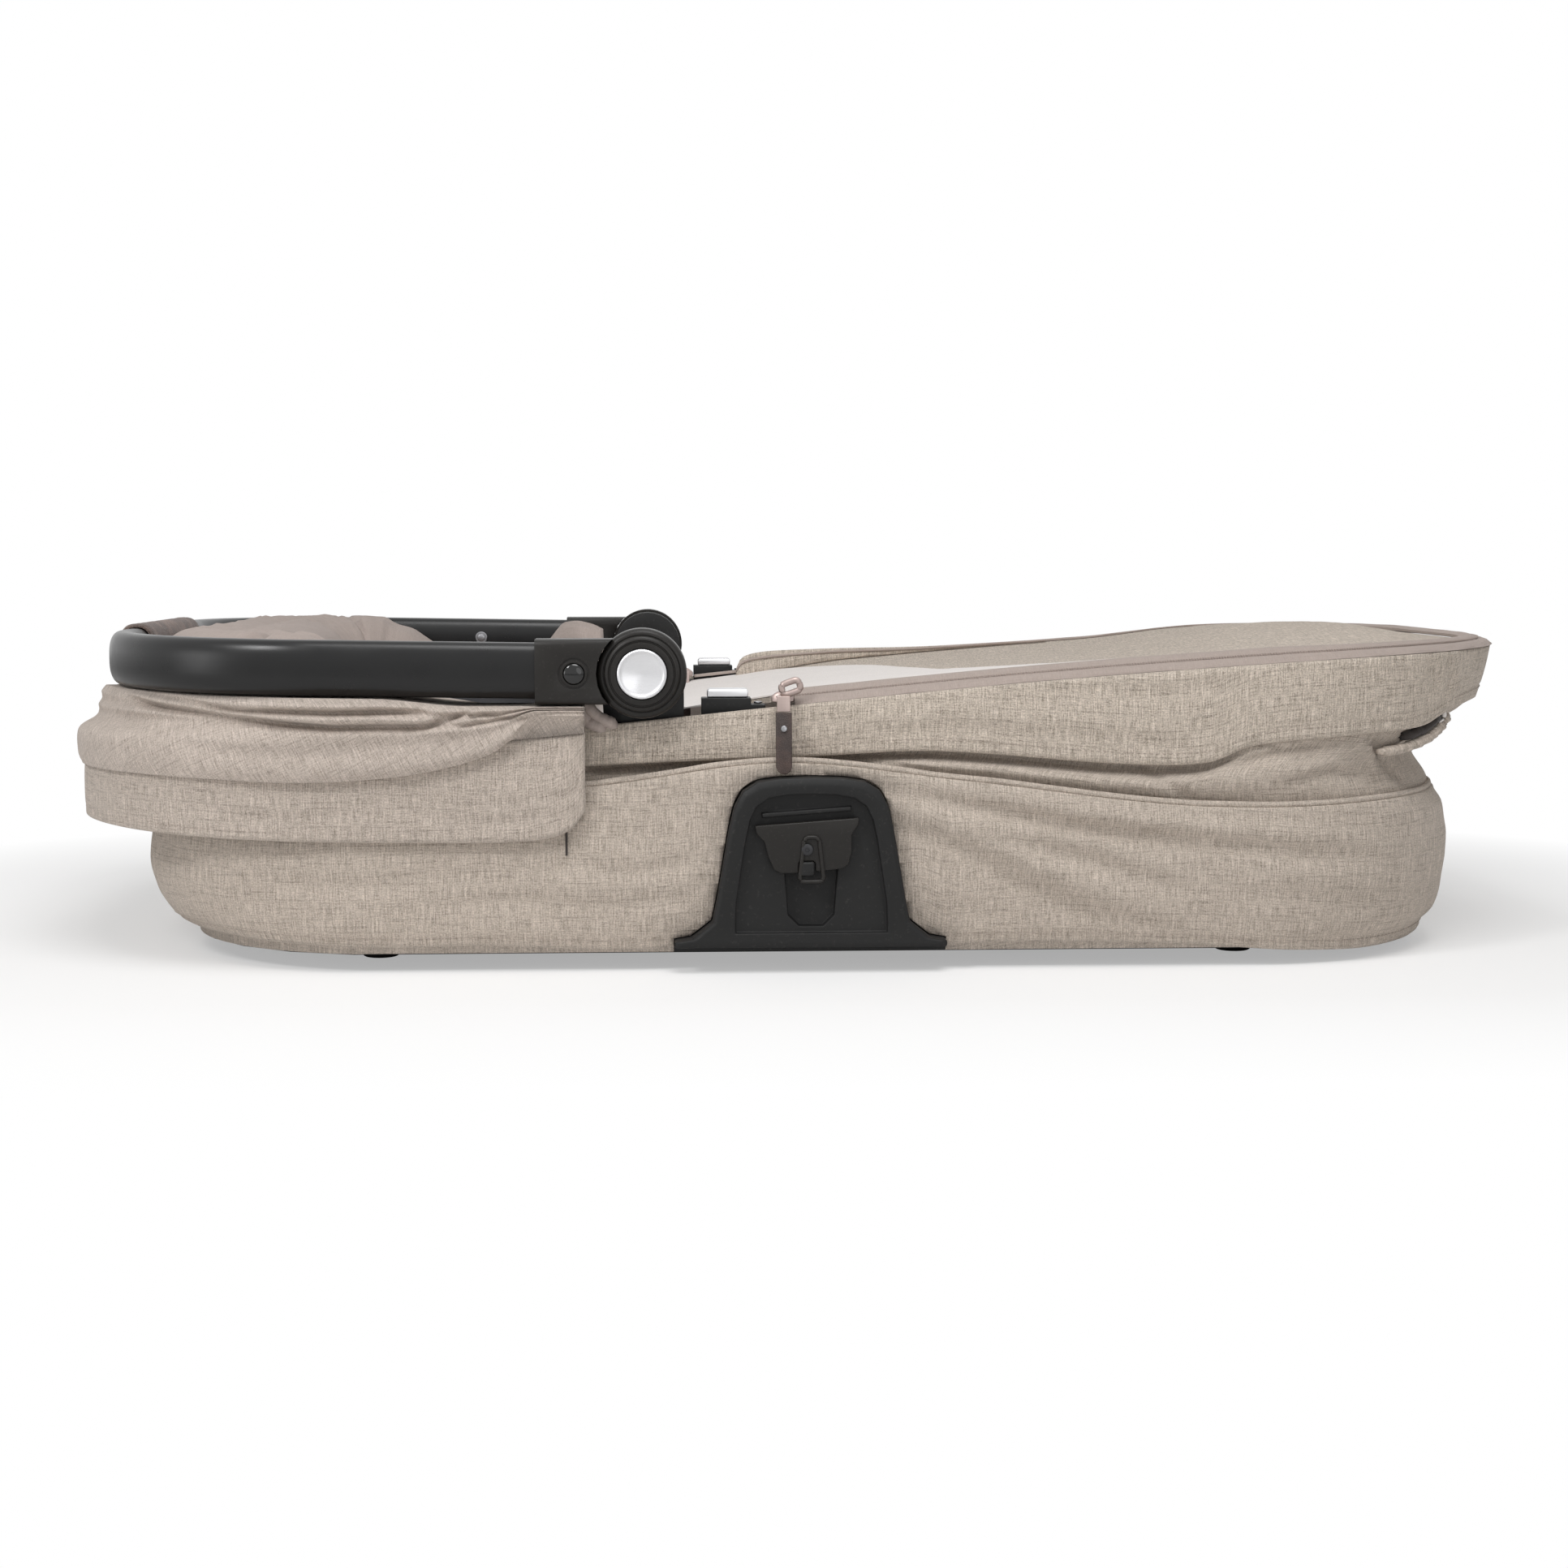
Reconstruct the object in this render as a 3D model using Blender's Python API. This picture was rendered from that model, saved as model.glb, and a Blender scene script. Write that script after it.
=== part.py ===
"""Soft carrycot, folded flat for storage. Metres, +Z up, +X towards the foot end, near side at -Y."""

import math

import bmesh
import bpy

# Small gaps between pieces
GAP = 0.0003
SOFT_GAP = 0.0005
OVERRUN = 0.004

# Half the width across the rail, which the tub, hinges, hubs and hood are set out from
RIM_HALF_WIDTH = 0.188

# Steps round the plan outlines
SIDE_STEPS = 7
CORNER_STEPS = 5
END_STEPS = 4

# Tub: the padded lower wall
TUB_HEAD_X = -0.3743
TUB_FOOT_X = 0.3845
TUB_PROUD = 0.0255
TUB_HALF_WIDTH = RIM_HALF_WIDTH + TUB_PROUD
TUB_CORNER = 0.130
TUB_WALL = 0.0090
TUB_BOTTOM_Z = 0.0140
TUB_HEIGHT = 0.1144
TUB_SIDE_LEAN = 0.0040
TUB_HEAD_LEAN = 0.0200
TUB_FOOT_LEAN = 0.0110
# (share of the wall's height, share of the lean)
TUB_PROFILE_SHARES = ((0.0, 1.0), (0.08, 0.6), (0.24, 0.22), (0.52, 0.0), (0.8, 0.08), (1.0, 0.25))
# (share of the tub's length from the head, share of TUB_HEIGHT) along the piped top edge
TUB_TOP_SHARES = (
    (0.0, 0.77),
    (0.17, 0.84),
    (0.3395, 0.893),
    (0.474, 1.0),
    (0.607, 0.912),
    (0.778, 0.785),
    (0.96, 0.8),
    (1.0, 0.813),
)
PIPING_RADIUS = 0.0018
PIPING_INSET = 0.0030

# Base board and its feet
PAN_BOTTOM_Z = 0.0097
PAN_THICK = 0.0040
PAN_INSET = 0.0040
FOOT_RADIUS = 0.0105
FOOT_HEAD_X = -0.2361
FOOT_TOE_X = 0.2476
FOOT_INSIDE = 0.0380
FOOT_Y = RIM_HALF_WIDTH - FOOT_INSIDE
FOOT_EDGE = 0.0012

# Rim rail, which rises towards the foot end while the cot is folded
RIM_HEAD_X = -0.3878
RIM_FOOT_X = 0.4018
RIM_CORNER = 0.134
RIM_WIDTH = 0.0120
RIM_DEPTH = 0.0110
RIM_HEIGHT = 0.1675
RAIL_DROP = 0.0020
# (share of the rim's length from the head, share of RIM_HEIGHT) along its top hem
RIM_LINE_SHARES = (
    (0.0, 0.657),
    (0.18, 0.725),
    (0.349, 0.796),
    (0.482, 0.859),
    (0.664, 0.938),
    (0.877, 1.008),
    (1.0, 1.031),
)

# Valance: the linen band that hangs round the rail
VALANCE_INNER = 0.0125
VALANCE_THICK = 0.0030
VALANCE_BULGE = 0.0008
VALANCE_OVER_TUB = 0.0020
VALANCE_FOOT_TUCK = 0.0080
# (share of the rim's length, share of RIM_HEIGHT) along its hanging edge
VALANCE_LOW_SHARES = (
    (0.0, 0.555),
    (0.18, 0.61),
    (0.349, 0.667),
    (0.495, 0.693),
    (0.5795, 0.71),
    (0.714, 0.665),
    (0.77, 0.669),
    (0.801, 0.722),
    (0.877, 0.761),
    (0.953, 0.788),
    (1.0, 0.824),
)

# Folded upper wall between the tub and the rail
WALL_THICK = 0.0030
WALL_TUCK = 0.0110
WALL_SEAT_GAP = 0.0009
WALL_BULGE = 0.0060
WALL_BULGE_ROOM = 0.0100
WALL_FOOT_FOLD = 0.0130

# Inner lining and mattress
LINER_HEAD_X = -0.3518
LINER_FOOT_X = 0.3492
LINER_INSIDE = 0.0085
LINER_HALF_WIDTH = RIM_HALF_WIDTH - LINER_INSIDE
LINER_CORNER = 0.118
LINER_THICK = 0.0020
LINER_SIDE_LEAN = 0.0030
LINER_END_LEAN = 0.0130
LINER_FLOOR_THICK = 0.0025
LINER_LIP_DROP = 0.0085
LINER_LIP_THICK = 0.0035
LINER_KNEE_Z = 0.0500
MATTRESS_END_ROOM = 0.0050
MATTRESS_SIDE_ROOM = 0.0150
MATTRESS_THICK = 0.0280
# (share of the thickness, share of the crown's rounding)
MATTRESS_SHARES = ((0.0, 0.35), (0.18, 0.0), (0.62, 0.0), (0.84, 0.3), (0.96, 1.0), (1.0, 2.6))
MATTRESS_ROUNDING = 0.0160

# Side hinge: a bracket on the base board and two folding bars a side
STRUT_LENGTH = 0.0855
STRUT_THICK = 0.0038
STRUT_HALF_HEIGHT = 0.0070
STRUT_PIN_RADIUS = 0.0030
STRUT_X = 0.0042
STRUT_LOW_Z = 0.0450
STRUT_HIGH_Z = 0.1210
STRUT_END_STEPS = 6
STRUT_SIDE_GAP = 0.0007
LUG_THICK = 0.0042
LUG_INNER_Y = RIM_HALF_WIDTH - RIM_WIDTH / 2 + SOFT_GAP
UPPER_STRUT_Y = LUG_INNER_Y + LUG_THICK + GAP
LOWER_STRUT_Y = UPPER_STRUT_Y + STRUT_THICK + STRUT_SIDE_GAP
BRACKET_SIDE_GAP = 0.0009
BRACKET_THICK = 0.0038
BRACKET_Y = LOWER_STRUT_Y + STRUT_THICK + BRACKET_SIDE_GAP
BRACKET_HALF_LENGTH = 0.0170
BRACKET_TOP_Z = 0.0600
BRACKET_FOOT_REACH = 0.0120
BRACKET_FOOT_THICK = 0.0030
LUG_HALF_LENGTH = 0.0090

# Adapter housing on each side, with its bracket, screw and catch
SHROUD_X = 0.0022
SHROUD_BACK_Y = BRACKET_Y + BRACKET_THICK + SOFT_GAP
SHROUD_DEPTH = 0.0210
SHROUD_FRONT_Y = SHROUD_BACK_Y + SHROUD_DEPTH
SHROUD_SHOULDER = 0.0018
SHROUD_BOTTOM_Z = 0.0142
SHROUD_TOP_Z = 0.1060
SHROUD_HALF_TOP = 0.0410
SHROUD_HALF_LOW = 0.0555
SHROUD_HALF_FLARE = 0.0735
SHROUD_FLARE_Z = 0.0175
SHROUD_LOW_Z = 0.0240
# (share of the half width at the top, share of the height from the flare) round the arch, foot to crown
SHROUD_ARCH_SHARES = (
    (1.3, 0.117),
    (1.235, 0.264),
    (1.15, 0.496),
    (1.08, 0.685),
    (1.01, 0.821),
    (0.9, 0.916),
    (0.7, 0.974),
    (0.4, 0.995),
    (0.0, 1.0),
)
SHROUD_CUT_GAP = 0.0006
POCKET_DEPTH = 0.0050
POCKET_WIDTH_SHARE = 0.80
POCKET_HEIGHT_SHARE = 0.90
POCKET_BOTTOM_Z = 0.0220
CHANNEL_DEPTH = 0.0062
CHANNEL_HALF_TOP = 0.0160
CHANNEL_HALF_LOW = 0.0125
CHANNEL_TOP_Z = 0.0790
CHANNEL_BOTTOM_Z = 0.0252
CHANNEL_ROUND = 0.0060
PLATE_X = -0.0003
PLATE_TOP_Z = 0.0822
PLATE_THICK = 0.0042
PLATE_HALF = 0.0280
PLATE_TILT = math.radians(4.2)
PLATE_DEPTH = 0.0270
# (share of PLATE_HALF, share of PLATE_DEPTH below the top) round the winged plate
PLATE_SHARES = (
    (-1.0, 0.0),
    (1.0, 0.0),
    (0.98, 0.14),
    (0.84, 0.32),
    (0.81, 0.68),
    (0.73, 0.92),
    (0.62, 0.985),
    (0.36, 1.0),
    (-0.36, 1.0),
    (-0.58, 0.985),
    (-0.70, 0.90),
    (-0.79, 0.64),
    (-0.84, 0.34),
    (-0.98, 0.16),
)
CATCH_Z = 0.0568
CATCH_HALF_WIDTH = 0.0042
CATCH_HALF_HEIGHT = 0.0040
CATCH_DEPTH = 0.0030
CATCH_PROUD = 0.0014
CATCH_ROUND = 0.0010
SCREW_Z = 0.0674
SCREW_RADIUS = 0.0033
SCREW_HEAD = 0.0013
SCREW_HOLE = 0.0012
SLOT_RIB_DEPTH = 0.0034
SLOT_RIB_HALF = 0.0240
SLOT_RIB_LOW_Z = 0.0862
SLOT_RIB_HIGH_Z = 0.0886

# Hub: mount on the rail, shaft, round housing and silver button
HUB_X = -0.0882
HUB_Z = 0.1617
HUB_PROUD = 0.0125
HUB_INNER_Y = RIM_HALF_WIDTH + HUB_PROUD
HUB_DEPTH = 0.0222
HUB_RADIUS = 0.0240
HUB_STEPS = 24
SHAFT_RADIUS = 0.0050
SHAFT_HEAD = 0.0006
SHAFT_HEAD_RADIUS = 0.0068
BUTTON_RADIUS = 0.0133
BUTTON_WELL = 0.0102
BUTTON_TRAVEL = 0.0030
BUTTON_PROUD = 0.0018
BUTTON_DISH = 0.0026
# (share of HUB_RADIUS, share of HUB_DEPTH) of the housing's stepped face, outside in
HUB_FACE_SHARES = (
    (1.0, 0.0),
    (1.0, 0.7),
    (0.975, 0.8),
    (0.93, 0.86),
    (0.865, 0.88),
    (0.84, 0.93),
    (0.8, 0.97),
)
MOUNT_DEPTH = 0.0195
MOUNT_INNER_Y = HUB_INNER_Y - MOUNT_DEPTH
MOUNT_RADIUS = 0.0224
MOUNT_LEFT = 0.0206
MOUNT_STEPS = 14
MOUNT_SEAT_GAP = 0.0006

# Handle: flattened tube bent to a U, in plastic sleeves, with a leather grip
HANDLE_END_X = -0.3848
TUBE_INSET = 0.0120
HANDLE_HALF_WIDTH = HUB_INNER_Y + TUBE_INSET
HANDLE_CORNER = 0.1220
TUBE_HALF_THICK = 0.0085
TUBE_HALF_HEIGHT = 0.0150
TUBE_STEPS = 14
TUBE_SQUARE_SHARE = 0.72
SLEEVE_TUBE_Z = 0.1632
TUBE_SLOPE_SHARE = 0.0145
TUBE_IN_SLEEVE = 0.0100
SLEEVE_END_X = -0.1448
SLEEVE_HEIGHT = 0.0347
SLEEVE_Z = 0.16275
SLEEVE_WIDTH = 0.0230
SLEEVE_OUTER_Y = HUB_INNER_Y + SLEEVE_WIDTH
SLEEVE_EDGE = 0.0030
SLEEVE_BUTTON_X = -0.1242
SLEEVE_BUTTON_Z = 0.1619
SLEEVE_BUTTON_RADIUS = 0.0055
SLEEVE_BUTTON_WELL = 0.0070
SLEEVE_BUTTON_TRAVEL = 0.0025
SLEEVE_BUTTON_PROUD = 0.0018
SLEEVE_RING_INNER = 0.0072
SLEEVE_RING_OUTER = 0.0084
SLEEVE_RING_DEPTH = 0.0006
GRIP_CORNER_GAP = 0.0185
GRIP_HALF_LENGTH = HANDLE_HALF_WIDTH - HANDLE_CORNER - GRIP_CORNER_GAP
GRIP_THICK = 0.0020
GRIP_STEPS = 6
STUD_X = -0.2048
STUD_Z = 0.1660
STUD_RADIUS = 0.0042
STUD_THICK = 0.0018

# Fold release slides on the rail
LATCH_X = -0.0420
LATCH_HALF_LENGTH = 0.0112
LATCH_WIDTH = 0.0108
LATCH_INNER_Y = RIM_HALF_WIDTH - LATCH_WIDTH / 2
LATCH_LOW_Z = 0.1475
LATCH_HEIGHT = 0.0048
LATCH_EDGE = 0.0012
LATCH_BASE_HEAD_X = -0.0563
LATCH_BASE_FOOT_X = -0.0216
LATCH_TAB_X = -0.0293
LATCH_TAB_Z = 0.1436
LATCH_BASE_WIDTH = 0.0150
LATCH_BASE_INNER_Y = RIM_HALF_WIDTH - LATCH_BASE_WIDTH / 2
RAIL_SCREW_RADIUS = 0.0023
RAIL_SCREW_HEAD = 0.0014
RAIL_SCREW_X = -0.0254

# Zip tape, sliders and pulls
ZIP_NEAR_X = -0.0058
ZIP_FAR_X = -0.0558
ZIP_OUTER = 0.0140
ZIP_INNER = 0.0025
ZIP_FAR_OUTER = -0.0085
ZIP_FAR_INNER = -0.0135
ZIP_FAR_SHIFT_HEAD_X = 0.0042
ZIP_FAR_SHIFT_FOOT_X = 0.0492
ZIP_RISE = 0.0068
ZIP_FAR_RISE_SHARE = 0.28
ZIP_FAR_RISE_HEAD_X = 0.2100
ZIP_FAR_RISE_FOOT_X = 0.3100
ZIP_END_DROP_SHARE = 0.72
ZIP_THICK = 0.0020
SLIDER_LENGTH = 0.0125
SLIDER_WIDTH = 0.0090
SLIDER_HEIGHT = 0.0062
SLIDER_PROUD = 0.0045
SLIDER_INNER_Y = RIM_HALF_WIDTH + SLIDER_PROUD
SLIDER_LIFT = 0.0012
SLIDER_STEPS = 8
HOOK_SHARE = 0.4700
FAR_SLIDER_X = -0.0630
FAR_SLIDER_INSIDE = 0.0200
FAR_SLIDER_INNER_Y = RIM_HALF_WIDTH - FAR_SLIDER_INSIDE
PULLER_THICK = 0.0014
PULLER_HALF_WIDTH = 0.0036
PULLER_DROP = 0.0080
STRAP_HALF_WIDTH = 0.0043
STRAP_THICK = 0.0022
STRAP_LENGTH = 0.0330
STRAP_PROUD = 0.0203
STRAP_TOP_Y = RIM_HALF_WIDTH + STRAP_PROUD
STRAP_LEAN_SHARE = 0.16
STRAP_END_STEPS = 5
FAR_STRAP_INSIDE = 0.0225
FAR_STRAP_TOP_Y = RIM_HALF_WIDTH - FAR_STRAP_INSIDE
RIVET_RADIUS = 0.0017
RIVET_HEAD = 0.0009
RIVET_DROP = 0.0085

# Foot apron
APRON_HEAD_X = -0.0538
APRON_FOOT_X = 0.3987
APRON_INSIDE = 0.0020
APRON_HALF_WIDTH = RIM_HALF_WIDTH - APRON_INSIDE
APRON_NARROW_INSIDE = 0.0145
APRON_NARROW_HALF_WIDTH = RIM_HALF_WIDTH - APRON_NARROW_INSIDE
APRON_WIDEN_HEAD_X = 0.0042
APRON_WIDEN_FOOT_X = 0.0542
APRON_THICK = 0.0030
APRON_STEPS = 22
APRON_ACROSS = 9
APRON_SAG = 0.0045
APRON_CROWN = 0.0040
APRON_CROWN_HEAD_X = 0.1942
APRON_CROWN_FOOT_X = 0.3342
APRON_EDGE_X = 0.3432
APRON_FRONT_DROP = 0.0045

# Hood, folded under the handle
HOOD_HEAD_X = -0.4098
HOOD_PROUD = 0.0268
HOOD_HALF_WIDTH = RIM_HALF_WIDTH + HOOD_PROUD
HOOD_CORNER = 0.1500
HOOD_OPEN_X = -0.1188
SKIRT_THICK = 0.0040
SKIRT_BULGE = 0.0006
SKIRT_TOP_DROP = 0.0025
SKIRT_FLANGE = 0.0032
HOOD_HEIGHT = 0.1476
# (share of the hood's length from its open end, share of HOOD_HEIGHT)
SKIRT_LOW_SHARES = ((0.0, 0.60), (0.03, 0.53), (0.10, 0.494), (0.33, 0.489), (0.64, 0.501), (1.0, 0.52))
LOBE_LOW_SHARES = (
    (0.0, 0.925),
    (0.09, 0.915),
    (0.18, 0.82),
    (0.28, 0.76),
    (0.4, 0.727),
    (0.64, 0.71),
    (1.0, 0.72),
)
LOBE_INNER = 0.0050
LOBE_SIDE_BULGE = 0.0117
LOBE_END_BULGE = -0.0040
# (share of the bulge, share of the height between the lobe's edge and the top) over the folds
LOBE_FOLD_SHARES = (
    (0.72, 0.0),
    (0.96, 0.14),
    (0.90, 0.44),
    (1.0, 0.60),
    (0.72, 0.68),
    (0.95, 0.76),
    (0.66, 0.84),
    (0.84, 0.92),
    (0.45, 1.0),
)
# the same at the head end, where the upper pleats step in over the lobe
LOBE_END_FOLD_SHARES = (
    (0.72, 0.0),
    (0.96, 0.14),
    (0.94, 0.44),
    (-0.35, 0.60),
    (-0.62, 0.68),
    (-0.60, 0.76),
    (-0.88, 0.84),
    (-0.85, 0.92),
    (-1.15, 1.0),
)
SHELL_INWARD = 0.0580
SHELL_TOP_GAP = 0.0008
SHELL_OVER_RIM = 0.0010
SHELL_GRIP_DROP = 0.0034
BOW_WIDTH = 0.0080
BOW_THICK = 0.0025
BOW_SIDE_GAP = 0.0007
BOW_LEG_Y = MOUNT_INNER_Y - BOW_THICK - BOW_SIDE_GAP
SHAFT_INNER_Y = BOW_LEG_Y - SHAFT_HEAD - GAP
BOW_LEG_HEIGHT = 0.0090
BOW_INSET = 0.0225
BOW_TURN_X = -0.1308
BOW_EYE_X = -0.0938
BOW_EYE_RADIUS = 0.0085
BOW_LEG_STEPS = 5
LINING_OUTER_INSET = 0.0005
LINING_SLEEVE_INSET = 0.0040
LINING_OPEN_X = -0.1183
LINING_BOW_ROOM = 0.0008
# (share of the lining's length from its open end, inward reach as a share of LINING_REACH)
LINING_REACH = 0.0950
LINING_REACH_SHARES = (
    (0.0, 0.54),
    (0.13, 0.54),
    (0.19, 0.3),
    (0.34, 0.36),
    (0.48, 0.8),
    (0.7, 0.95),
    (1.0, 1.0),
)
LINING_RISE = 0.0280
LINING_RISE_SHARES = (
    (0.0, 0.5),
    (0.07, 0.72),
    (0.13, 0.42),
    (0.19, 0.2),
    (0.34, 0.22),
    (0.46, 0.66),
    (0.66, 1.0),
    (1.0, 0.9),
)
# (share of the reach, share of the rise) across the lining, outer edge to inner edge
LINING_CROWN_SHARES = (
    (0.0, 0.3),
    (0.12, 0.72),
    (0.32, 1.0),
    (0.52, 0.9),
    (0.66, 0.97),
    (0.84, 0.72),
    (0.97, 0.3),
)
LINING_UNDER_SHARES = ((1.0, 0.0), (0.82, -0.16), (0.50, -0.14))

# Colours as sRGB, roughness and metallic values
LINEN = ((0.71, 0.66, 0.61), 0.95, 0.0)
LINEN_LINING = ((0.68, 0.64, 0.61), 0.95, 0.0)
PALE_LINING = ((0.89, 0.86, 0.84), 0.9, 0.0)
ZIP_PINK = ((0.75, 0.70, 0.67), 0.6, 0.0)
BLACK_PLASTIC = ((0.17, 0.17, 0.17), 0.5, 0.0)
BLACK_TUBE = ((0.13, 0.13, 0.14), 0.35, 0.6)
GLOSS_BLACK = ((0.05, 0.05, 0.05), 0.1, 0.0)
SILVER = ((0.86, 0.86, 0.87), 0.25, 0.9)
STEEL = ((0.55, 0.55, 0.56), 0.35, 1.0)
RUBBER = ((0.10, 0.09, 0.09), 0.8, 0.0)
LEATHER = ((0.27, 0.21, 0.19), 0.6, 0.0)
GRIP_LEATHER = ((0.32, 0.27, 0.25), 0.6, 0.0)

NEAR = -1
FAR = 1
SIDE_NAMES = {NEAR: "near", FAR: "far"}


def clear_scene():
    for obj in list(bpy.data.objects):
        bpy.data.objects.remove(obj, do_unlink=True)


def make_material(name, finish):
    colour, roughness, metallic = finish
    material = bpy.data.materials.new(name)
    material.use_nodes = True
    shader = material.node_tree.nodes["Principled BSDF"]
    linear = [channel ** 2.2 for channel in colour]
    shader.inputs["Base Color"].default_value = (*linear, 1.0)
    shader.inputs["Roughness"].default_value = roughness
    shader.inputs["Metallic"].default_value = metallic
    return material


def place_mesh(name, mesh_data, finish, pivot=(0.0, 0.0, 0.0)):
    """Makes an object of the mesh, with its origin on the pivot."""
    bmesh.ops.recalc_face_normals(mesh_data, faces=mesh_data.faces)
    for vertex in mesh_data.verts:
        vertex.co.x -= pivot[0]
        vertex.co.y -= pivot[1]
        vertex.co.z -= pivot[2]
    mesh = bpy.data.meshes.new(name)
    mesh_data.to_mesh(mesh)
    mesh_data.free()
    mesh.shade_smooth()
    mesh.set_sharp_from_angle(angle=math.radians(40))
    obj = bpy.data.objects.new(name, mesh)
    obj.location = pivot
    obj.data.materials.append(make_material(name, finish))
    bpy.context.scene.collection.objects.link(obj)
    return obj


def loft(name, stations, finish, closed=False, pivot=(0.0, 0.0, 0.0)):
    """Skins a row of section polygons, each with as many points as the next, and caps the ends."""
    mesh_data = bmesh.new()
    rings = [[mesh_data.verts.new(point) for point in station] for station in stations]
    count = len(rings[0])
    pairs = list(zip(rings, rings[1:]))
    if closed:
        pairs.append((rings[-1], rings[0]))
    for ring, following in pairs:
        for i in range(count):
            j = (i + 1) % count
            mesh_data.faces.new((ring[i], ring[j], following[j], following[i]))
    if not closed:
        mesh_data.faces.new(rings[0])
        mesh_data.faces.new(rings[-1])
    return place_mesh(name, mesh_data, finish, pivot)


def turned(name, centre, profile, side, steps, finish, pivot=None):
    """Turns (radius, distance outwards) points about the Y axis through centre; radius 0 closes an end."""
    mesh_data = bmesh.new()
    x, y, z = centre
    rings = []
    for radius, out in profile:
        if radius == 0:
            rings.append([mesh_data.verts.new((x, y + side * out, z))])
            continue
        ring = []
        for i in range(steps):
            angle = math.tau * i / steps
            across = radius * math.cos(angle)
            up = radius * math.sin(angle)
            ring.append(mesh_data.verts.new((x + across, y + side * out, z + up)))
        rings.append(ring)
    pairs = list(zip(rings, rings[1:]))
    if len(rings[0]) > 1:
        pairs.append((rings[-1], rings[0]))
    for ring, following in pairs:
        for i in range(steps):
            j = (i + 1) % steps
            corners = [ring[i % len(ring)], ring[j % len(ring)]]
            corners += [following[j % len(following)], following[i % len(following)]]
            mesh_data.faces.new(list(dict.fromkeys(corners)))
    return place_mesh(name, mesh_data, finish, pivot or (x, y, z))


def combine(target, tool, operation):
    """Adds or cuts the tool with a Boolean modifier and hides the tool."""
    tool.hide_render = True
    tool.display_type = "WIRE"
    modifier = target.modifiers.new(operation.title(), "BOOLEAN")
    modifier.operation = operation
    modifier.object = tool
    return target


def blend_value(low, high, value):
    """Smooth step from 0 at low to 1 at high."""
    share = min(1.0, max(0.0, (value - low) / (high - low)))
    return share * share * (3 - 2 * share)


def along(shares, share):
    """Reads a table of (place, value) shares as a smooth curve through its entries."""
    share = min(max(share, shares[0][0]), shares[-1][0])
    places = [place for place, _ in shares]
    values = [value for _, value in shares]
    last = len(shares) - 1
    slopes = []
    for i in range(len(shares)):
        before = max(i - 1, 0)
        after = min(i + 1, last)
        slopes.append((values[after] - values[before]) / (places[after] - places[before]))
    for i in range(last):
        if share <= places[i + 1]:
            width = places[i + 1] - places[i]
            step = (share - places[i]) / width
            rest = 1 - step
            start = values[i] * rest * rest * (1 + 2 * step) + slopes[i] * width * step * rest * rest
            end = values[i + 1] * step * step * (1 + 2 * rest) - slopes[i + 1] * width * step * step * rest
            return start + end
    return values[-1]


def horseshoe(end_x, open_x, half_width, corner, sides=SIDE_STEPS, far_open_x=None):
    """Plan of a U from the near side round the end to the far side: (x, y, outward x, outward y)."""
    way = 1 if end_x > open_x else -1
    far_open_x = open_x if far_open_x is None else far_open_x
    turn_x = end_x - way * corner
    turn_y = half_width - corner
    plan = []
    for i in range(sides):
        plan.append((open_x + (turn_x - open_x) * i / sides, -half_width, 0.0, -1.0))
    for i in range(CORNER_STEPS):
        angle = math.pi / 2 * i / CORNER_STEPS
        across = math.sin(angle)
        out = math.cos(angle)
        plan.append((turn_x + way * corner * across, -turn_y - corner * out, way * across, -out))
    for i in range(END_STEPS):
        plan.append((end_x, turn_y * (2 * i / END_STEPS - 1), way, 0.0))
    for i in range(CORNER_STEPS):
        angle = math.pi / 2 * i / CORNER_STEPS
        across = math.cos(angle)
        out = math.sin(angle)
        plan.append((turn_x + way * corner * across, turn_y + corner * out, way * across, out))
    for i in range(sides + 1):
        plan.append((turn_x + (far_open_x - turn_x) * i / sides, half_width, 0.0, 1.0))
    return plan


def oblong(head_x, foot_x, half_width, corner):
    """Closed plan: the foot end's horseshoe, then the head end's, both open at the middle."""
    middle_x = (head_x + foot_x) / 2
    foot = horseshoe(foot_x, middle_x, half_width, corner)
    head = horseshoe(head_x, middle_x, half_width, corner)
    return foot + head[::-1][1:-1]


def at(place, out, z):
    """Point that far outwards of a plan place, at height z."""
    x, y, out_x, out_y = place
    return (x + out_x * out, y + out_y * out, z)


def tub_plan():
    return oblong(TUB_HEAD_X, TUB_FOOT_X, TUB_HALF_WIDTH, TUB_CORNER)


def rim_plan():
    return oblong(RIM_HEAD_X, RIM_FOOT_X, RIM_HALF_WIDTH, RIM_CORNER)


def tub_top(x):
    return TUB_HEIGHT * along(TUB_TOP_SHARES, (x - TUB_HEAD_X) / (TUB_FOOT_X - TUB_HEAD_X))


def rim_line(x):
    return RIM_HEIGHT * along(RIM_LINE_SHARES, (x - RIM_HEAD_X) / (RIM_FOOT_X - RIM_HEAD_X))


def rail_top(x):
    return rim_line(x) - RAIL_DROP


def valance_low(x):
    return RIM_HEIGHT * along(VALANCE_LOW_SHARES, (x - RIM_HEAD_X) / (RIM_FOOT_X - RIM_HEAD_X))


def valance_tuck(place, z):
    """How far the valance is drawn in at a height, round the foot end."""
    top_z = rim_line(place[0])
    return VALANCE_FOOT_TUCK * max(place[2], 0.0) * (top_z - z) / (top_z - valance_low(place[0]))


def tub_lean(place, share):
    """How far the tub's wall leans in at a place, for a share of the lean."""
    end_lean = TUB_FOOT_LEAN if place[2] > 0 else TUB_HEAD_LEAN
    return (TUB_SIDE_LEAN + end_lean * abs(place[2])) * share


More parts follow.
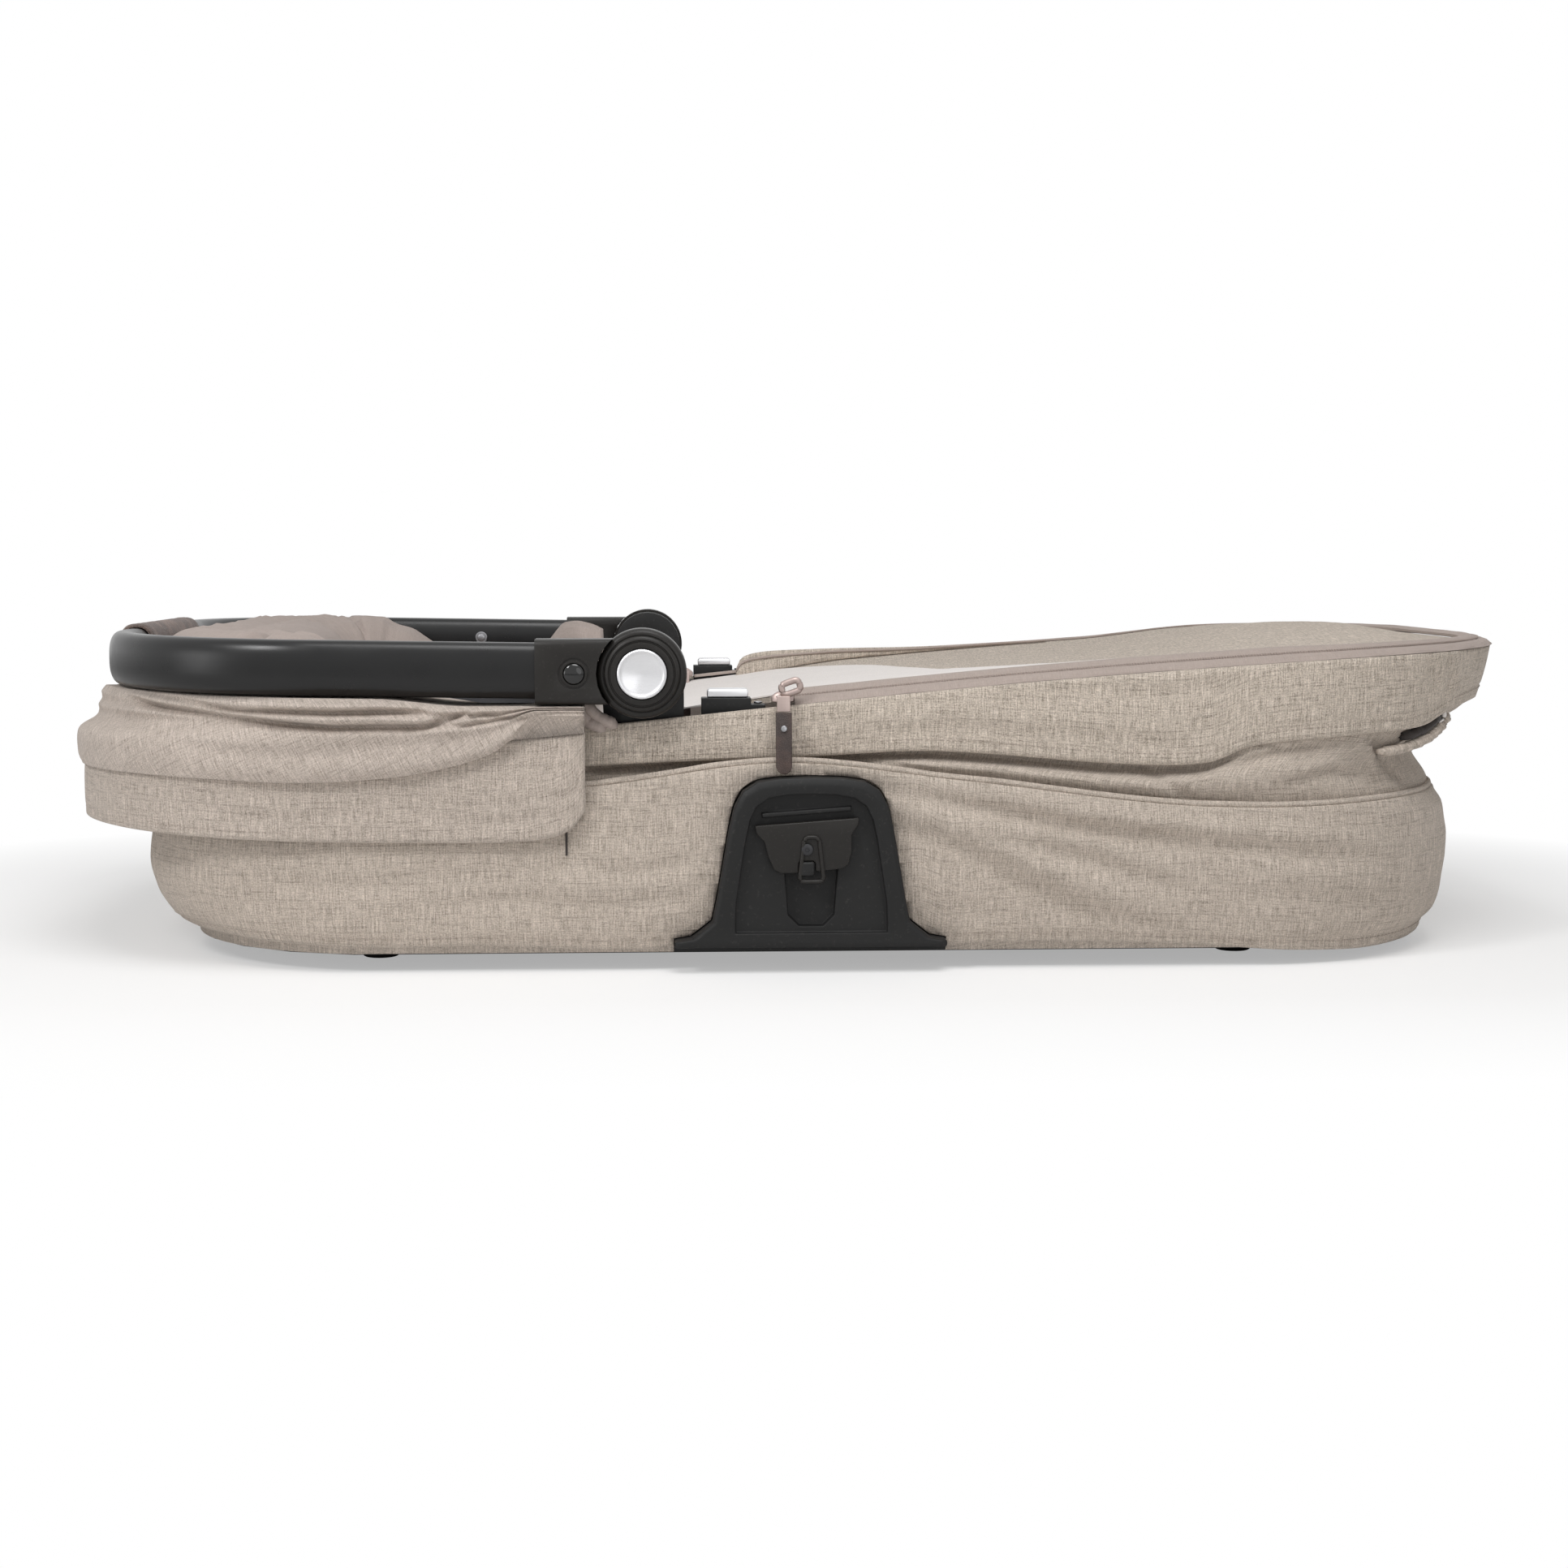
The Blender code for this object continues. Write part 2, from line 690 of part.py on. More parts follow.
def tub_outer(place, share):
    """Height of the tub's wall at a share of its height, and its outer face's offset there."""
    fabric_top = tub_top(place[0]) - PIPING_RADIUS - GAP
    z = TUB_BOTTOM_Z + (fabric_top - TUB_BOTTOM_Z) * share
    return -tub_lean(place, along(TUB_PROFILE_SHARES, share)), z


def arch_outline(grow=0.0):
    """Housing outline in X and Z from the flared foot over the crown and down again."""
    rise = SHROUD_TOP_Z - SHROUD_FLARE_Z
    half = [(SHROUD_HALF_FLARE, SHROUD_BOTTOM_Z), (SHROUD_HALF_FLARE, SHROUD_FLARE_Z)]
    sweep_z = (SHROUD_FLARE_Z + SHROUD_LOW_Z) / 2 - SHROUD_SHOULDER
    half.append(((SHROUD_HALF_FLARE + SHROUD_HALF_LOW) / 2, sweep_z))
    for width_share, height_share in SHROUD_ARCH_SHARES:
        half.append((SHROUD_HALF_TOP * width_share, SHROUD_FLARE_Z + rise * height_share))
    right = [(SHROUD_X + across + grow, z + grow * (z > SHROUD_FLARE_Z)) for across, z in half[:-1]]
    left = [(SHROUD_X - across - grow, z + grow * (z > SHROUD_FLARE_Z)) for across, z in half[:-1]]
    crown = [(SHROUD_X, SHROUD_TOP_Z + grow)]
    return right + crown + left[::-1]


def slab(name, outlines, side, finish, pivot=(0.0, 0.0, 0.0)):
    """Solid through (outline in X and Z, distance from the middle) stations, from back to front."""
    stations = [[(x, side * y, z) for x, z in outline] for outline, y in outlines]
    return loft(name, stations, finish, pivot=pivot)


def inset_outline(outline, centre, share):
    return [(centre[0] + (x - centre[0]) * share, centre[1] + (z - centre[1]) * share) for x, z in outline]


def tilted(points, centre, angle):
    """Turns X and Z points about centre, so that the foot side rises."""
    turned_points = []
    for x, z in points:
        across = x - centre[0]
        up = z - centre[1]
        new_x = centre[0] + across * math.cos(angle) - up * math.sin(angle)
        new_z = centre[1] + across * math.sin(angle) + up * math.cos(angle)
        turned_points.append((new_x, new_z))
    return turned_points


def disc_outline(x, z, radius, steps):
    angles = [math.tau * i / steps for i in range(steps)]
    return [(x + radius * math.cos(angle), z + radius * math.sin(angle)) for angle in angles]


def box_outline(low_x, high_x, low_z, high_z):
    return [(low_x, low_z), (high_x, low_z), (high_x, high_z), (low_x, high_z)]


def tube_section(place, grow, centre_z):
    """Flattened oval round a plan place, upright."""
    points = []
    for i in range(TUBE_STEPS):
        angle = math.tau * i / TUBE_STEPS
        across = math.copysign(abs(math.cos(angle)) ** TUBE_SQUARE_SHARE, math.cos(angle))
        up = math.copysign(abs(math.sin(angle)) ** TUBE_SQUARE_SHARE, math.sin(angle))
        points.append(at(place, across * (TUBE_HALF_THICK + grow), centre_z + up * (TUBE_HALF_HEIGHT + grow)))
    return points


def tube_z(x):
    return SLEEVE_TUBE_Z + TUBE_SLOPE_SHARE * (SLEEVE_END_X - x)


def make_tub():
    stations = []
    for place in tub_plan():
        section = []
        for share, _ in TUB_PROFILE_SHARES:
            out, z = tub_outer(place, share)
            section.append(at(place, out, z))
        for share, _ in TUB_PROFILE_SHARES[::-1]:
            out, z = tub_outer(place, share)
            section.append(at(place, out - TUB_WALL, z))
        stations.append(section)
    tub = loft("tub_fabric", stations, LINEN, closed=True)
    for side in (NEAR, FAR):
        inner_y = SHROUD_BACK_Y - TUB_WALL
        outer_y = SHROUD_FRONT_Y + OVERRUN
        outline = arch_outline(SHROUD_CUT_GAP)
        outline[0] = (outline[0][0], -OVERRUN)
        outline[-1] = (outline[-1][0], -OVERRUN)
        levels = [(outline, inner_y), (outline, outer_y)]
        cutter = slab("shroud_cutter_" + SIDE_NAMES[side], levels, side, LINEN)
        combine(tub, cutter, "DIFFERENCE")


def make_piping():
    stations = []
    for place in tub_plan():
        out = -tub_lean(place, 1.0) * TUB_PROFILE_SHARES[-1][1] - PIPING_INSET
        centre_z = tub_top(place[0])
        section = []
        for i in range(6):
            angle = math.tau * i / 6
            across = PIPING_RADIUS * math.cos(angle)
            up = PIPING_RADIUS * math.sin(angle)
            section.append(at(place, out + across, centre_z + up))
        stations.append(section)
    loft("tub_piping", stations, LINEN, closed=True)


def make_base_board():
    low_loop = []
    high_loop = []
    for place in tub_plan():
        out, _ = tub_outer(place, 0.0)
        edge = out - PAN_INSET
        low_loop.append(at(place, edge, PAN_BOTTOM_Z))
        high_loop.append(at(place, edge, PAN_BOTTOM_Z + PAN_THICK))
    loft("base_board", [low_loop, high_loop], BLACK_PLASTIC)


def make_feet():
    for end, x in (("head", FOOT_HEAD_X), ("toe", FOOT_TOE_X)):
        for side in (NEAR, FAR):
            top_z = PAN_BOTTOM_Z - GAP
            levels = ((FOOT_RADIUS - FOOT_EDGE, 0.0), (FOOT_RADIUS, FOOT_EDGE), (FOOT_RADIUS, top_z))
            stations = []
            for radius, z in levels:
                ring = disc_outline(x, side * FOOT_Y, radius, 20)
                stations.append([(ring_x, ring_y, z) for ring_x, ring_y in ring])
            loft("rubber_foot_%s_%s" % (end, SIDE_NAMES[side]), stations, RUBBER)


def make_wall():
    """Upper wall, folded down between the tub's inside and the rail."""
    stations = []
    for tub_place, rim_place in zip(tub_plan(), rim_plan()):
        x = tub_place[0]
        end_share = abs(tub_place[2]) * (x > 0)
        low = tub_top(x)
        high = rail_top(rim_place[0]) - RIM_DEPTH - SOFT_GAP
        hem = valance_low(rim_place[0])
        room = min(1.0, max(0.0, (hem - low - VALANCE_OVER_TUB) / WALL_BULGE_ROOM))
        tub_inner = -tub_lean(tub_place, 1.0) * TUB_PROFILE_SHARES[-1][1] - TUB_WALL
        tuck = min(tub_inner, SHROUD_BACK_Y - TUB_HALF_WIDTH) - SOFT_GAP
        seat = VALANCE_INNER - WALL_SEAT_GAP
        hem_z = max(hem - SOFT_GAP, low + WALL_THICK)
        middle_z = (low + hem_z) / 2
        bulge = WALL_BULGE * room - WALL_FOOT_FOLD * end_share
        middle_out = at(tub_place, tuck + bulge, middle_z)
        middle_in = at(tub_place, tuck + bulge - WALL_THICK, middle_z)
        outer = [at(tub_place, tuck, low - WALL_TUCK), at(tub_place, tuck, low), middle_out]
        low_seat = seat - valance_tuck(rim_place, hem_z)
        high_seat = seat - valance_tuck(rim_place, high)
        outer += [at(rim_place, low_seat, hem_z), at(rim_place, high_seat, high)]
        inner = [at(rim_place, high_seat - WALL_THICK, high), at(rim_place, low_seat - WALL_THICK, hem_z)]
        inner.append(middle_in)
        inner += [at(tub_place, tuck - WALL_THICK, low), at(tub_place, tuck - WALL_THICK, low - WALL_TUCK)]
        stations.append(outer + inner)
    loft("wall_fabric", stations, LINEN, closed=True)


def make_liner():
    plan = oblong(LINER_HEAD_X, LINER_FOOT_X, LINER_HALF_WIDTH, LINER_CORNER)
    rim = rim_plan()
    floor_z = PAN_BOTTOM_Z + PAN_THICK + GAP

    def level(out, z, lean_share):
        loop = []
        for place in plan:
            lean = (LINER_SIDE_LEAN + LINER_END_LEAN * abs(place[2])) * lean_share
            loop.append(at(place, out - lean, z))
        return loop

    def under_rim(out, drop):
        return [at(place, out, rail_top(rim_place[0]) - drop) for place, rim_place in zip(plan, rim)]

    def lip(drop):
        reach = -RIM_WIDTH / 2 - SOFT_GAP
        return [at(place, reach, rail_top(place[0]) - drop) for place in rim]

    knee_z = LINER_KNEE_Z
    loops = [level(LINER_THICK, floor_z, 1.0), level(LINER_THICK, knee_z, 0.0)]
    loops.append(under_rim(LINER_THICK, LINER_LIP_DROP + LINER_LIP_THICK))
    loops.append(lip(LINER_LIP_DROP))
    loops.append(lip(LINER_LIP_DROP - LINER_LIP_THICK))
    loops.append(under_rim(0.0, LINER_LIP_DROP - LINER_LIP_THICK))
    loops.append(level(0.0, knee_z, 0.0))
    loops.append(level(0.0, floor_z + LINER_FLOOR_THICK, 1.0))
    loft("inner_liner", loops, PALE_LINING)


def make_mattress():
    lean = LINER_SIDE_LEAN + LINER_END_LEAN
    head_x = LINER_HEAD_X + lean + MATTRESS_END_ROOM
    foot_x = LINER_FOOT_X - lean - MATTRESS_END_ROOM
    half_width = LINER_HALF_WIDTH - LINER_SIDE_LEAN - MATTRESS_SIDE_ROOM
    plan = oblong(head_x, foot_x, half_width, LINER_CORNER - MATTRESS_SIDE_ROOM)
    floor_z = PAN_BOTTOM_Z + PAN_THICK + GAP + LINER_FLOOR_THICK + GAP
    loops = []
    for height_share, rounding_share in MATTRESS_SHARES:
        z = floor_z + MATTRESS_THICK * height_share
        loops.append([at(place, -MATTRESS_ROUNDING * rounding_share, z) for place in plan])
    loft("mattress", loops, PALE_LINING)


def strut_outline(start, end):
    """Bar with round ends from start to end in X and Z."""
    angle = math.atan2(end[1] - start[1], end[0] - start[0])
    points = []
    for centre, first in ((end, angle - math.pi / 2), (start, angle + math.pi / 2)):
        for i in range(STRUT_END_STEPS + 1):
            turn = first + math.pi * i / STRUT_END_STEPS
            across = STRUT_HALF_HEIGHT * math.cos(turn)
            up = STRUT_HALF_HEIGHT * math.sin(turn)
            points.append((centre[0] + across, centre[1] + up))
    return points


def drill(target, name, x, z, radius, inner_y, outer_y, side, steps=16):
    outline = disc_outline(x, z, radius, steps)
    cutter = slab(name, [(outline, inner_y), (outline, outer_y)], side, STEEL)
    return combine(target, cutter, "DIFFERENCE")


def knee_place():
    half = (STRUT_HIGH_Z - STRUT_LOW_Z) / 2
    return STRUT_X + math.sqrt(STRUT_LENGTH ** 2 - half ** 2), STRUT_LOW_Z + half


def make_strut(name, pivot_z, inner_y, side):
    knee = knee_place()
    outline = strut_outline((STRUT_X, pivot_z), knee)
    outer_y = inner_y + STRUT_THICK
    pivot = (STRUT_X, side * inner_y, pivot_z)
    strut = slab(name, [(outline, inner_y), (outline, outer_y)], side, STEEL, pivot)
    bore = STRUT_PIN_RADIUS + GAP
    drill(strut, name + "_eye", STRUT_X, pivot_z, bore, inner_y - OVERRUN, outer_y + OVERRUN, side)
    drill(strut, name + "_knee", knee[0], knee[1], bore, inner_y - OVERRUN, outer_y + OVERRUN, side)


def make_side_bracket(side):
    name = "side_bracket_" + SIDE_NAMES[side]
    floor_z = PAN_BOTTOM_Z + PAN_THICK + GAP
    outer_y = BRACKET_Y + BRACKET_THICK
    profile = [(outer_y, floor_z), (outer_y, BRACKET_TOP_Z), (BRACKET_Y, BRACKET_TOP_Z)]
    profile += [(BRACKET_Y, floor_z + BRACKET_FOOT_THICK)]
    profile += [(BRACKET_Y - BRACKET_FOOT_REACH, floor_z + BRACKET_FOOT_THICK)]
    profile += [(BRACKET_Y - BRACKET_FOOT_REACH, floor_z)]
    stations = []
    for x in (STRUT_X - BRACKET_HALF_LENGTH, STRUT_X + BRACKET_HALF_LENGTH):
        stations.append([(x, side * y, z) for y, z in profile])
    bracket = loft(name, stations, STEEL)
    pin = disc_outline(STRUT_X, STRUT_LOW_Z, STRUT_PIN_RADIUS, 16)
    tool = slab(name + "_pin", [(pin, LOWER_STRUT_Y), (pin, BRACKET_Y + BRACKET_THICK / 2)], side, STEEL)
    combine(bracket, tool, "UNION")


def make_rim():
    stations = []
    for place in rim_plan():
        top_z = rail_top(place[0])
        low_z = top_z - RIM_DEPTH
        edge = RIM_WIDTH / 6
        half = RIM_WIDTH / 2
        section = [at(place, half, low_z + edge), at(place, half, top_z - edge)]
        section += [at(place, half - edge, top_z), at(place, edge - half, top_z)]
        section += [at(place, -half, top_z - edge), at(place, -half, low_z + edge)]
        section += [at(place, edge - half, low_z), at(place, half - edge, low_z)]
        stations.append(section)
    rim = loft("rim_frame", stations, BLACK_PLASTIC, closed=True)
    for side in (NEAR, FAR):
        outer_y = LUG_INNER_Y + LUG_THICK
        low_z = STRUT_HIGH_Z - STRUT_HALF_HEIGHT
        high_z = rail_top(STRUT_X) - RIM_DEPTH / 2
        outline = box_outline(STRUT_X - LUG_HALF_LENGTH, STRUT_X + LUG_HALF_LENGTH, low_z, high_z)
        lug_name = "rim_lug_" + SIDE_NAMES[side]
        lug = slab(lug_name, [(outline, LUG_INNER_Y), (outline, outer_y)], side, BLACK_PLASTIC)
        combine(rim, lug, "UNION")
        pin = disc_outline(STRUT_X, STRUT_HIGH_Z, STRUT_PIN_RADIUS, 16)
        pin_end_y = UPPER_STRUT_Y + STRUT_THICK
        pin_levels = [(pin, LUG_INNER_Y + LUG_THICK / 2), (pin, pin_end_y)]
        pin_tool = slab(lug_name + "_pin", pin_levels, side, BLACK_PLASTIC)
        combine(rim, pin_tool, "UNION")


def make_valance():
    stations = []
    for place in rim_plan():
        x = place[0]
        low_z = valance_low(x)
        top_z = rim_line(x) - SOFT_GAP
        middle_z = (low_z + top_z) / 2
        outer = VALANCE_INNER + VALANCE_THICK
        row = ((outer, low_z), (outer + VALANCE_BULGE, middle_z), (outer, top_z))
        row += ((VALANCE_INNER, top_z), (VALANCE_INNER, middle_z), (VALANCE_INNER, low_z))
        section = [at(place, out - valance_tuck(place, z), z) for out, z in row]
        stations.append(section)
    loft("valance", stations, LINEN, closed=True)


def zip_rise(x, far_share):
    """How far the tape's inner edge stands above the rail; the far tape lies flat along the middle."""
    lying = (1 - ZIP_FAR_RISE_SHARE) * (1 - blend_value(ZIP_FAR_RISE_HEAD_X, ZIP_FAR_RISE_FOOT_X, x))
    end_share = max(0.0, (x - RIM_FOOT_X + RIM_CORNER) / RIM_CORNER)
    return ZIP_RISE * (1 - lying * far_share) * (1 - ZIP_END_DROP_SHARE * end_share)


def make_zip_binding():
    plan = horseshoe(RIM_FOOT_X, ZIP_NEAR_X, RIM_HALF_WIDTH, RIM_CORNER, 12, ZIP_FAR_X)
    stations = []
    for place in plan:
        x = place[0]
        shift = 0.0
        if place[1] > 0:
            shift = 1 - blend_value(ZIP_FAR_SHIFT_HEAD_X, ZIP_FAR_SHIFT_FOOT_X, x)
        outer = ZIP_OUTER + (ZIP_FAR_OUTER - ZIP_OUTER) * shift
        inner = ZIP_INNER + (ZIP_FAR_INNER - ZIP_INNER) * shift
        rise = zip_rise(x, float(place[1] > 0)) * (1 - shift)
        low_z = rim_line(x)
        high_z = low_z + rise
        section = [at(place, outer, low_z), at(place, outer, low_z + ZIP_THICK / 2)]
        section += [at(place, inner, high_z + ZIP_THICK), at(place, inner, high_z)]
        stations.append(section)
    loft("zip_binding", stations, ZIP_PINK)


def apron_half_width(x):
    widen = blend_value(APRON_WIDEN_HEAD_X, APRON_WIDEN_FOOT_X, x)
    side = APRON_NARROW_HALF_WIDTH + (APRON_HALF_WIDTH - APRON_NARROW_HALF_WIDTH) * widen
    inset = RIM_HALF_WIDTH - APRON_HALF_WIDTH
    radius = RIM_CORNER - inset
    past = x - (RIM_FOOT_X - RIM_CORNER)
    if past <= 0:
        return side
    return RIM_HALF_WIDTH - RIM_CORNER + math.sqrt(max(radius ** 2 - past ** 2, 0.0))


def make_apron():
    stations = []
    for i in range(APRON_STEPS + 1):
        share = i / APRON_STEPS
        x = APRON_HEAD_X + (APRON_FOOT_X - APRON_HEAD_X) * math.sin(math.pi / 2 * share)
        half = apron_half_width(x)
        rise = blend_value(APRON_CROWN_HEAD_X, APRON_CROWN_FOOT_X, x)
        front = 1 - blend_value(APRON_HEAD_X, ZIP_FAR_SHIFT_FOOT_X, x)
        level = 1 - blend_value(APRON_EDGE_X, APRON_FOOT_X, x)
        crown = APRON_CROWN * rise * level - APRON_SAG * (1 - rise)
        line_z = rim_line(x) - APRON_FRONT_DROP * front
        top = []
        low = []
        for j in range(APRON_ACROSS):
            across = 2 * j / (APRON_ACROSS - 1) - 1
            edge_z = line_z + zip_rise(x, (1 + across) / 2)
            z = edge_z + crown * (1 - across ** 2)
            top.append((x, half * across, z))
            low.append((x, half * across, z - APRON_THICK))
        stations.append(top + low[::-1])
    loft("foot_apron", stations, LINEN)


def make_shroud(side):
    name = "adapter_housing_" + SIDE_NAMES[side]
    outline = arch_outline()
    front = inset_outline(outline, (SHROUD_X, SHROUD_FLARE_Z), 1 - SHROUD_SHOULDER / SHROUD_HALF_TOP)
    shoulder_y = SHROUD_FRONT_Y - SHROUD_SHOULDER
    levels = [(outline, SHROUD_BACK_Y), (outline, shoulder_y), (front, SHROUD_FRONT_Y)]
    housing = slab(name, levels, side, BLACK_PLASTIC)
    pocket = []
    for x, z in outline:
        across = (x - SHROUD_X) * POCKET_WIDTH_SHARE
        across = min(max(across, -SHROUD_HALF_TOP), SHROUD_HALF_TOP)
        up = SHROUD_FLARE_Z + (z - SHROUD_FLARE_Z) * POCKET_HEIGHT_SHARE
        point = (SHROUD_X + across, max(up, POCKET_BOTTOM_Z))
        if point not in pocket:
            pocket.append(point)
    floor_y = SHROUD_FRONT_Y - POCKET_DEPTH
    levels = [(pocket, floor_y), (pocket, SHROUD_FRONT_Y + OVERRUN)]
    cutter = slab(name + "_pocket", levels, side, BLACK_PLASTIC)
    combine(housing, cutter, "DIFFERENCE")
    channel = [(-CHANNEL_HALF_TOP, CHANNEL_TOP_Z), (CHANNEL_HALF_TOP, CHANNEL_TOP_Z)]
    channel += [(CHANNEL_HALF_LOW, CHANNEL_BOTTOM_Z + CHANNEL_ROUND)]
    channel += [(CHANNEL_HALF_LOW - CHANNEL_ROUND, CHANNEL_BOTTOM_Z)]
    channel += [(CHANNEL_ROUND - CHANNEL_HALF_LOW, CHANNEL_BOTTOM_Z)]
    channel += [(-CHANNEL_HALF_LOW, CHANNEL_BOTTOM_Z + CHANNEL_ROUND)]
    channel = [(SHROUD_X + x, z) for x, z in channel]
    channel_y = floor_y - CHANNEL_DEPTH
    levels = [(channel, channel_y), (channel, SHROUD_FRONT_Y + OVERRUN)]
    cutter = slab(name + "_channel", levels, side, BLACK_PLASTIC)
    combine(housing, cutter, "DIFFERENCE")
    rib = box_outline(PLATE_X - SLOT_RIB_HALF, PLATE_X + SLOT_RIB_HALF, SLOT_RIB_LOW_Z, SLOT_RIB_HIGH_Z)
    rib = tilted(rib, (PLATE_X, SLOT_RIB_LOW_Z), PLATE_TILT)
    levels = [(rib, floor_y - SHROUD_SHOULDER), (rib, floor_y + SLOT_RIB_DEPTH)]
    tool = slab(name + "_rib", levels, side, BLACK_PLASTIC)
    combine(housing, tool, "UNION")


def catch_outline(grow):
    outline = []
    for x_sign, z_sign in ((1, -1), (1, 1), (-1, 1), (-1, -1)):
        x = PLATE_X + x_sign * (CATCH_HALF_WIDTH + grow)
        z = CATCH_Z + z_sign * (CATCH_HALF_HEIGHT + grow)
        cut = CATCH_ROUND
        first = (x, z - z_sign * cut)
        second = (x - x_sign * cut, z)
        outline += [first, second] if x_sign * z_sign > 0 else [second, first]
    return outline


def make_adapter_bracket(side):
    name = "adapter_bracket_" + SIDE_NAMES[side]
    back_y = SHROUD_FRONT_Y - POCKET_DEPTH + GAP
    front_y = back_y + PLATE_THICK
    points = [(PLATE_X + PLATE_HALF * x, PLATE_TOP_Z - PLATE_DEPTH * z) for x, z in PLATE_SHARES]
    outline = tilted(points, (PLATE_X, PLATE_TOP_Z), PLATE_TILT)
    plate = slab(name, [(outline, back_y), (outline, front_y)], side, BLACK_PLASTIC)
    well = catch_outline(GAP)
    cutter = slab(name + "_well", [(well, back_y - OVERRUN), (well, front_y + OVERRUN)], side, BLACK_PLASTIC)
    combine(plate, cutter, "DIFFERENCE")
    catch = catch_outline(0.0)
    catch_back_y = front_y - CATCH_DEPTH
    catch_front_y = front_y + CATCH_PROUD
    middle = (PLATE_X, CATCH_Z)
    face = inset_outline(catch, middle, 1 - CATCH_ROUND / CATCH_HALF_WIDTH)
    levels = [(catch, catch_back_y), (catch, catch_front_y - CATCH_ROUND), (face, catch_front_y)]
    pivot = (PLATE_X, side * catch_back_y, CATCH_Z)
    slab("adapter_catch_" + SIDE_NAMES[side], levels, side, BLACK_PLASTIC, pivot)


def make_adapter_screws():
    for side in (NEAR, FAR):
        face_y = SHROUD_FRONT_Y - POCKET_DEPTH + GAP + PLATE_THICK
        profile = [(0.0, GAP), (SCREW_RADIUS, GAP), (SCREW_RADIUS, SCREW_HEAD)]
        profile += [(SCREW_RADIUS - SCREW_HOLE / 2, SCREW_HEAD + GAP), (SCREW_HOLE, SCREW_HEAD + GAP)]
        profile += [(SCREW_HOLE, SCREW_HEAD), (0.0, SCREW_HEAD)]
        centre = (PLATE_X, side * face_y, SCREW_Z)
        turned("adapter_screw_" + SIDE_NAMES[side], centre, profile, side, 16, STEEL)


def make_hub_mount(side):
    name = "hub_mount_" + SIDE_NAMES[side]
    outline = []
    for i in range(MOUNT_STEPS + 1):
        angle = math.pi * i / MOUNT_STEPS
        outline.append((HUB_X + MOUNT_RADIUS * math.cos(angle), HUB_Z + MOUNT_RADIUS * math.sin(angle)))
    left_x = HUB_X - MOUNT_LEFT
    right_x = HUB_X + MOUNT_RADIUS
    outline.append((left_x, rail_top(left_x) + MOUNT_SEAT_GAP))
    outline.append((HUB_X, rail_top(HUB_X) + MOUNT_SEAT_GAP))
    outline.append((right_x, rail_top(right_x) + MOUNT_SEAT_GAP))
    outer_y = HUB_INNER_Y - SOFT_GAP
    mount = slab(name, [(outline, MOUNT_INNER_Y), (outline, outer_y)], side, BLACK_PLASTIC)
    bore = SHAFT_RADIUS + GAP
    bore_start = MOUNT_INNER_Y - OVERRUN
    drill(mount, name + "_bore", HUB_X, HUB_Z, bore, bore_start, outer_y + OVERRUN, side, HUB_STEPS)


def make_hub(side):
    side_name = SIDE_NAMES[side]
    centre = (HUB_X, side * HUB_INNER_Y, HUB_Z)
    bore = SHAFT_RADIUS + GAP
    well_radius = BUTTON_RADIUS + GAP
    well_floor = HUB_DEPTH - BUTTON_WELL
    profile = [(bore, 0.0)]
    profile += [(HUB_RADIUS * radius, HUB_DEPTH * out) for radius, out in HUB_FACE_SHARES]
    profile += [(well_radius + SHAFT_HEAD, HUB_DEPTH), (well_radius, HUB_DEPTH - SHAFT_HEAD)]
    profile += [(well_radius, well_floor), (bore, well_floor)]
    turned("hub_housing_" + side_name, centre, profile, side, HUB_STEPS, BLACK_PLASTIC)
    shaft_end = well_floor - SOFT_GAP
    shaft_start = SHAFT_INNER_Y - HUB_INNER_Y
    head_end = shaft_start + SHAFT_HEAD
    profile = [(0.0, shaft_start), (SHAFT_HEAD_RADIUS, shaft_start), (SHAFT_HEAD_RADIUS, head_end)]
    profile += [(SHAFT_RADIUS, head_end), (SHAFT_RADIUS, shaft_end), (0.0, shaft_end)]
    turned("hub_shaft_" + side_name, centre, profile, side, HUB_STEPS, STEEL)
    back = well_floor + BUTTON_TRAVEL + SOFT_GAP
    face = HUB_DEPTH + BUTTON_PROUD
    rim_inner = BUTTON_RADIUS - BUTTON_PROUD
    profile = [(0.0, back), (BUTTON_RADIUS, back), (BUTTON_RADIUS, face - SHAFT_HEAD)]
    profile += [(BUTTON_RADIUS - SHAFT_HEAD, face), (rim_inner, face)]
    profile += [(rim_inner - SHAFT_HEAD, face - SHAFT_HEAD)]
    profile += [(rim_inner * 2 / 3, face - BUTTON_DISH * 2 / 3), (rim_inner / 3, face - BUTTON_DISH)]
    profile += [(0.0, face - BUTTON_DISH)]
    turned("hub_button_" + side_name, centre, profile, side, HUB_STEPS, SILVER)


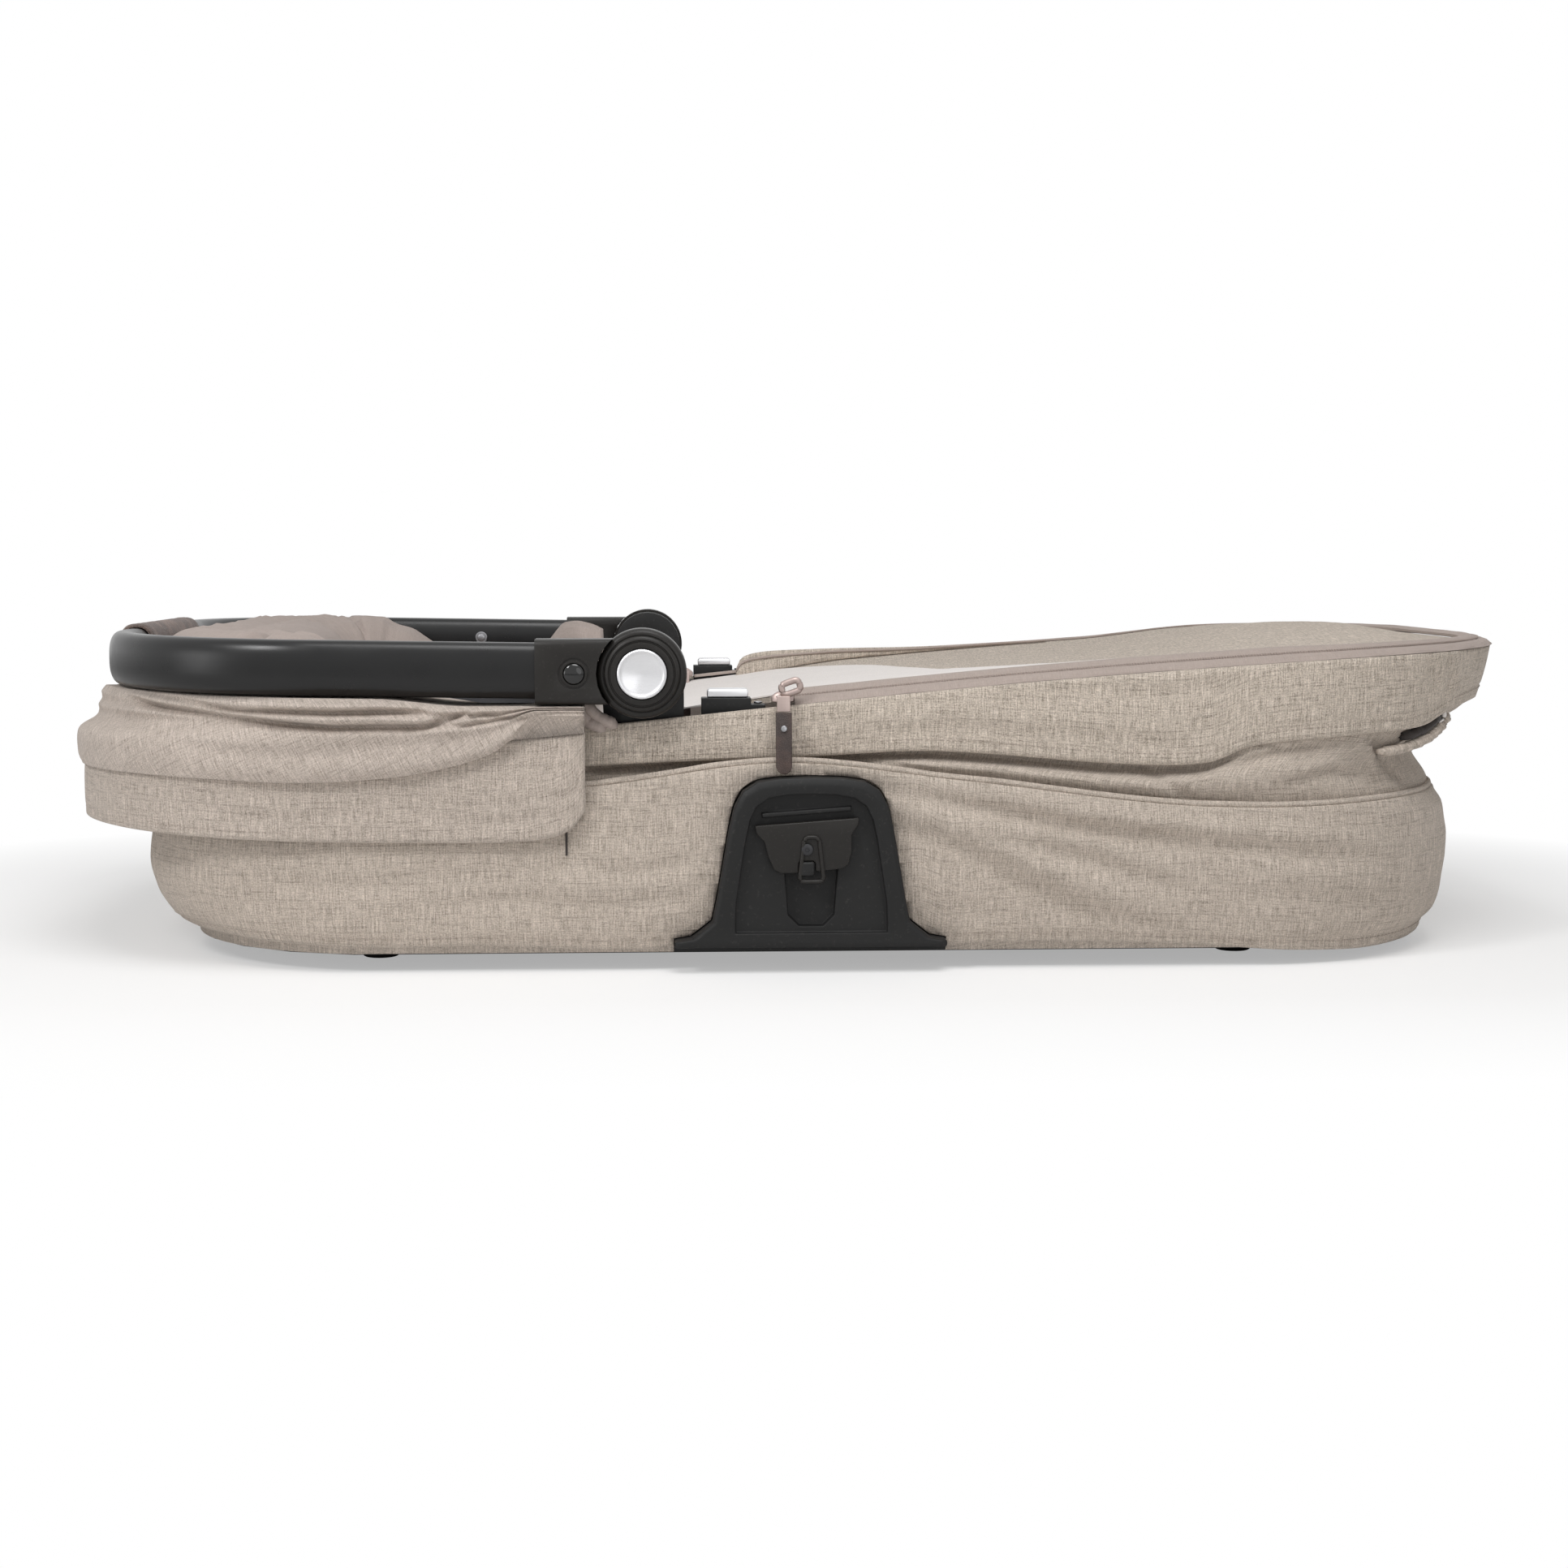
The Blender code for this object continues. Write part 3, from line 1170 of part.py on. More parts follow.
def make_sleeve(side):
    name = "handle_sleeve_" + SIDE_NAMES[side]
    low_z = SLEEVE_Z - SLEEVE_HEIGHT / 2
    high_z = SLEEVE_Z + SLEEVE_HEIGHT / 2
    inner_y = HUB_INNER_Y
    outer_y = SLEEVE_OUTER_Y
    edge = SLEEVE_EDGE
    corner = edge / 3
    section = [(inner_y, low_z + edge), (inner_y + corner, low_z + corner), (inner_y + edge, low_z)]
    section += [(outer_y - edge, low_z), (outer_y - corner, low_z + corner), (outer_y, low_z + edge)]
    section += [(outer_y, high_z - edge), (outer_y - corner, high_z - corner), (outer_y - edge, high_z)]
    section += [(inner_y + edge, high_z), (inner_y + corner, high_z - corner), (inner_y, high_z - edge)]
    stations = [[(x, side * y, z) for y, z in section] for x in (SLEEVE_END_X, HUB_X - HUB_RADIUS / 2)]
    sleeve = loft(name, stations, BLACK_PLASTIC, pivot=(HUB_X, side * inner_y, HUB_Z))
    hub = disc_outline(HUB_X, HUB_Z, HUB_RADIUS + GAP, HUB_STEPS)
    cutter = slab(name + "_hub", [(hub, inner_y - OVERRUN), (hub, outer_y + OVERRUN)], side, BLACK_PLASTIC)
    combine(sleeve, cutter, "DIFFERENCE")
    socket = []
    for x in (SLEEVE_END_X - OVERRUN, SLEEVE_END_X + TUBE_IN_SLEEVE + SOFT_GAP):
        place = (x, side * HANDLE_HALF_WIDTH, 0.0, side)
        socket.append(tube_section(place, SOFT_GAP, tube_z(x)))
    combine(sleeve, loft(name + "_socket", socket, BLACK_PLASTIC), "DIFFERENCE")
    well = outer_y - SLEEVE_BUTTON_WELL
    well_radius = SLEEVE_BUTTON_RADIUS + GAP
    well_end = outer_y + OVERRUN
    drill(sleeve, name + "_well", SLEEVE_BUTTON_X, SLEEVE_BUTTON_Z, well_radius, well, well_end, side, 20)
    centre = (SLEEVE_BUTTON_X, side * outer_y, SLEEVE_BUTTON_Z)
    groove = [(SLEEVE_RING_INNER, -SLEEVE_RING_DEPTH), (SLEEVE_RING_OUTER, -SLEEVE_RING_DEPTH)]
    groove += [(SLEEVE_RING_OUTER, OVERRUN), (SLEEVE_RING_INNER, OVERRUN)]
    combine(sleeve, turned(name + "_groove", centre, groove, side, 20, BLACK_PLASTIC), "DIFFERENCE")


def make_sleeve_button(side):
    centre = (SLEEVE_BUTTON_X, side * SLEEVE_OUTER_Y, SLEEVE_BUTTON_Z)
    back = SLEEVE_BUTTON_TRAVEL + SOFT_GAP - SLEEVE_BUTTON_WELL
    profile = [(0.0, back)]
    profile.append((SLEEVE_BUTTON_RADIUS, back))
    for i in range(3):
        angle = math.pi / 2 * i / 3
        profile.append((SLEEVE_BUTTON_RADIUS * math.cos(angle), SLEEVE_BUTTON_PROUD * math.sin(angle)))
    profile.append((0.0, SLEEVE_BUTTON_PROUD))
    turned("sleeve_button_" + SIDE_NAMES[side], centre, profile, side, 20, GLOSS_BLACK)


def make_handle():
    open_x = SLEEVE_END_X + TUBE_IN_SLEEVE
    plan = horseshoe(HANDLE_END_X, open_x, HANDLE_HALF_WIDTH, HANDLE_CORNER, 6)
    stations = [tube_section(place, 0.0, tube_z(place[0])) for place in plan]
    loft("handle_tube", stations, BLACK_TUBE, pivot=(HUB_X, 0.0, HUB_Z))


def make_grip():
    mesh_data = bmesh.new()
    rings = []
    for grow in (SOFT_GAP, SOFT_GAP + GRIP_THICK):
        row = []
        for i in range(GRIP_STEPS + 1):
            y = GRIP_HALF_LENGTH * (2 * i / GRIP_STEPS - 1)
            place = (HANDLE_END_X, y, -1.0, 0.0)
            section = tube_section(place, grow, tube_z(HANDLE_END_X))
            row.append([mesh_data.verts.new(point) for point in section])
        rings.append(row)
    path = rings[0] + rings[1][::-1]
    for ring, following in zip(path, path[1:] + path[:1]):
        for i in range(TUBE_STEPS):
            j = (i + 1) % TUBE_STEPS
            mesh_data.faces.new((ring[i], ring[j], following[j], following[i]))
    place_mesh("leather_grip", mesh_data, GRIP_LEATHER, (HUB_X, 0.0, HUB_Z))


def make_press_stud():
    """Stud on the inner face of the far tube."""
    profile = [(0.0, -GAP), (STUD_RADIUS, -GAP), (STUD_RADIUS, -STUD_THICK / 2)]
    profile += [(STUD_RADIUS / 2, -STUD_THICK), (0.0, -STUD_THICK)]
    centre = (STUD_X, HANDLE_HALF_WIDTH - TUBE_HALF_THICK, STUD_Z)
    turned("press_stud", centre, profile, FAR, 12, STEEL)


def make_latch(side):
    side_name = SIDE_NAMES[side]
    base = [(LATCH_BASE_HEAD_X, rail_top(LATCH_BASE_HEAD_X) + GAP)]
    base += [(LATCH_X, rail_top(LATCH_X) + GAP), (LATCH_BASE_FOOT_X, rail_top(LATCH_BASE_FOOT_X) + GAP)]
    base += [(LATCH_BASE_FOOT_X, LATCH_TAB_Z), (LATCH_TAB_X, LATCH_TAB_Z)]
    base += [(LATCH_TAB_X, LATCH_LOW_Z - GAP), (LATCH_BASE_HEAD_X, LATCH_LOW_Z - GAP)]
    outer_y = LATCH_BASE_INNER_Y + LATCH_BASE_WIDTH
    slab("latch_base_" + side_name, [(base, LATCH_BASE_INNER_Y), (base, outer_y)], side, BLACK_PLASTIC)
    low_x = LATCH_X - LATCH_HALF_LENGTH
    high_x = LATCH_X + LATCH_HALF_LENGTH
    low_y = LATCH_INNER_Y
    high_y = LATCH_INNER_Y + LATCH_WIDTH
    stations = []
    for inset, z in ((0.0, 0.0), (0.0, LATCH_HEIGHT - LATCH_EDGE), (LATCH_EDGE, LATCH_HEIGHT)):
        corners = [(low_x + inset, low_y + inset), (high_x - inset, low_y + inset)]
        corners += [(high_x - inset, high_y - inset), (low_x + inset, high_y - inset)]
        stations.append([(x, side * y, LATCH_LOW_Z + z) for x, y in corners])
    pivot = (LATCH_X, side * (low_y + high_y) / 2, LATCH_LOW_Z)
    loft("fold_release_" + side_name, stations, SILVER, pivot=pivot)


def make_rail_screw(side):
    ring = disc_outline(RAIL_SCREW_X, side * RIM_HALF_WIDTH, RAIL_SCREW_RADIUS, 12)
    levels = (LATCH_TAB_Z + GAP, LATCH_TAB_Z + RAIL_SCREW_HEAD)
    stations = [[(x, y, z) for x, y in ring] for z in levels]
    loft("rail_screw_" + SIDE_NAMES[side], stations, STEEL)


def make_zip_pull(side):
    """Slider, swinging puller and leather strap; the near set hangs outside, the far set inside."""
    side_name = SIDE_NAMES[side]
    near = side == NEAR
    head_x = ZIP_NEAR_X - GAP - SLIDER_LENGTH if near else FAR_SLIDER_X - SLIDER_LENGTH / 2
    inner_y = SLIDER_INNER_Y if near else FAR_SLIDER_INNER_Y
    strap_way = 1 if near else -1
    low_z = rim_line(head_x + SLIDER_LENGTH) + SLIDER_LIFT
    stations = []
    for i in range(SLIDER_STEPS + 1):
        share = i / SLIDER_STEPS
        swell = math.sin(math.pi * (share * 2 / 3 + 1 / 6))
        half = SLIDER_WIDTH / 2 * swell
        middle = inner_y + SLIDER_WIDTH / 2
        top_z = low_z + SLIDER_HEIGHT * swell
        x = head_x + SLIDER_LENGTH * share
        corners = [(middle - half, low_z), (middle + half, low_z)]
        corners += [(middle + half / 2, top_z), (middle - half / 2, top_z)]
        stations.append([(x, side * y, z) for y, z in corners])
    loft("zip_slider_" + side_name, stations, ZIP_PINK)
    middle_x = head_x + SLIDER_LENGTH / 2
    top_y = STRAP_TOP_Y if near else FAR_STRAP_TOP_Y
    hook_y = inner_y + SLIDER_WIDTH * (1 / 2 + strap_way * HOOK_SHARE)
    hook_z = low_z + SLIDER_HEIGHT / 2
    pivot = (middle_x, side * hook_y, hook_z)
    strap_top_z = hook_z - PULLER_DROP

    def hanging(z, out):
        return side * (top_y + ((hook_z - z) * STRAP_LEAN_SHARE + out) * strap_way)

    bar_top = hook_z + PULLER_THICK / 2
    bar_low = hook_z - PULLER_THICK / 2
    hook = [(side * hook_y, bar_top), (hanging(bar_top, PULLER_THICK), bar_top)]
    hook += [(hanging(strap_top_z, PULLER_THICK), strap_top_z + GAP)]
    hook += [(hanging(strap_top_z, 0.0), strap_top_z + GAP)]
    hook += [(hanging(bar_low, 0.0), bar_low), (side * hook_y, bar_low)]
    edges = (middle_x - PULLER_HALF_WIDTH, middle_x + PULLER_HALF_WIDTH)
    loft("zip_puller_" + side_name, [[(x, y, z) for y, z in hook] for x in edges], ZIP_PINK, pivot=pivot)
    half = STRAP_HALF_WIDTH
    low_z = strap_top_z - STRAP_LENGTH
    outline = [(middle_x + half, low_z + half), (middle_x + half, strap_top_z)]
    outline.append((middle_x - half, strap_top_z))
    for i in range(STRAP_END_STEPS):
        angle = math.pi + math.pi * i / STRAP_END_STEPS
        outline.append((middle_x + half * math.cos(angle), low_z + half + half * math.sin(angle)))
    strap = [[(x, hanging(z, out), z) for x, z in outline] for out in (0.0, STRAP_THICK)]
    loft("zip_strap_" + side_name, strap, LEATHER, pivot=pivot)
    if near:
        ring = disc_outline(middle_x, strap_top_z - RIVET_DROP, RIVET_RADIUS, 10)
        levels = (STRAP_THICK + GAP, STRAP_THICK + GAP + RIVET_HEAD)
        rivet = [[(x, hanging(z, out), z) for x, z in ring] for out in levels]
        loft("strap_rivet", rivet, STEEL, pivot=pivot)


def hood_share(place):
    """Share of the hood's length from its open end, for a plan place."""
    return (HOOD_OPEN_X - place[0]) / (HOOD_OPEN_X - HOOD_HEAD_X)


def make_hood_skirt():
    plan = horseshoe(HOOD_HEAD_X, HOOD_OPEN_X, HOOD_HALF_WIDTH, HOOD_CORNER)
    rim = horseshoe(RIM_HEAD_X, HOOD_OPEN_X, RIM_HALF_WIDTH, RIM_CORNER)
    seat = VALANCE_INNER + VALANCE_THICK + VALANCE_BULGE + SOFT_GAP
    stations = []
    for place, rim_place in zip(plan, rim):
        low_z = HOOD_HEIGHT * along(SKIRT_LOW_SHARES, hood_share(place))
        top_z = rim_line(rim_place[0]) - SKIRT_TOP_DROP
        under_z = top_z - SKIRT_FLANGE
        middle_z = (low_z + under_z) / 2
        section = [at(place, 0.0, low_z), at(place, SKIRT_THICK, low_z)]
        section += [at(place, SKIRT_THICK + SKIRT_BULGE, middle_z), at(place, SKIRT_THICK, top_z)]
        section += [at(rim_place, seat, top_z), at(rim_place, seat, under_z), at(place, 0.0, under_z)]
        stations.append(section)
    loft("hood_skirt", stations, LINEN)


def shell_top(x):
    """Height just under the handle, for the folded hood's top."""
    if x > SLEEVE_END_X - SLEEVE_HEIGHT:
        return SLEEVE_Z - SLEEVE_HEIGHT / 2 - SHELL_TOP_GAP
    return tube_z(x) - TUBE_HALF_HEIGHT - SHELL_TOP_GAP


def at_grip(place):
    """1 where a plan place lies by the leather grip at the head end, 0 away from it."""
    return 1 - blend_value(GRIP_HALF_LENGTH, GRIP_HALF_LENGTH * 5 / 3, abs(place[1]))


def make_hood_shell():
    plan = horseshoe(HOOD_HEAD_X, HOOD_OPEN_X, HOOD_HALF_WIDTH, HOOD_CORNER)
    stations = []
    for place in plan:
        edge_z = HOOD_HEIGHT * along(LOBE_LOW_SHARES, hood_share(place))
        over_rim = []
        for out in (-SHELL_INWARD, -SHELL_INWARD / 2, 0.0, LOBE_INNER):
            x, y, _ = at(place, out, 0.0)
            over_rim.append((x, y, rim_line(x) + SHELL_OVER_RIM))
        inner_edge_z = min(edge_z, rim_line(place[0]) - SKIRT_TOP_DROP)
        top_z = shell_top(place[0]) - SHELL_GRIP_DROP * at_grip(place)
        bulge = LOBE_SIDE_BULGE + LOBE_END_BULGE * abs(place[2])
        section = list(over_rim)
        section.append(at(place, LOBE_INNER, inner_edge_z))
        for (side_share, height_share), (end_share, _) in zip(LOBE_FOLD_SHARES, LOBE_END_FOLD_SHARES):
            fold = side_share + (end_share - side_share) * abs(place[2])
            section.append(at(place, bulge * fold, edge_z + (top_z - edge_z) * height_share))
        inner_x, inner_y, _ = at(place, -SHELL_INWARD, 0.0)
        section.append((inner_x, inner_y, shell_top(inner_x) - SHELL_GRIP_DROP * at_grip(place)))
        stations.append(section)
    loft("hood_shell", stations, LINEN)


def bow_lift(x):
    """Underside of the hood bow's flat strip, which lies on the folded hood."""
    return shell_top(x) + GAP


def make_hood_bow():
    inner_y = HANDLE_HALF_WIDTH - BOW_INSET
    plan = horseshoe(HANDLE_END_X + BOW_INSET, BOW_TURN_X, inner_y, HANDLE_CORNER - BOW_INSET, 6)
    stations = []

    def bar(place, half_width, low_z, height):
        high_z = low_z + height
        corners = ((-half_width, low_z), (half_width, low_z), (half_width, high_z), (-half_width, high_z))
        return [at(place, out, z) for out, z in corners]

    def leg(side):
        rows = []
        for i in range(1, BOW_LEG_STEPS + 1):
            share = i / BOW_LEG_STEPS
            turn = blend_value(0.0, 1.0, min(1.0, share * 2))
            x = BOW_TURN_X + (BOW_EYE_X - BOW_TURN_X) * share
            leg_y = BOW_LEG_Y + BOW_THICK / 2
            y = inner_y + (leg_y - inner_y) * turn
            half = (BOW_WIDTH + (BOW_THICK - BOW_WIDTH) * turn) / 2
            height = BOW_THICK + (BOW_LEG_HEIGHT - BOW_THICK) * turn
            lift = (HUB_Z - BOW_LEG_HEIGHT / 2 - bow_lift(BOW_TURN_X)) * blend_value(0.0, 1.0, share)
            rows.append(bar((x, side * y, 0.0, side), half, bow_lift(BOW_TURN_X) + lift, height))
        return rows

    stations += leg(NEAR)[::-1]
    for place in plan:
        stations.append(bar(place, BOW_WIDTH / 2, bow_lift(place[0]), BOW_THICK))
    stations += leg(FAR)
    bow = loft("hood_bow", stations, STEEL, pivot=(HUB_X, 0.0, HUB_Z))
    for side in (NEAR, FAR):
        name = "bow_eye_" + SIDE_NAMES[side]
        eye = disc_outline(HUB_X, HUB_Z, BOW_EYE_RADIUS, 20)
        outer_y = BOW_LEG_Y + BOW_THICK
        combine(bow, slab(name, [(eye, BOW_LEG_Y), (eye, outer_y)], side, STEEL), "UNION")
        bore = SHAFT_RADIUS + GAP
        bore_start = BOW_LEG_Y - OVERRUN
        drill(bow, name + "_bore", HUB_X, HUB_Z, bore, bore_start, outer_y + OVERRUN, side, HUB_STEPS)


def make_hood_lining():
    plan = horseshoe(HANDLE_END_X, LINING_OPEN_X, HANDLE_HALF_WIDTH, HANDLE_CORNER)
    stations = []
    for place in plan:
        share = (LINING_OPEN_X - place[0]) / (LINING_OPEN_X - HANDLE_END_X)
        at_sleeve = 1 - blend_value(0.0, SLEEVE_HEIGHT / 3, SLEEVE_END_X - SLEEVE_HEIGHT / 6 - place[0])
        outer = -TUBE_HALF_THICK - LINING_OUTER_INSET - LINING_SLEEVE_INSET * at_sleeve
        leg_end = 1 - blend_value(SLEEVE_HEIGHT / 3, SLEEVE_HEIGHT, LINING_OPEN_X - place[0])
        outer -= (HUB_INNER_Y - BOW_LEG_Y) * leg_end + SHELL_GRIP_DROP * at_grip(place)
        reach = LINING_REACH * along(LINING_REACH_SHARES, share)
        rise = LINING_RISE * along(LINING_RISE_SHARES, share)
        base_z = bow_lift(place[0] - SLEEVE_HEIGHT) + BOW_THICK + LINING_BOW_ROOM
        section = [at(place, outer, base_z)]
        for reach_share, rise_share in LINING_CROWN_SHARES:
            section.append(at(place, outer - reach * reach_share, base_z + rise * rise_share))
        for reach_share, rise_share in LINING_UNDER_SHARES:
            section.append(at(place, outer - reach * reach_share, base_z + LINING_BOW_ROOM * rise_share))
        stations.append(section)
    loft("hood_lining", stations, LINEN_LINING)


def main():
    clear_scene()
    make_base_board()
    make_feet()
    make_tub()
    make_piping()
    make_wall()
    make_liner()
    make_mattress()
    make_rim()
    make_valance()
    make_zip_binding()
    make_apron()
    make_adapter_screws()
    for side in (NEAR, FAR):
        side_name = SIDE_NAMES[side]
        make_side_bracket(side)
        make_strut("lower_strut_" + side_name, STRUT_LOW_Z, LOWER_STRUT_Y, side)
        make_strut("upper_strut_" + side_name, STRUT_HIGH_Z, UPPER_STRUT_Y, side)
        make_shroud(side)
        make_adapter_bracket(side)
        make_hub_mount(side)
        make_hub(side)
        make_sleeve(side)
        make_sleeve_button(side)
        make_latch(side)
        make_rail_screw(side)
        make_zip_pull(side)
    make_handle()
    make_grip()
    make_press_stud()
    make_hood_skirt()
    make_hood_shell()
    make_hood_bow()
    make_hood_lining()


main()
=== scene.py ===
import math

import bmesh
import bpy
from mathutils import Matrix, Vector, noise


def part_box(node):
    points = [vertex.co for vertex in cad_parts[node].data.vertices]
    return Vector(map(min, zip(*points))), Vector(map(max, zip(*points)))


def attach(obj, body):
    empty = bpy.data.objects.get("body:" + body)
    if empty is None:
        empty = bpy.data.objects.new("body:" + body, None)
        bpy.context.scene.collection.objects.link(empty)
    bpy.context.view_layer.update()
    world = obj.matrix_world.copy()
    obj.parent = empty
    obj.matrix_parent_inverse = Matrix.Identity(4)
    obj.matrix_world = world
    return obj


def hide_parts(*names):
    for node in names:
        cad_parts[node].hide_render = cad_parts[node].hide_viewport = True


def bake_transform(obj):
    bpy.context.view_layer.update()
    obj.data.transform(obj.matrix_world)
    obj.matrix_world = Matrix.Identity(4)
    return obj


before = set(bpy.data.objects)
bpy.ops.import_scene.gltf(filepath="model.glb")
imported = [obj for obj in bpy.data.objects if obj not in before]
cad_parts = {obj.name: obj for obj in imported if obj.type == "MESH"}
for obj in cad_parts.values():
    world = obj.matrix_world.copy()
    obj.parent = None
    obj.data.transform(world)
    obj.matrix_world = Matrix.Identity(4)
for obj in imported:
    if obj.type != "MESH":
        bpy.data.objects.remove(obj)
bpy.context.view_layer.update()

# The folding carrycot's looks: linen covers, pale lining, padded mattress, moulded and metal fittings.
MM = 0.001
SIDES = (("near", -1), ("far", 1))

# Sizes that the covers share with the frame
RIM_HALF_WIDTH = 0.188
RIM_HEAD_X, RIM_FOOT_X, RIM_CORNER = -0.3878, 0.4018, 0.134
RIM_WIDTH, RIM_DEPTH, RIM_HEIGHT, RAIL_DROP = 0.012, 0.011, 0.1675, 0.002
TUB_HEAD_X, TUB_FOOT_X, TUB_HALF_WIDTH, TUB_CORNER = -0.3743, 0.3845, 0.2135, 0.130
TUB_WALL, TUB_BOTTOM_Z, TUB_HEIGHT = 0.009, 0.014, 0.1144
TUB_SIDE_LEAN, TUB_HEAD_LEAN, TUB_FOOT_LEAN = 0.004, 0.020, 0.011
PIPING_RADIUS, PIPING_INSET = 0.0018, 0.003
SHROUD_X, SHROUD_BACK_Y, SHROUD_FRONT_Y = 0.0022, 0.2005, 0.2215
SHROUD_BOTTOM_Z, SHROUD_FLARE_Z, SHROUD_LOW_Z, SHROUD_TOP_Z = 0.0142, 0.0175, 0.024, 0.106
SHROUD_HALF_TOP, SHROUD_HALF_LOW, SHROUD_HALF_FLARE, SHROUD_SHOULDER = 0.041, 0.0555, 0.0735, 0.0018
VALANCE_INNER, VALANCE_THICK, VALANCE_BULGE, VALANCE_FOOT_TUCK = 0.0125, 0.003, 0.0008, 0.008
HUB_X, HUB_Z, HUB_INNER_Y, HUB_DEPTH, HUB_RADIUS = -0.0882, 0.1617, 0.2005, 0.0222, 0.024
BUTTON_RADIUS, BUTTON_PROUD, BUTTON_DISH, BUTTON_WELL = 0.0133, 0.0018, 0.0026, 0.0102
HANDLE_END_X, HANDLE_HALF_WIDTH, HANDLE_CORNER = -0.3848, 0.2125, 0.122
TUBE_HALF_THICK, TUBE_HALF_HEIGHT, TUBE_SQUARE_SHARE = 0.0085, 0.015, 0.72
SLEEVE_END_X, SLEEVE_TUBE_Z, TUBE_SLOPE_SHARE = -0.1448, 0.1632, 0.0145
SLEEVE_Z, SLEEVE_HEIGHT, SLEEVE_OUTER_Y = 0.16275, 0.0347, 0.2235
HOOD_HEAD_X, HOOD_HALF_WIDTH, HOOD_CORNER, HOOD_OPEN_X, HOOD_HEIGHT = -0.4098, 0.2148, 0.150, -0.1188, 0.1476
ZIP_NEAR_X, ZIP_FAR_X, ZIP_RISE = -0.0058, -0.0558, 0.0068

# Curves as (share of the length, share of the height)
TUB_PROFILE_SHARES = ((0.0, 1.0), (0.08, 0.6), (0.24, 0.22), (0.52, 0.0), (0.8, 0.08), (1.0, 0.25))
TUB_TOP_SHARES = ((0.0, 0.77), (0.17, 0.84), (0.3395, 0.893), (0.474, 1.0), (0.607, 0.912), (0.778, 0.785),
                  (0.96, 0.8), (1.0, 0.813))
RIM_LINE_SHARES = ((0.0, 0.657), (0.18, 0.725), (0.349, 0.796), (0.482, 0.859), (0.664, 0.938),
                   (0.877, 1.008), (1.0, 1.031))
VALANCE_LOW_SHARES = ((0.0, 0.555), (0.18, 0.61), (0.349, 0.667), (0.495, 0.693), (0.5795, 0.71),
                      (0.714, 0.665), (0.77, 0.669), (0.801, 0.722), (0.877, 0.757), (0.925, 0.775),
                      (0.952, 0.826), (1.0, 0.85))
SHROUD_ARCH_SHARES = ((1.3, 0.117), (1.235, 0.264), (1.15, 0.496), (1.08, 0.685), (1.01, 0.821),
                      (0.9, 0.916), (0.7, 0.974), (0.4, 0.995), (0.0, 1.0))
SKIRT_LOW_SHARES = ((0.0, 0.60), (0.03, 0.53), (0.10, 0.494), (0.33, 0.489), (0.64, 0.501), (1.0, 0.52))
LOBE_LOW_SHARES = ((0.0, 0.975), (0.0725, 0.955), (0.1027, 0.925), (0.133, 0.862), (0.176, 0.805),
                   (0.287, 0.745), (0.415, 0.7154), (0.542, 0.7087), (0.669, 0.716), (0.812, 0.722),
                   (1.0, 0.72))
# The hood shell's section as (reach at the side, reach at the head end, height)
LOBE_FOLD_SHARES = ((0.72, 0.72, 0.0), (0.96, 0.96, 0.14), (0.90, 0.94, 0.44), (1.0, -0.35, 0.60),
                    (0.72, -0.62, 0.68), (0.95, -0.60, 0.76), (0.66, -0.88, 0.84), (0.84, -0.85, 0.92),
                    (0.45, -1.15, 1.0))
ZIP_LINE_SHARES = ((0.0, 0.0), (0.14, 0.55), (0.3, 0.75), (0.46, 0.62), (0.56, 0.95), (0.70, 1.12),
                   (0.84, 0.95), (1.0, 0.55))
LINING_REACH_SHARES = ((0.0, 0.54), (0.13, 0.54), (0.19, 0.3), (0.34, 0.36), (0.48, 0.8), (0.7, 0.95),
                       (1.0, 1.0))
LINING_RISE_SHARES = ((0.0, 0.62), (0.04, 0.74), (0.10, 0.74), (0.135, 0.56), (0.19, 0.14), (0.34, 0.12),
                      (0.42, 0.3), (0.50, 0.74), (0.60, 1.0), (1.0, 1.0))
LINING_CROWN_SHARES = ((0.0, 0.3), (0.12, 0.72), (0.32, 1.0), (0.52, 0.9), (0.66, 0.97), (0.84, 0.72),
                       (0.97, 0.3))
MATTRESS_SHARES = ((0.0, 0.55), (0.12, 0.12), (0.3, 0.0), (0.62, 0.0), (0.84, 0.3), (0.96, 1.0), (1.0, 2.6))
HUB_RINGS = ((1.0, 0.0), (1.0, 0.72), (0.99, 0.775), (0.965, 0.82), (0.935, 0.85), (0.90, 0.868),
             (0.868, 0.872), (0.862, 0.842), (0.848, 0.842), (0.840, 0.905), (0.825, 0.945), (0.795, 0.972),
             (0.75, 0.985), (0.735, 0.955), (0.715, 0.955), (0.700, 0.988), (0.66, 0.995))

# Lines in millimetres: the seam above the tub's lower edge, the opening's far edge and its band's top
TUB_HEM_LINE = ((-380, 20.5), (-333, 20), (-317, 19.4), (-287, 18.8), (-262, 18.2), (-217, 17.5),
                (-167, 18.1), (-129, 16.3), (-91, 15.4), (-66, 17.0), (0, 18), (61, 21.5), (74, 17.2),
                (106, 18.3), (158, 17.9), (210, 16.2), (250, 13.2), (289, 11.2), (323, 10.2), (390, 12))
OPENING_FAR_EDGE = ((-86, 176), (-40, 176), (-22, 172), (0, 165), (30, 135), (59, 98), (80, 30), (99, -40),
                    (139, -104), (160, -140), (181, -176))
BAND_TOP_LINE = ((-27, 145), (-25, 150), (-21, 153.6), (-11, 156.2), (5, 157.6), (26, 158.2), (54, 158.7),
                 (100, 159.6), (154, 162.4), (190, 164.6))
# Lines in millimetres of the foot-end cuff, of the dark tube that is painted shade in the gap behind it, and
# of the zip's end
CUFF_LINE = ((316, 116), (326, 116.5), (338, 119), (350, 123), (358, 128), (363, 135))
GAP_LINE = ((330, 123), (342, 126), (352, 130.5), (359, 136.5))
ZIP_END_LINE = ((357.5, 130.5), (359.0, 137.0))
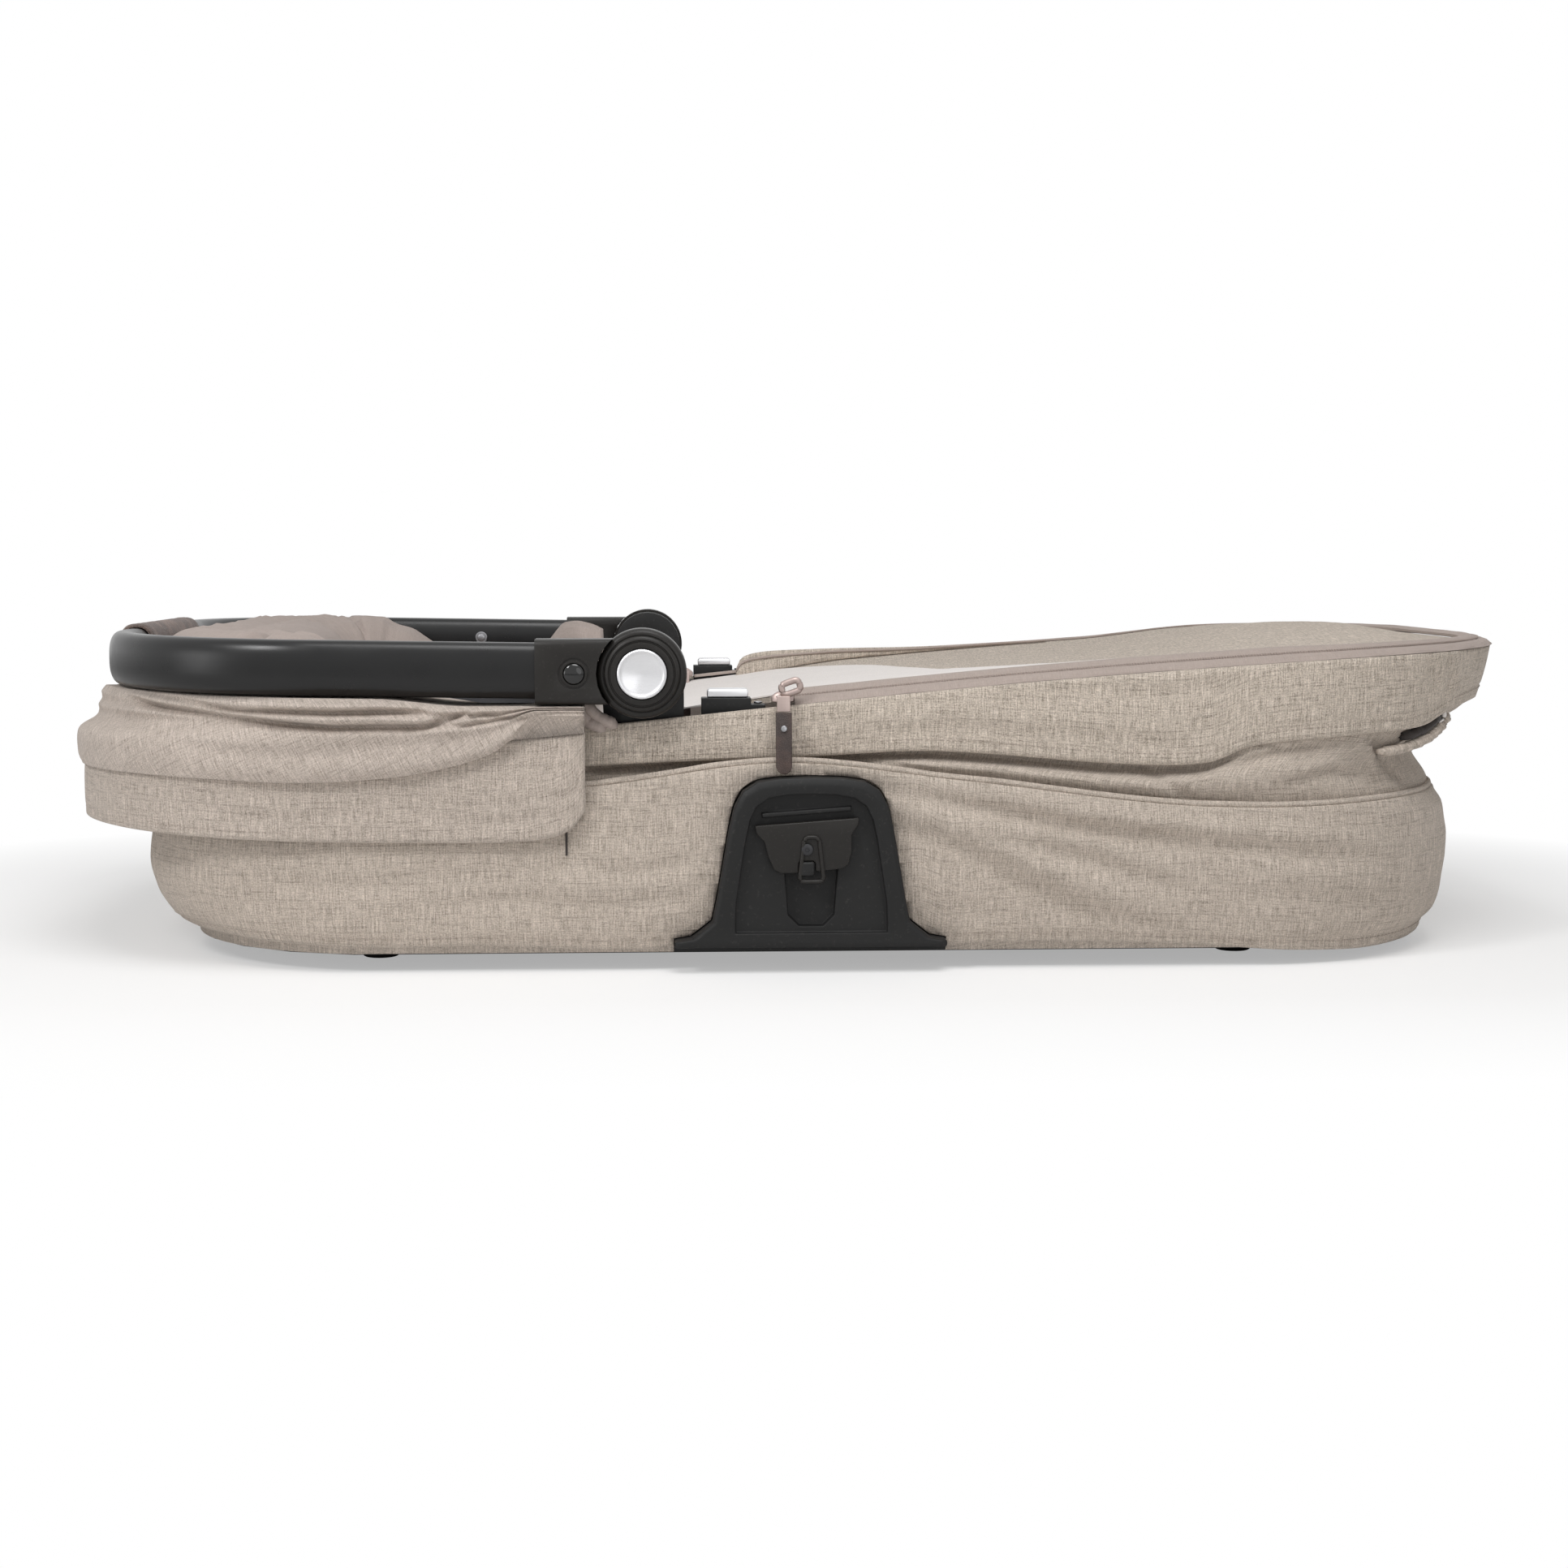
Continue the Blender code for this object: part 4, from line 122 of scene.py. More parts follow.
GATHER_LINES = (((-121.5, 149), (-117, 143), (-113, 139), (-107, 135.5), (-102, 134)),
                ((-121.5, 142), (-118, 136.5), (-113, 133.5), (-108, 132)))

# Folds of the near side, in millimetres: depth, width, then the (x, z) points that the crease follows
TUB_FOLDS = (
    (5.6, 8.5, ((32, 102), (90, 90), (144, 79), (209, 70), (320, 58))),
    (5.0, 9.0, ((42, 83), (85, 67), (121, 48), (158, 32), (210, 16))),
    (2.8, 7.5, ((88, 75), (157, 60), (210, 41))),
    (1.2, 8.0, ((150, 96), (210, 86), (270, 80), (330, 77))),
    (1.8, 10.0, ((225, 45), (290, 36), (356, 33))),
    (1.6, 9.0, ((-360, 64), (-300, 50), (-235, 48), (-165, 57))),
    (1.4, 8.0, ((-215, 34), (-150, 40), (-96, 36), (-58, 43))),
    (1.0, 6.0, ((-135, 63), (-95, 54), (-58, 61))),
)
SKIRT_FOLDS = (
    (1.4, 4.5, ((-210, 86), (-170, 83), (-122, 88))),
    (1.2, 4.0, ((-195, 94), (-160, 92), (-118, 99))),
    (1.2, 5.0, ((-335, 90), (-280, 85), (-220, 88))),
    (0.9, 1.3, ((-166, 121), (-159, 122.7), (-140, 125.6), (-112, 127.6))),
)
VALANCE_FOLDS = (
    (1.3, 7.0, ((15, 128), (80, 131), (150, 126), (222, 120))),
    (0.9, 6.0, ((110, 152), (190, 150), (255, 156))),
    (1.2, 5.0, ((-55, 128), (-95, 123), (-118, 120))),
    (2.2, 5.0, ((349, 172), (355, 155), (350, 136))),
    (1.8, 4.5, ((361, 172), (367, 152), (359, 137))),
)
WALL_FOLDS = (
    (3.2, 5.0, ((176, 114), (198, 101), (217, 88))),
    (3.6, 5.0, ((228, 107), (258, 117), (296, 123))),
    (6.0, 4.5, ((341, 94), (326, 109), (318, 119), (308, 133))),
    (2.6, 5.0, ((258, 99), (290, 106), (320, 100))),
    (2.4, 5.0, ((336, 130), (352, 120), (368, 106))),
)
HOOD_FOLDS = (
    (6.4, 3.4, ((-384, 155), (-362, 151.5), (-338, 147.5), (-301, 142.5), (-250, 141), (-196, 143))),
    (6.4, 3.4, ((-388, 150), (-366, 146), (-350, 142.6), (-301, 138.2), (-252, 133.6), (-202, 133.8),
                (-184, 141))),
    (3.0, 3.0, ((-202, 151), (-189, 147), (-181, 142), (-189, 137), (-208, 136))),
    (2.8, 3.2, ((-182, 150), (-152, 147), (-122, 144))),
    (2.2, 3.4, ((-178, 142), (-158, 138), (-134, 140))),
    (1.6, 6.0, ((-358, 129), (-310, 121), (-262, 119), (-208, 125))),
)
FAR_SHIFT = 9.0


# Curves and plans; a plan's places are (x, y, outward x, outward y)
def blend_value(low, high, value):
    share = min(1.0, max(0.0, (value - low) / (high - low)))
    return share * share * (3 - 2 * share)


def along(shares, share):
    """Reads a table of (place, value) shares as a smooth curve through its entries."""
    share = min(max(share, shares[0][0]), shares[-1][0])
    last = len(shares) - 1
    slopes = []
    for i in range(len(shares)):
        before, after = shares[max(i - 1, 0)], shares[min(i + 1, last)]
        slopes.append((after[1] - before[1]) / (after[0] - before[0]))
    for i in range(last):
        (start, low), (stop, high) = shares[i], shares[i + 1]
        if share <= stop:
            width = stop - start
            step = (share - start) / width
            rest = 1 - step
            rise = low * rest * rest * (1 + 2 * step) + slopes[i] * width * step * rest * rest
            return rise + high * step * step * (1 + 2 * rest) - slopes[i + 1] * width * step * step * rest
    return shares[-1][1]


def horseshoe(end_x, open_x, half_width, corner, sides=66, far_open_x=None, corners=48, across=36):
    """A U from the near side round the end to the far side."""
    way = 1 if end_x > open_x else -1
    far_open_x = open_x if far_open_x is None else far_open_x
    turn_x = end_x - way * corner
    turn_y = half_width - corner
    angles = [math.pi / 2 * i / corners for i in range(corners)]
    bend = [(math.sin(angle), math.cos(angle)) for angle in angles]
    plan = [(open_x + (turn_x - open_x) * i / sides, -half_width, 0.0, -1.0) for i in range(sides)]
    plan += [(turn_x + way * corner * a, -turn_y - corner * b, way * a, -b) for a, b in bend]
    plan += [(end_x, turn_y * (2 * i / across - 1), way, 0.0) for i in range(across)]
    plan += [(turn_x + way * corner * b, turn_y + corner * a, way * b, a) for a, b in bend]
    plan += [(turn_x + (far_open_x - turn_x) * i / sides, half_width, 0.0, 1.0) for i in range(sides + 1)]
    return plan


def oblong(head_x, foot_x, half_width, corner):
    middle_x = (head_x + foot_x) / 2
    foot = horseshoe(foot_x, middle_x, half_width, corner)
    return foot + horseshoe(head_x, middle_x, half_width, corner)[::-1][1:-1]


TUB_PLAN = oblong(TUB_HEAD_X, TUB_FOOT_X, TUB_HALF_WIDTH, TUB_CORNER)
RIM_PLAN = oblong(RIM_HEAD_X, RIM_FOOT_X, RIM_HALF_WIDTH, RIM_CORNER)
HOOD_PLAN = horseshoe(HOOD_HEAD_X, HOOD_OPEN_X, HOOD_HALF_WIDTH, HOOD_CORNER)


def at(place, out, z):
    x, y, out_x, out_y = place
    return (x + out_x * out, y + out_y * out, z)


def tub_top(x):
    return TUB_HEIGHT * along(TUB_TOP_SHARES, (x - TUB_HEAD_X) / (TUB_FOOT_X - TUB_HEAD_X))


def rim_line(x):
    return RIM_HEIGHT * along(RIM_LINE_SHARES, (x - RIM_HEAD_X) / (RIM_FOOT_X - RIM_HEAD_X))


def valance_low(x):
    return RIM_HEIGHT * along(VALANCE_LOW_SHARES, (x - RIM_HEAD_X) / (RIM_FOOT_X - RIM_HEAD_X))


def valance_tuck(place, z):
    top_z = rim_line(place[0])
    return VALANCE_FOOT_TUCK * max(place[2], 0.0) * (top_z - z) / (top_z - valance_low(place[0]))


def tub_lean(place, share):
    end_lean = TUB_FOOT_LEAN if place[2] > 0 else TUB_HEAD_LEAN
    return (TUB_SIDE_LEAN + end_lean * abs(place[2])) * share


def tube_z(x):
    return SLEEVE_TUBE_Z + TUBE_SLOPE_SHARE * (SLEEVE_END_X - x)


def shell_top(x):
    """Height just under the handle, for the folded hood's top."""
    under_tube = tube_z(x) - TUBE_HALF_HEIGHT - 0.8 * MM
    under_sleeve = SLEEVE_Z - SLEEVE_HEIGHT / 2 - 0.8 * MM
    start_x = SLEEVE_END_X - SLEEVE_HEIGHT
    return under_tube + (under_sleeve - under_tube) * blend_value(start_x - 0.050, start_x, x)


def hood_share(place):
    return (HOOD_OPEN_X - place[0]) / (HOOD_OPEN_X - HOOD_HEAD_X)


def grip_dip(place):
    """How much lower the hood lies under the leather grip."""
    return 3.4 * MM * (1 - blend_value(0.072, 0.120, abs(place[1])))


def smooth_row(points, steps):
    """Catmull-Rom curve through the points, with that many steps a span."""
    vectors = [Vector(point) for point in points]
    curve = []
    for i in range(len(vectors) - 1):
        a, b = vectors[i], vectors[i + 1]
        before = vectors[i - 1] if i > 0 else a * 2 - b
        after = vectors[i + 2] if i + 2 < len(vectors) else b * 2 - a
        for k in range(steps):
            t = k / steps
            curve.append(0.5 * (2 * a + (b - before) * t + (2 * before - 5 * a + 4 * b - after) * t * t
                                + (3 * a - before - 3 * b + after) * t ** 3))
    return curve + [vectors[-1]]


def arch_half(steps):
    """Right half of the adapter housing's outline, from its flared foot up to its crown."""
    rise = SHROUD_TOP_Z - SHROUD_FLARE_Z
    half = [(SHROUD_HALF_FLARE, SHROUD_BOTTOM_Z), (SHROUD_HALF_FLARE, SHROUD_FLARE_Z)]
    sweep_z = (SHROUD_FLARE_Z + SHROUD_LOW_Z) / 2 - SHROUD_SHOULDER
    half.append(((SHROUD_HALF_FLARE + SHROUD_HALF_LOW) / 2, sweep_z))
    corners = [(SHROUD_HALF_TOP * w, SHROUD_FLARE_Z + rise * h) for w, h in SHROUD_ARCH_SHARES]
    return half + [tuple(point) for point in smooth_row(corners, steps)]


def rounded_loop(corners, radius, steps=6):
    """Closed outline through the corners, each rounded off."""
    loop = []
    for i, corner in enumerate(corners):
        here = Vector(corner)
        before, after = Vector(corners[i - 1]), Vector(corners[(i + 1) % len(corners)])
        start = here + (before - here).normalized() * radius
        end = here + (after - here).normalized() * radius
        for k in range(steps + 1):
            t = k / steps
            loop.append(tuple(start * (1 - t) ** 2 + here * 2 * t * (1 - t) + end * t * t))
    return loop


# Relief of the cloth
def crease(x, z, path, depth, width):
    """Dip of a fold along its path, with the cloth rolled up beside it; it fades out at both ends."""
    nearest, side, share = 1e9, 1, 0.0
    spans = len(path) - 1
    for i in range(spans):
        (ax, az), (bx, bz) = path[i], path[i + 1]
        dx, dz = bx - ax, bz - az
        t = min(1.0, max(0.0, ((x - ax) * dx + (z - az) * dz) / (dx * dx + dz * dz)))
        away = math.hypot(x - ax - dx * t, z - az - dz * t)
        if away < nearest:
            nearest, share = away, (i + t) / spans
            side = 1 if dx * (z - az) - dz * (x - ax) > 0 else -1
    far_off = nearest * side / width
    fade = math.sin(math.pi * min(max(share, 0.0), 1.0)) ** 0.6
    return depth * fade * (0.7 * math.exp(-(far_off - 1.1) ** 2) - math.exp(-(far_off * 1.7) ** 2))


def folds(table, x, y, z):
    """Sum of the creases of a table at a place; the far side has the same ones a little further on."""
    x_mm, z_mm = x / MM + (FAR_SHIFT if y > 0 else 0.0), z / MM
    total = 0.0
    for depth, width, path in table:
        reach = width * 3.2
        if (min(p[0] for p in path) - reach < x_mm < max(p[0] for p in path) + reach
                and min(p[1] for p in path) - reach < z_mm < max(p[1] for p in path) + reach):
            total += crease(x_mm, z_mm, path, depth, width)
    return total * MM


def ripple(x, y, z, size, seed):
    """Soft unevenness of cloth, from -1 to 1, with that size in metres."""
    return noise.noise(Vector((x / size, y / size, z / size * 1.8 + seed)))


def groove(away, width):
    """Rounded groove, 1 deep at its middle."""
    return math.exp(-(away / width) ** 2)


# Meshes
def placed(name, data):
    piece = bpy.data.objects.new(name, data)
    bpy.context.scene.collection.objects.link(piece)
    return piece


def finish_mesh(name, mesh, sharp=None, turn=True):
    if turn:
        bmesh.ops.recalc_face_normals(mesh, faces=mesh.faces)
    data = bpy.data.meshes.new(name)
    mesh.to_mesh(data)
    mesh.free()
    data.shade_smooth()
    if sharp:
        data.set_sharp_from_angle(angle=math.radians(sharp))
    return placed(name, data)


def joined(name, loops, closed=False, ends="flat", uv=None, sharp=None):
    """Joins loops of points into one piece; a loop of one point closes an end.

    uv gives the cloth place of a corner from its loop's number and its own.
    """
    mesh = bmesh.new()
    cloth = mesh.loops.layers.uv.new("cloth") if uv else None
    rings = [[mesh.verts.new(point) for point in loop] for loop in loops]
    count = max(len(ring) for ring in rings)
    for i in range(len(rings) if closed else len(rings) - 1):
        a, b = rings[i], rings[(i + 1) % len(rings)]
        for j in range(count):
            m = (j + 1) % count
            corners = (a[j % len(a)], a[m % len(a)], b[m % len(b)], b[j % len(b)])
            face = mesh.faces.new(list(dict.fromkeys(corners)))
            if uv:
                for loop, spot in zip(face.loops, ((i, j), (i, j + 1), (i + 1, j + 1), (i + 1, j))):
                    loop[cloth].uv = uv(*spot)
    for ring in () if closed or not ends else (rings[0], rings[-1]):
        if ends == "strips":
            for j in range(count // 2 - 1):
                corners = (ring[j], ring[j + 1], ring[count - 2 - j], ring[count - 1 - j])
                if len(set(corners)) == 4:
                    mesh.faces.new(corners)
        else:
            face = mesh.faces.new(ring)
            if ends == "plan":
                for loop in face.loops:
                    loop[cloth].uv = (loop.vert.co.x, loop.vert.co.y)
    return finish_mesh(name, mesh, sharp)


def skin(name, stations, closed=False, ends="strips", sharp=None):
    """Cloth through its sections; its UVs are metres along the plan and round the section."""
    run, girth = [0.0], []
    for i, station in enumerate(stations):
        following = stations[(i + 1) % len(stations)]
        run.append(run[-1] + (Vector(following[0]) - Vector(station[0])).length)
        lengths = [0.0]
        for a, b in zip(station, [*station[1:], station[0]]):
            lengths.append(lengths[-1] + (Vector(b) - Vector(a)).length)
        girth.append(lengths)
    return joined(name, stations, closed, ends, lambda i, j: (run[i], girth[i % len(girth)][j]), sharp)


def turned(name, centre, profile, side, steps=72, sharp=32):
    """Turns (radius, distance outwards) points about the Y axis through centre; radius 0 closes an end."""
    x, y, z = centre
    loops = []
    for radius, out in profile:
        angles = [math.tau * i / steps for i in range(steps if radius else 1)]
        loops.append([(x + radius * math.cos(a), y + side * out, z + radius * math.sin(a)) for a in angles])
    return joined(name, loops, closed=len(loops[0]) > 1, ends=None, sharp=sharp)


def tube(name, points, radius, closed=False, flat=1.0, steps=12):
    """Round bar along the points; flat below 1 makes it lower than it is wide."""
    path = [Vector(point) for point in points]
    last = len(path) - 1
    loops = []
    for i, point in enumerate(path):
        before = path[i - 1] if i > 0 or closed else point
        after = path[(i + 1) % len(path)] if i < last or closed else point
        ahead = (after - before).normalized()
        side = ahead.cross(Vector((0, 0, 1)) if abs(ahead.z) < 0.9 else Vector((0, 1, 0))).normalized()
        up = side.cross(ahead)
        size = radius if closed else radius * min(1.0, 0.55 + 0.25 * min(i, last - i))
        angles = [math.tau * j / steps for j in range(steps)]
        loops.append([point + (side * math.cos(a) + up * math.sin(a) * flat) * size for a in angles])
    return joined(name, loops, closed, uv=lambda i, j: (i * 2 * MM, j * 0.5 * MM))


def apply_modifiers(piece):
    """Makes the evaluated mesh the piece's own mesh."""
    bpy.context.view_layer.update()
    evaluated = piece.evaluated_get(bpy.context.evaluated_depsgraph_get())
    mesh = bpy.data.meshes.new_from_object(evaluated)
    piece.modifiers.clear()
    piece.data = mesh
    return piece


def modify(piece, name, kind, **settings):
    modifier = piece.modifiers.new(name, kind)
    for setting, value in settings.items():
        setattr(modifier, setting, value)
    return modifier


def rounded(node, width, segments, angle):
    """Copy of a hard CAD node with its triangles merged and its edges rounded."""
    mesh = bmesh.new()
    mesh.from_mesh(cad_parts[node].data)
    bmesh.ops.remove_doubles(mesh, verts=mesh.verts, dist=0.01 * MM)
    limit = math.radians(1.0)
    bmesh.ops.dissolve_limit(mesh, angle_limit=limit, verts=mesh.verts, edges=mesh.edges)
    piece = finish_mesh(node + "_fine", mesh, turn=False)
    modify(piece, "Rounded edges", "BEVEL", width=width, segments=segments, limit_method="ANGLE",
           angle_limit=math.radians(angle), use_clamp_overlap=True)
    apply_modifiers(piece)
    piece.data.shade_smooth()
    piece.data.set_sharp_from_angle(angle=math.radians(40))
    return piece


# Node trees: link() sets an input from a value or from another node's output
def link(node, **values):
    for name, value in values.items():
        numbered = name[0] == "i" and name[1:].isdigit()
        socket = node.inputs[int(name[1:]) if numbered else name.replace("_", " ")]
        value = value.socket if isinstance(value, Wire) else value
        if isinstance(value, bpy.types.NodeSocket):
            node.id_data.links.new(value, socket)
        else:
            socket.default_value = value
    return node


def add(tree, kind, settings=None, **values):
    node = tree.nodes.new(kind)
    for name, value in (settings or {}).items():
        setattr(node, name, value)
    return link(node, **values)


class Wire:
    """A node's output, whose arithmetic adds Math nodes to its tree."""

    def __init__(self, node, output=0):
        self.tree, self.socket = node.id_data, node.outputs[output]

    def maths(self, operation, first, second=0.0):
        return Wire(add(self.tree, "ShaderNodeMath", {"operation": operation}, i0=first, i1=second))

    def __add__(self, other):
        return self.maths("ADD", self, other)

    def __radd__(self, other):
        return self.maths("ADD", other, self)

    def __sub__(self, other):
        return self.maths("SUBTRACT", self, other)

    def __rsub__(self, other):
        return self.maths("SUBTRACT", other, self)

    def __mul__(self, other):
        return self.maths("MULTIPLY", self, other)

    def __rtruediv__(self, other):
        return self.maths("DIVIDE", other, self)


def mix(factor, first, second, blend="MIX"):
    settings = {"data_type": "RGBA", "blend_type": blend}
    return Wire(add(first.tree, "ShaderNodeMix", settings, i0=factor, i6=first, i7=second), 2)


def tinted(colour, tint):
    return mix(1.0, colour, tint, "MULTIPLY")


def ramp(factor, low, high):
    settings = {"clamp": True}
    return Wire(add(factor.tree, "ShaderNodeMapRange", settings, Value=factor, From_Min=low, From_Max=high))


def vector_maths(operation, first, second=(0, 0, 0), output=0):
    settings = {"operation": operation}
    return Wire(add(first.tree, "ShaderNodeVectorMath", settings, i0=first, i1=second), output)


def in_units(place, size):
    """The place measured in that size."""
    return Wire(add(place.tree, "ShaderNodeVectorMath", {"operation": "SCALE"}, i0=place, Scale=1.0 / size))


def cloudy(vector, scale=1.0, detail=2.0, rough=0.5, stretch=None):
    vector = vector_maths("MULTIPLY", vector, stretch) if stretch else vector
    values = {"Vector": vector, "Scale": scale, "Detail": detail, "Roughness": rough}
    return Wire(add(vector.tree, "ShaderNodeTexNoise", **values))


def grey_of(red, green, blue):
    return Wire(add(red.tree, "ShaderNodeCombineColor", Red=red, Green=green, Blue=blue))


KINDS = {"Yarn": "Color", "Base": "Color", "Cloth": "Vector", "Place": "Vector", "Colour": "Color"}


def effect(name, **inputs):
    """Starts a shader node group with named inputs; it puts out a colour, a roughness and a height."""
    tree = bpy.data.node_groups.new(name, "ShaderNodeTree")
    for label, default in inputs.items():
        kind = "NodeSocket" + KINDS.get(label, "Float")
        socket = tree.interface.new_socket(label, in_out="INPUT", socket_type=kind)
        if default is not None:
            socket.default_value = default
    for label in ("Colour", "Roughness", "Height"):
        kind = "NodeSocket" + KINDS.get(label, "Float")
        tree.interface.new_socket(label, in_out="OUTPUT", socket_type=kind)
    source = tree.nodes.new("NodeGroupInput")
    return [Wire(source, label) for label in inputs], tree.nodes.new("NodeGroupOutput")


def linen_effect():
    """Plain weave of slubby yarn: light and dark threads both ways, specks and soft mottling."""
    (cloth, yarn, thread, contrast, specks, turn), result = effect(
        "linen weave", Cloth=None, Yarn=(0.5, 0.4, 0.3, 1), Thread=0.0011, Contrast=0.5, Specks=0.5, Turn=0.0)
    settings = {"rotation_type": "Z_AXIS"}
    laid = Wire(add(cloth.tree, "ShaderNodeVectorRotate", settings, Vector=cloth, Angle=turn))
    unit = in_units(laid, thread)
    warp = cloudy(unit, 1.0, 1.0, stretch=(0.95, 0.070, 1.0))
    weft = cloudy(unit, 1.0, 1.0, stretch=(0.100, 1.10, 1.0))
    slub_up = ramp(cloudy(unit, 1.0, 0.0, stretch=(0.42, 0.022, 1.0)), 0.57, 0.72)
    slub_across = ramp(cloudy(unit, 1.0, 0.0, stretch=(0.022, 0.42, 2.0)), 0.57, 0.72)
    threads = warp * 1.3 + weft * 0.8
    light = (threads - 1.05) * contrast
    light += (slub_up - slub_across) * (contrast * 0.16)
    light += (cloudy(unit, 0.016, 3.0, 0.6) - 0.5) * 0.10
    light += (cloudy(unit, 0.7, 1.0, 0.6) - 0.5) * (contrast * 1.2)
    cool = (warp - weft) * 0.04
    colour = tinted(yarn, grey_of(light + 1.0, light * 1.03 + 1.0, light * 1.08 + cool + 1.0))
    fleck = ramp(cloudy(unit, 1.0, 2.0, 0.7, (0.30, 0.75, 1.0)), 0.66, 0.74) * specks
    colour = mix(fleck, colour, tinted(yarn, (0.50, 0.42, 0.36, 1)))
    parts = add(unit.tree, "ShaderNodeSeparateXYZ", Vector=unit)
    across, up = [unit.maths("SINE", Wire(parts, i) * (math.tau * 1.6)) for i in (0, 1)]
    height = threads + across * up * 0.22 + (slub_up + slub_across)
    link(result, Colour=colour, Roughness=0.88 + light * 0.3, Height=height)
    return result.id_data


def mould_effect():
    """Fine spark-eroded grain of moulded plastic, polished on its edges, with a little dust."""
    (place, base, grain, rough, dust), result = effect(
        "moulded grain", Place=None, Base=(0.02, 0.02, 0.02, 1), Grain=0.0005, Rough=0.5, Dust=0.3)
    unit = in_units(place, grain)
    worn = ramp(Wire(add(unit.tree, "ShaderNodeNewGeometry"), "Pointiness"), 0.52, 0.60)
    dust = ramp(cloudy(unit, 0.22, 2.0, 0.7), 0.60, 0.78) * dust
    colour = mix(worn * 0.35, base, tinted(base, (1.9, 1.9, 1.9, 1)))
    colour = mix(dust * 0.18, colour, (0.32, 0.29, 0.27, 1))
    rough = rough + (cloudy(unit, 0.012, 3.0, 0.6) - 0.5) * 0.22 - worn * 0.10
    link(result, Colour=colour, Roughness=rough, Height=cloudy(unit, 1.0, 2.0, 0.6))
    return result.id_data


def metal_effect():
    """Drawn or brushed metal: fine lines one way, and smudges in its polish."""
    (place, base, line, rough), result = effect(
        "brushed metal", Place=None, Base=(0.6, 0.6, 0.6, 1), Line=0.0004, Rough=0.3)
    unit = in_units(place, line)
    lines = cloudy(unit, 1.0, 2.0, 0.6, (0.03, 1.0, 1.0))
    tone = 0.93 + lines * 0.12
    rough = rough + (cloudy(unit, 0.02, 3.0, 0.6) - 0.5) * 0.25
    link(result, Colour=tinted(base, grey_of(tone, tone, tone)), Roughness=rough, Height=lines)
    return result.id_data


def leather_effect():
    """Pebbled leather: small cells with dark seams between them, and rubbed, paler patches."""
    (place, base, cell), result = effect("leather grain", Place=None, Base=(0.1, 0.06, 0.05, 1), Cell=0.0012)
    unit = in_units(place, cell)
    cells = add(unit.tree, "ShaderNodeTexVoronoi", {"feature": "DISTANCE_TO_EDGE"}, Vector=unit, Scale=1.0)
    pebble = ramp(Wire(cells), 0.0, 0.32)
    colour = mix(1.0 - pebble, base, tinted(base, (0.5, 0.46, 0.44, 1)))
    colour = mix(ramp(cloudy(unit, 0.09, 4.0, 0.6), 0.45, 0.75), colour, tinted(base, (1.7, 1.6, 1.5, 1)))
    link(result, Colour=colour, Roughness=0.62 - pebble * 0.14, Height=pebble)
    return result.id_data


LINEN_WEAVE, MOULDED_GRAIN = linen_effect(), mould_effect()
BRUSHED_METAL, LEATHER_GRAIN = metal_effect(), leather_effect()


def srgb(red, green, blue):
    """Linear colour of an sRGB one given from 0 to 255."""
    return tuple((c / 255 / 12.92) if c <= 10 else ((c / 255 + 0.055) / 1.055) ** 2.4
                 for c in (red, green, blue)) + (1.0,)


def finish(name, group, values, bump, bump_distance, uv=None, **shader_values):
    """Material whose colour, roughness and bump come from one of the effects."""
    material = bpy.data.materials.new(name)
    material.use_nodes = True
    tree = material.node_tree
    if uv:
        place = add(tree, "ShaderNodeUVMap", {"uv_map": uv}).outputs[0]
    else:
        place = tree.nodes.new("ShaderNodeTexCoord").outputs["Object"]
    surface = add(tree, "ShaderNodeGroup", {"node_tree": group}, i0=place, **values).outputs
    relief = add(tree, "ShaderNodeBump", Strength=bump, Distance=bump_distance, Height=surface["Height"])
    link(tree.nodes["Principled BSDF"], Base_Color=surface["Colour"], Roughness=surface["Roughness"],
         Normal=relief.outputs[0], **shader_values)
    return material


def linen(name, colour, thread=0.62 * MM, contrast=0.84, specks=0.5, turn=0.0, bump=0.5):
    values = {"Yarn": srgb(*colour), "Thread": thread, "Contrast": contrast, "Specks": specks, "Turn": turn}
    return finish(name, LINEN_WEAVE, values, bump, 0.35 * MM, "cloth", Sheen_Weight=0.10, Sheen_Roughness=0.5)


def plastic(name, colour, rough=0.5, grain=0.5 * MM, bump=0.16, dust=0.3, specular=0.22):
    values = {"Base": srgb(*colour), "Grain": grain, "Rough": rough, "Dust": dust}
    return finish(name, MOULDED_GRAIN, values, bump, 0.12 * MM, Specular_IOR_Level=specular)


def metal(name, colour, rough, metallic):
    values = {"Base": srgb(*colour), "Line": 0.4 * MM, "Rough": rough}
    return finish(name, BRUSHED_METAL, values, 0.08, 0.08 * MM, Metallic=metallic)


def leather(name, colour, cell):
    return finish(name, LEATHER_GRAIN, {"Base": srgb(*colour), "Cell": cell}, 0.5, 0.25 * MM)


def lining(name, colour, thread, contrast, bump, specks=0.0):
    return linen(name, colour, thread * MM, contrast, specks, bump=bump)


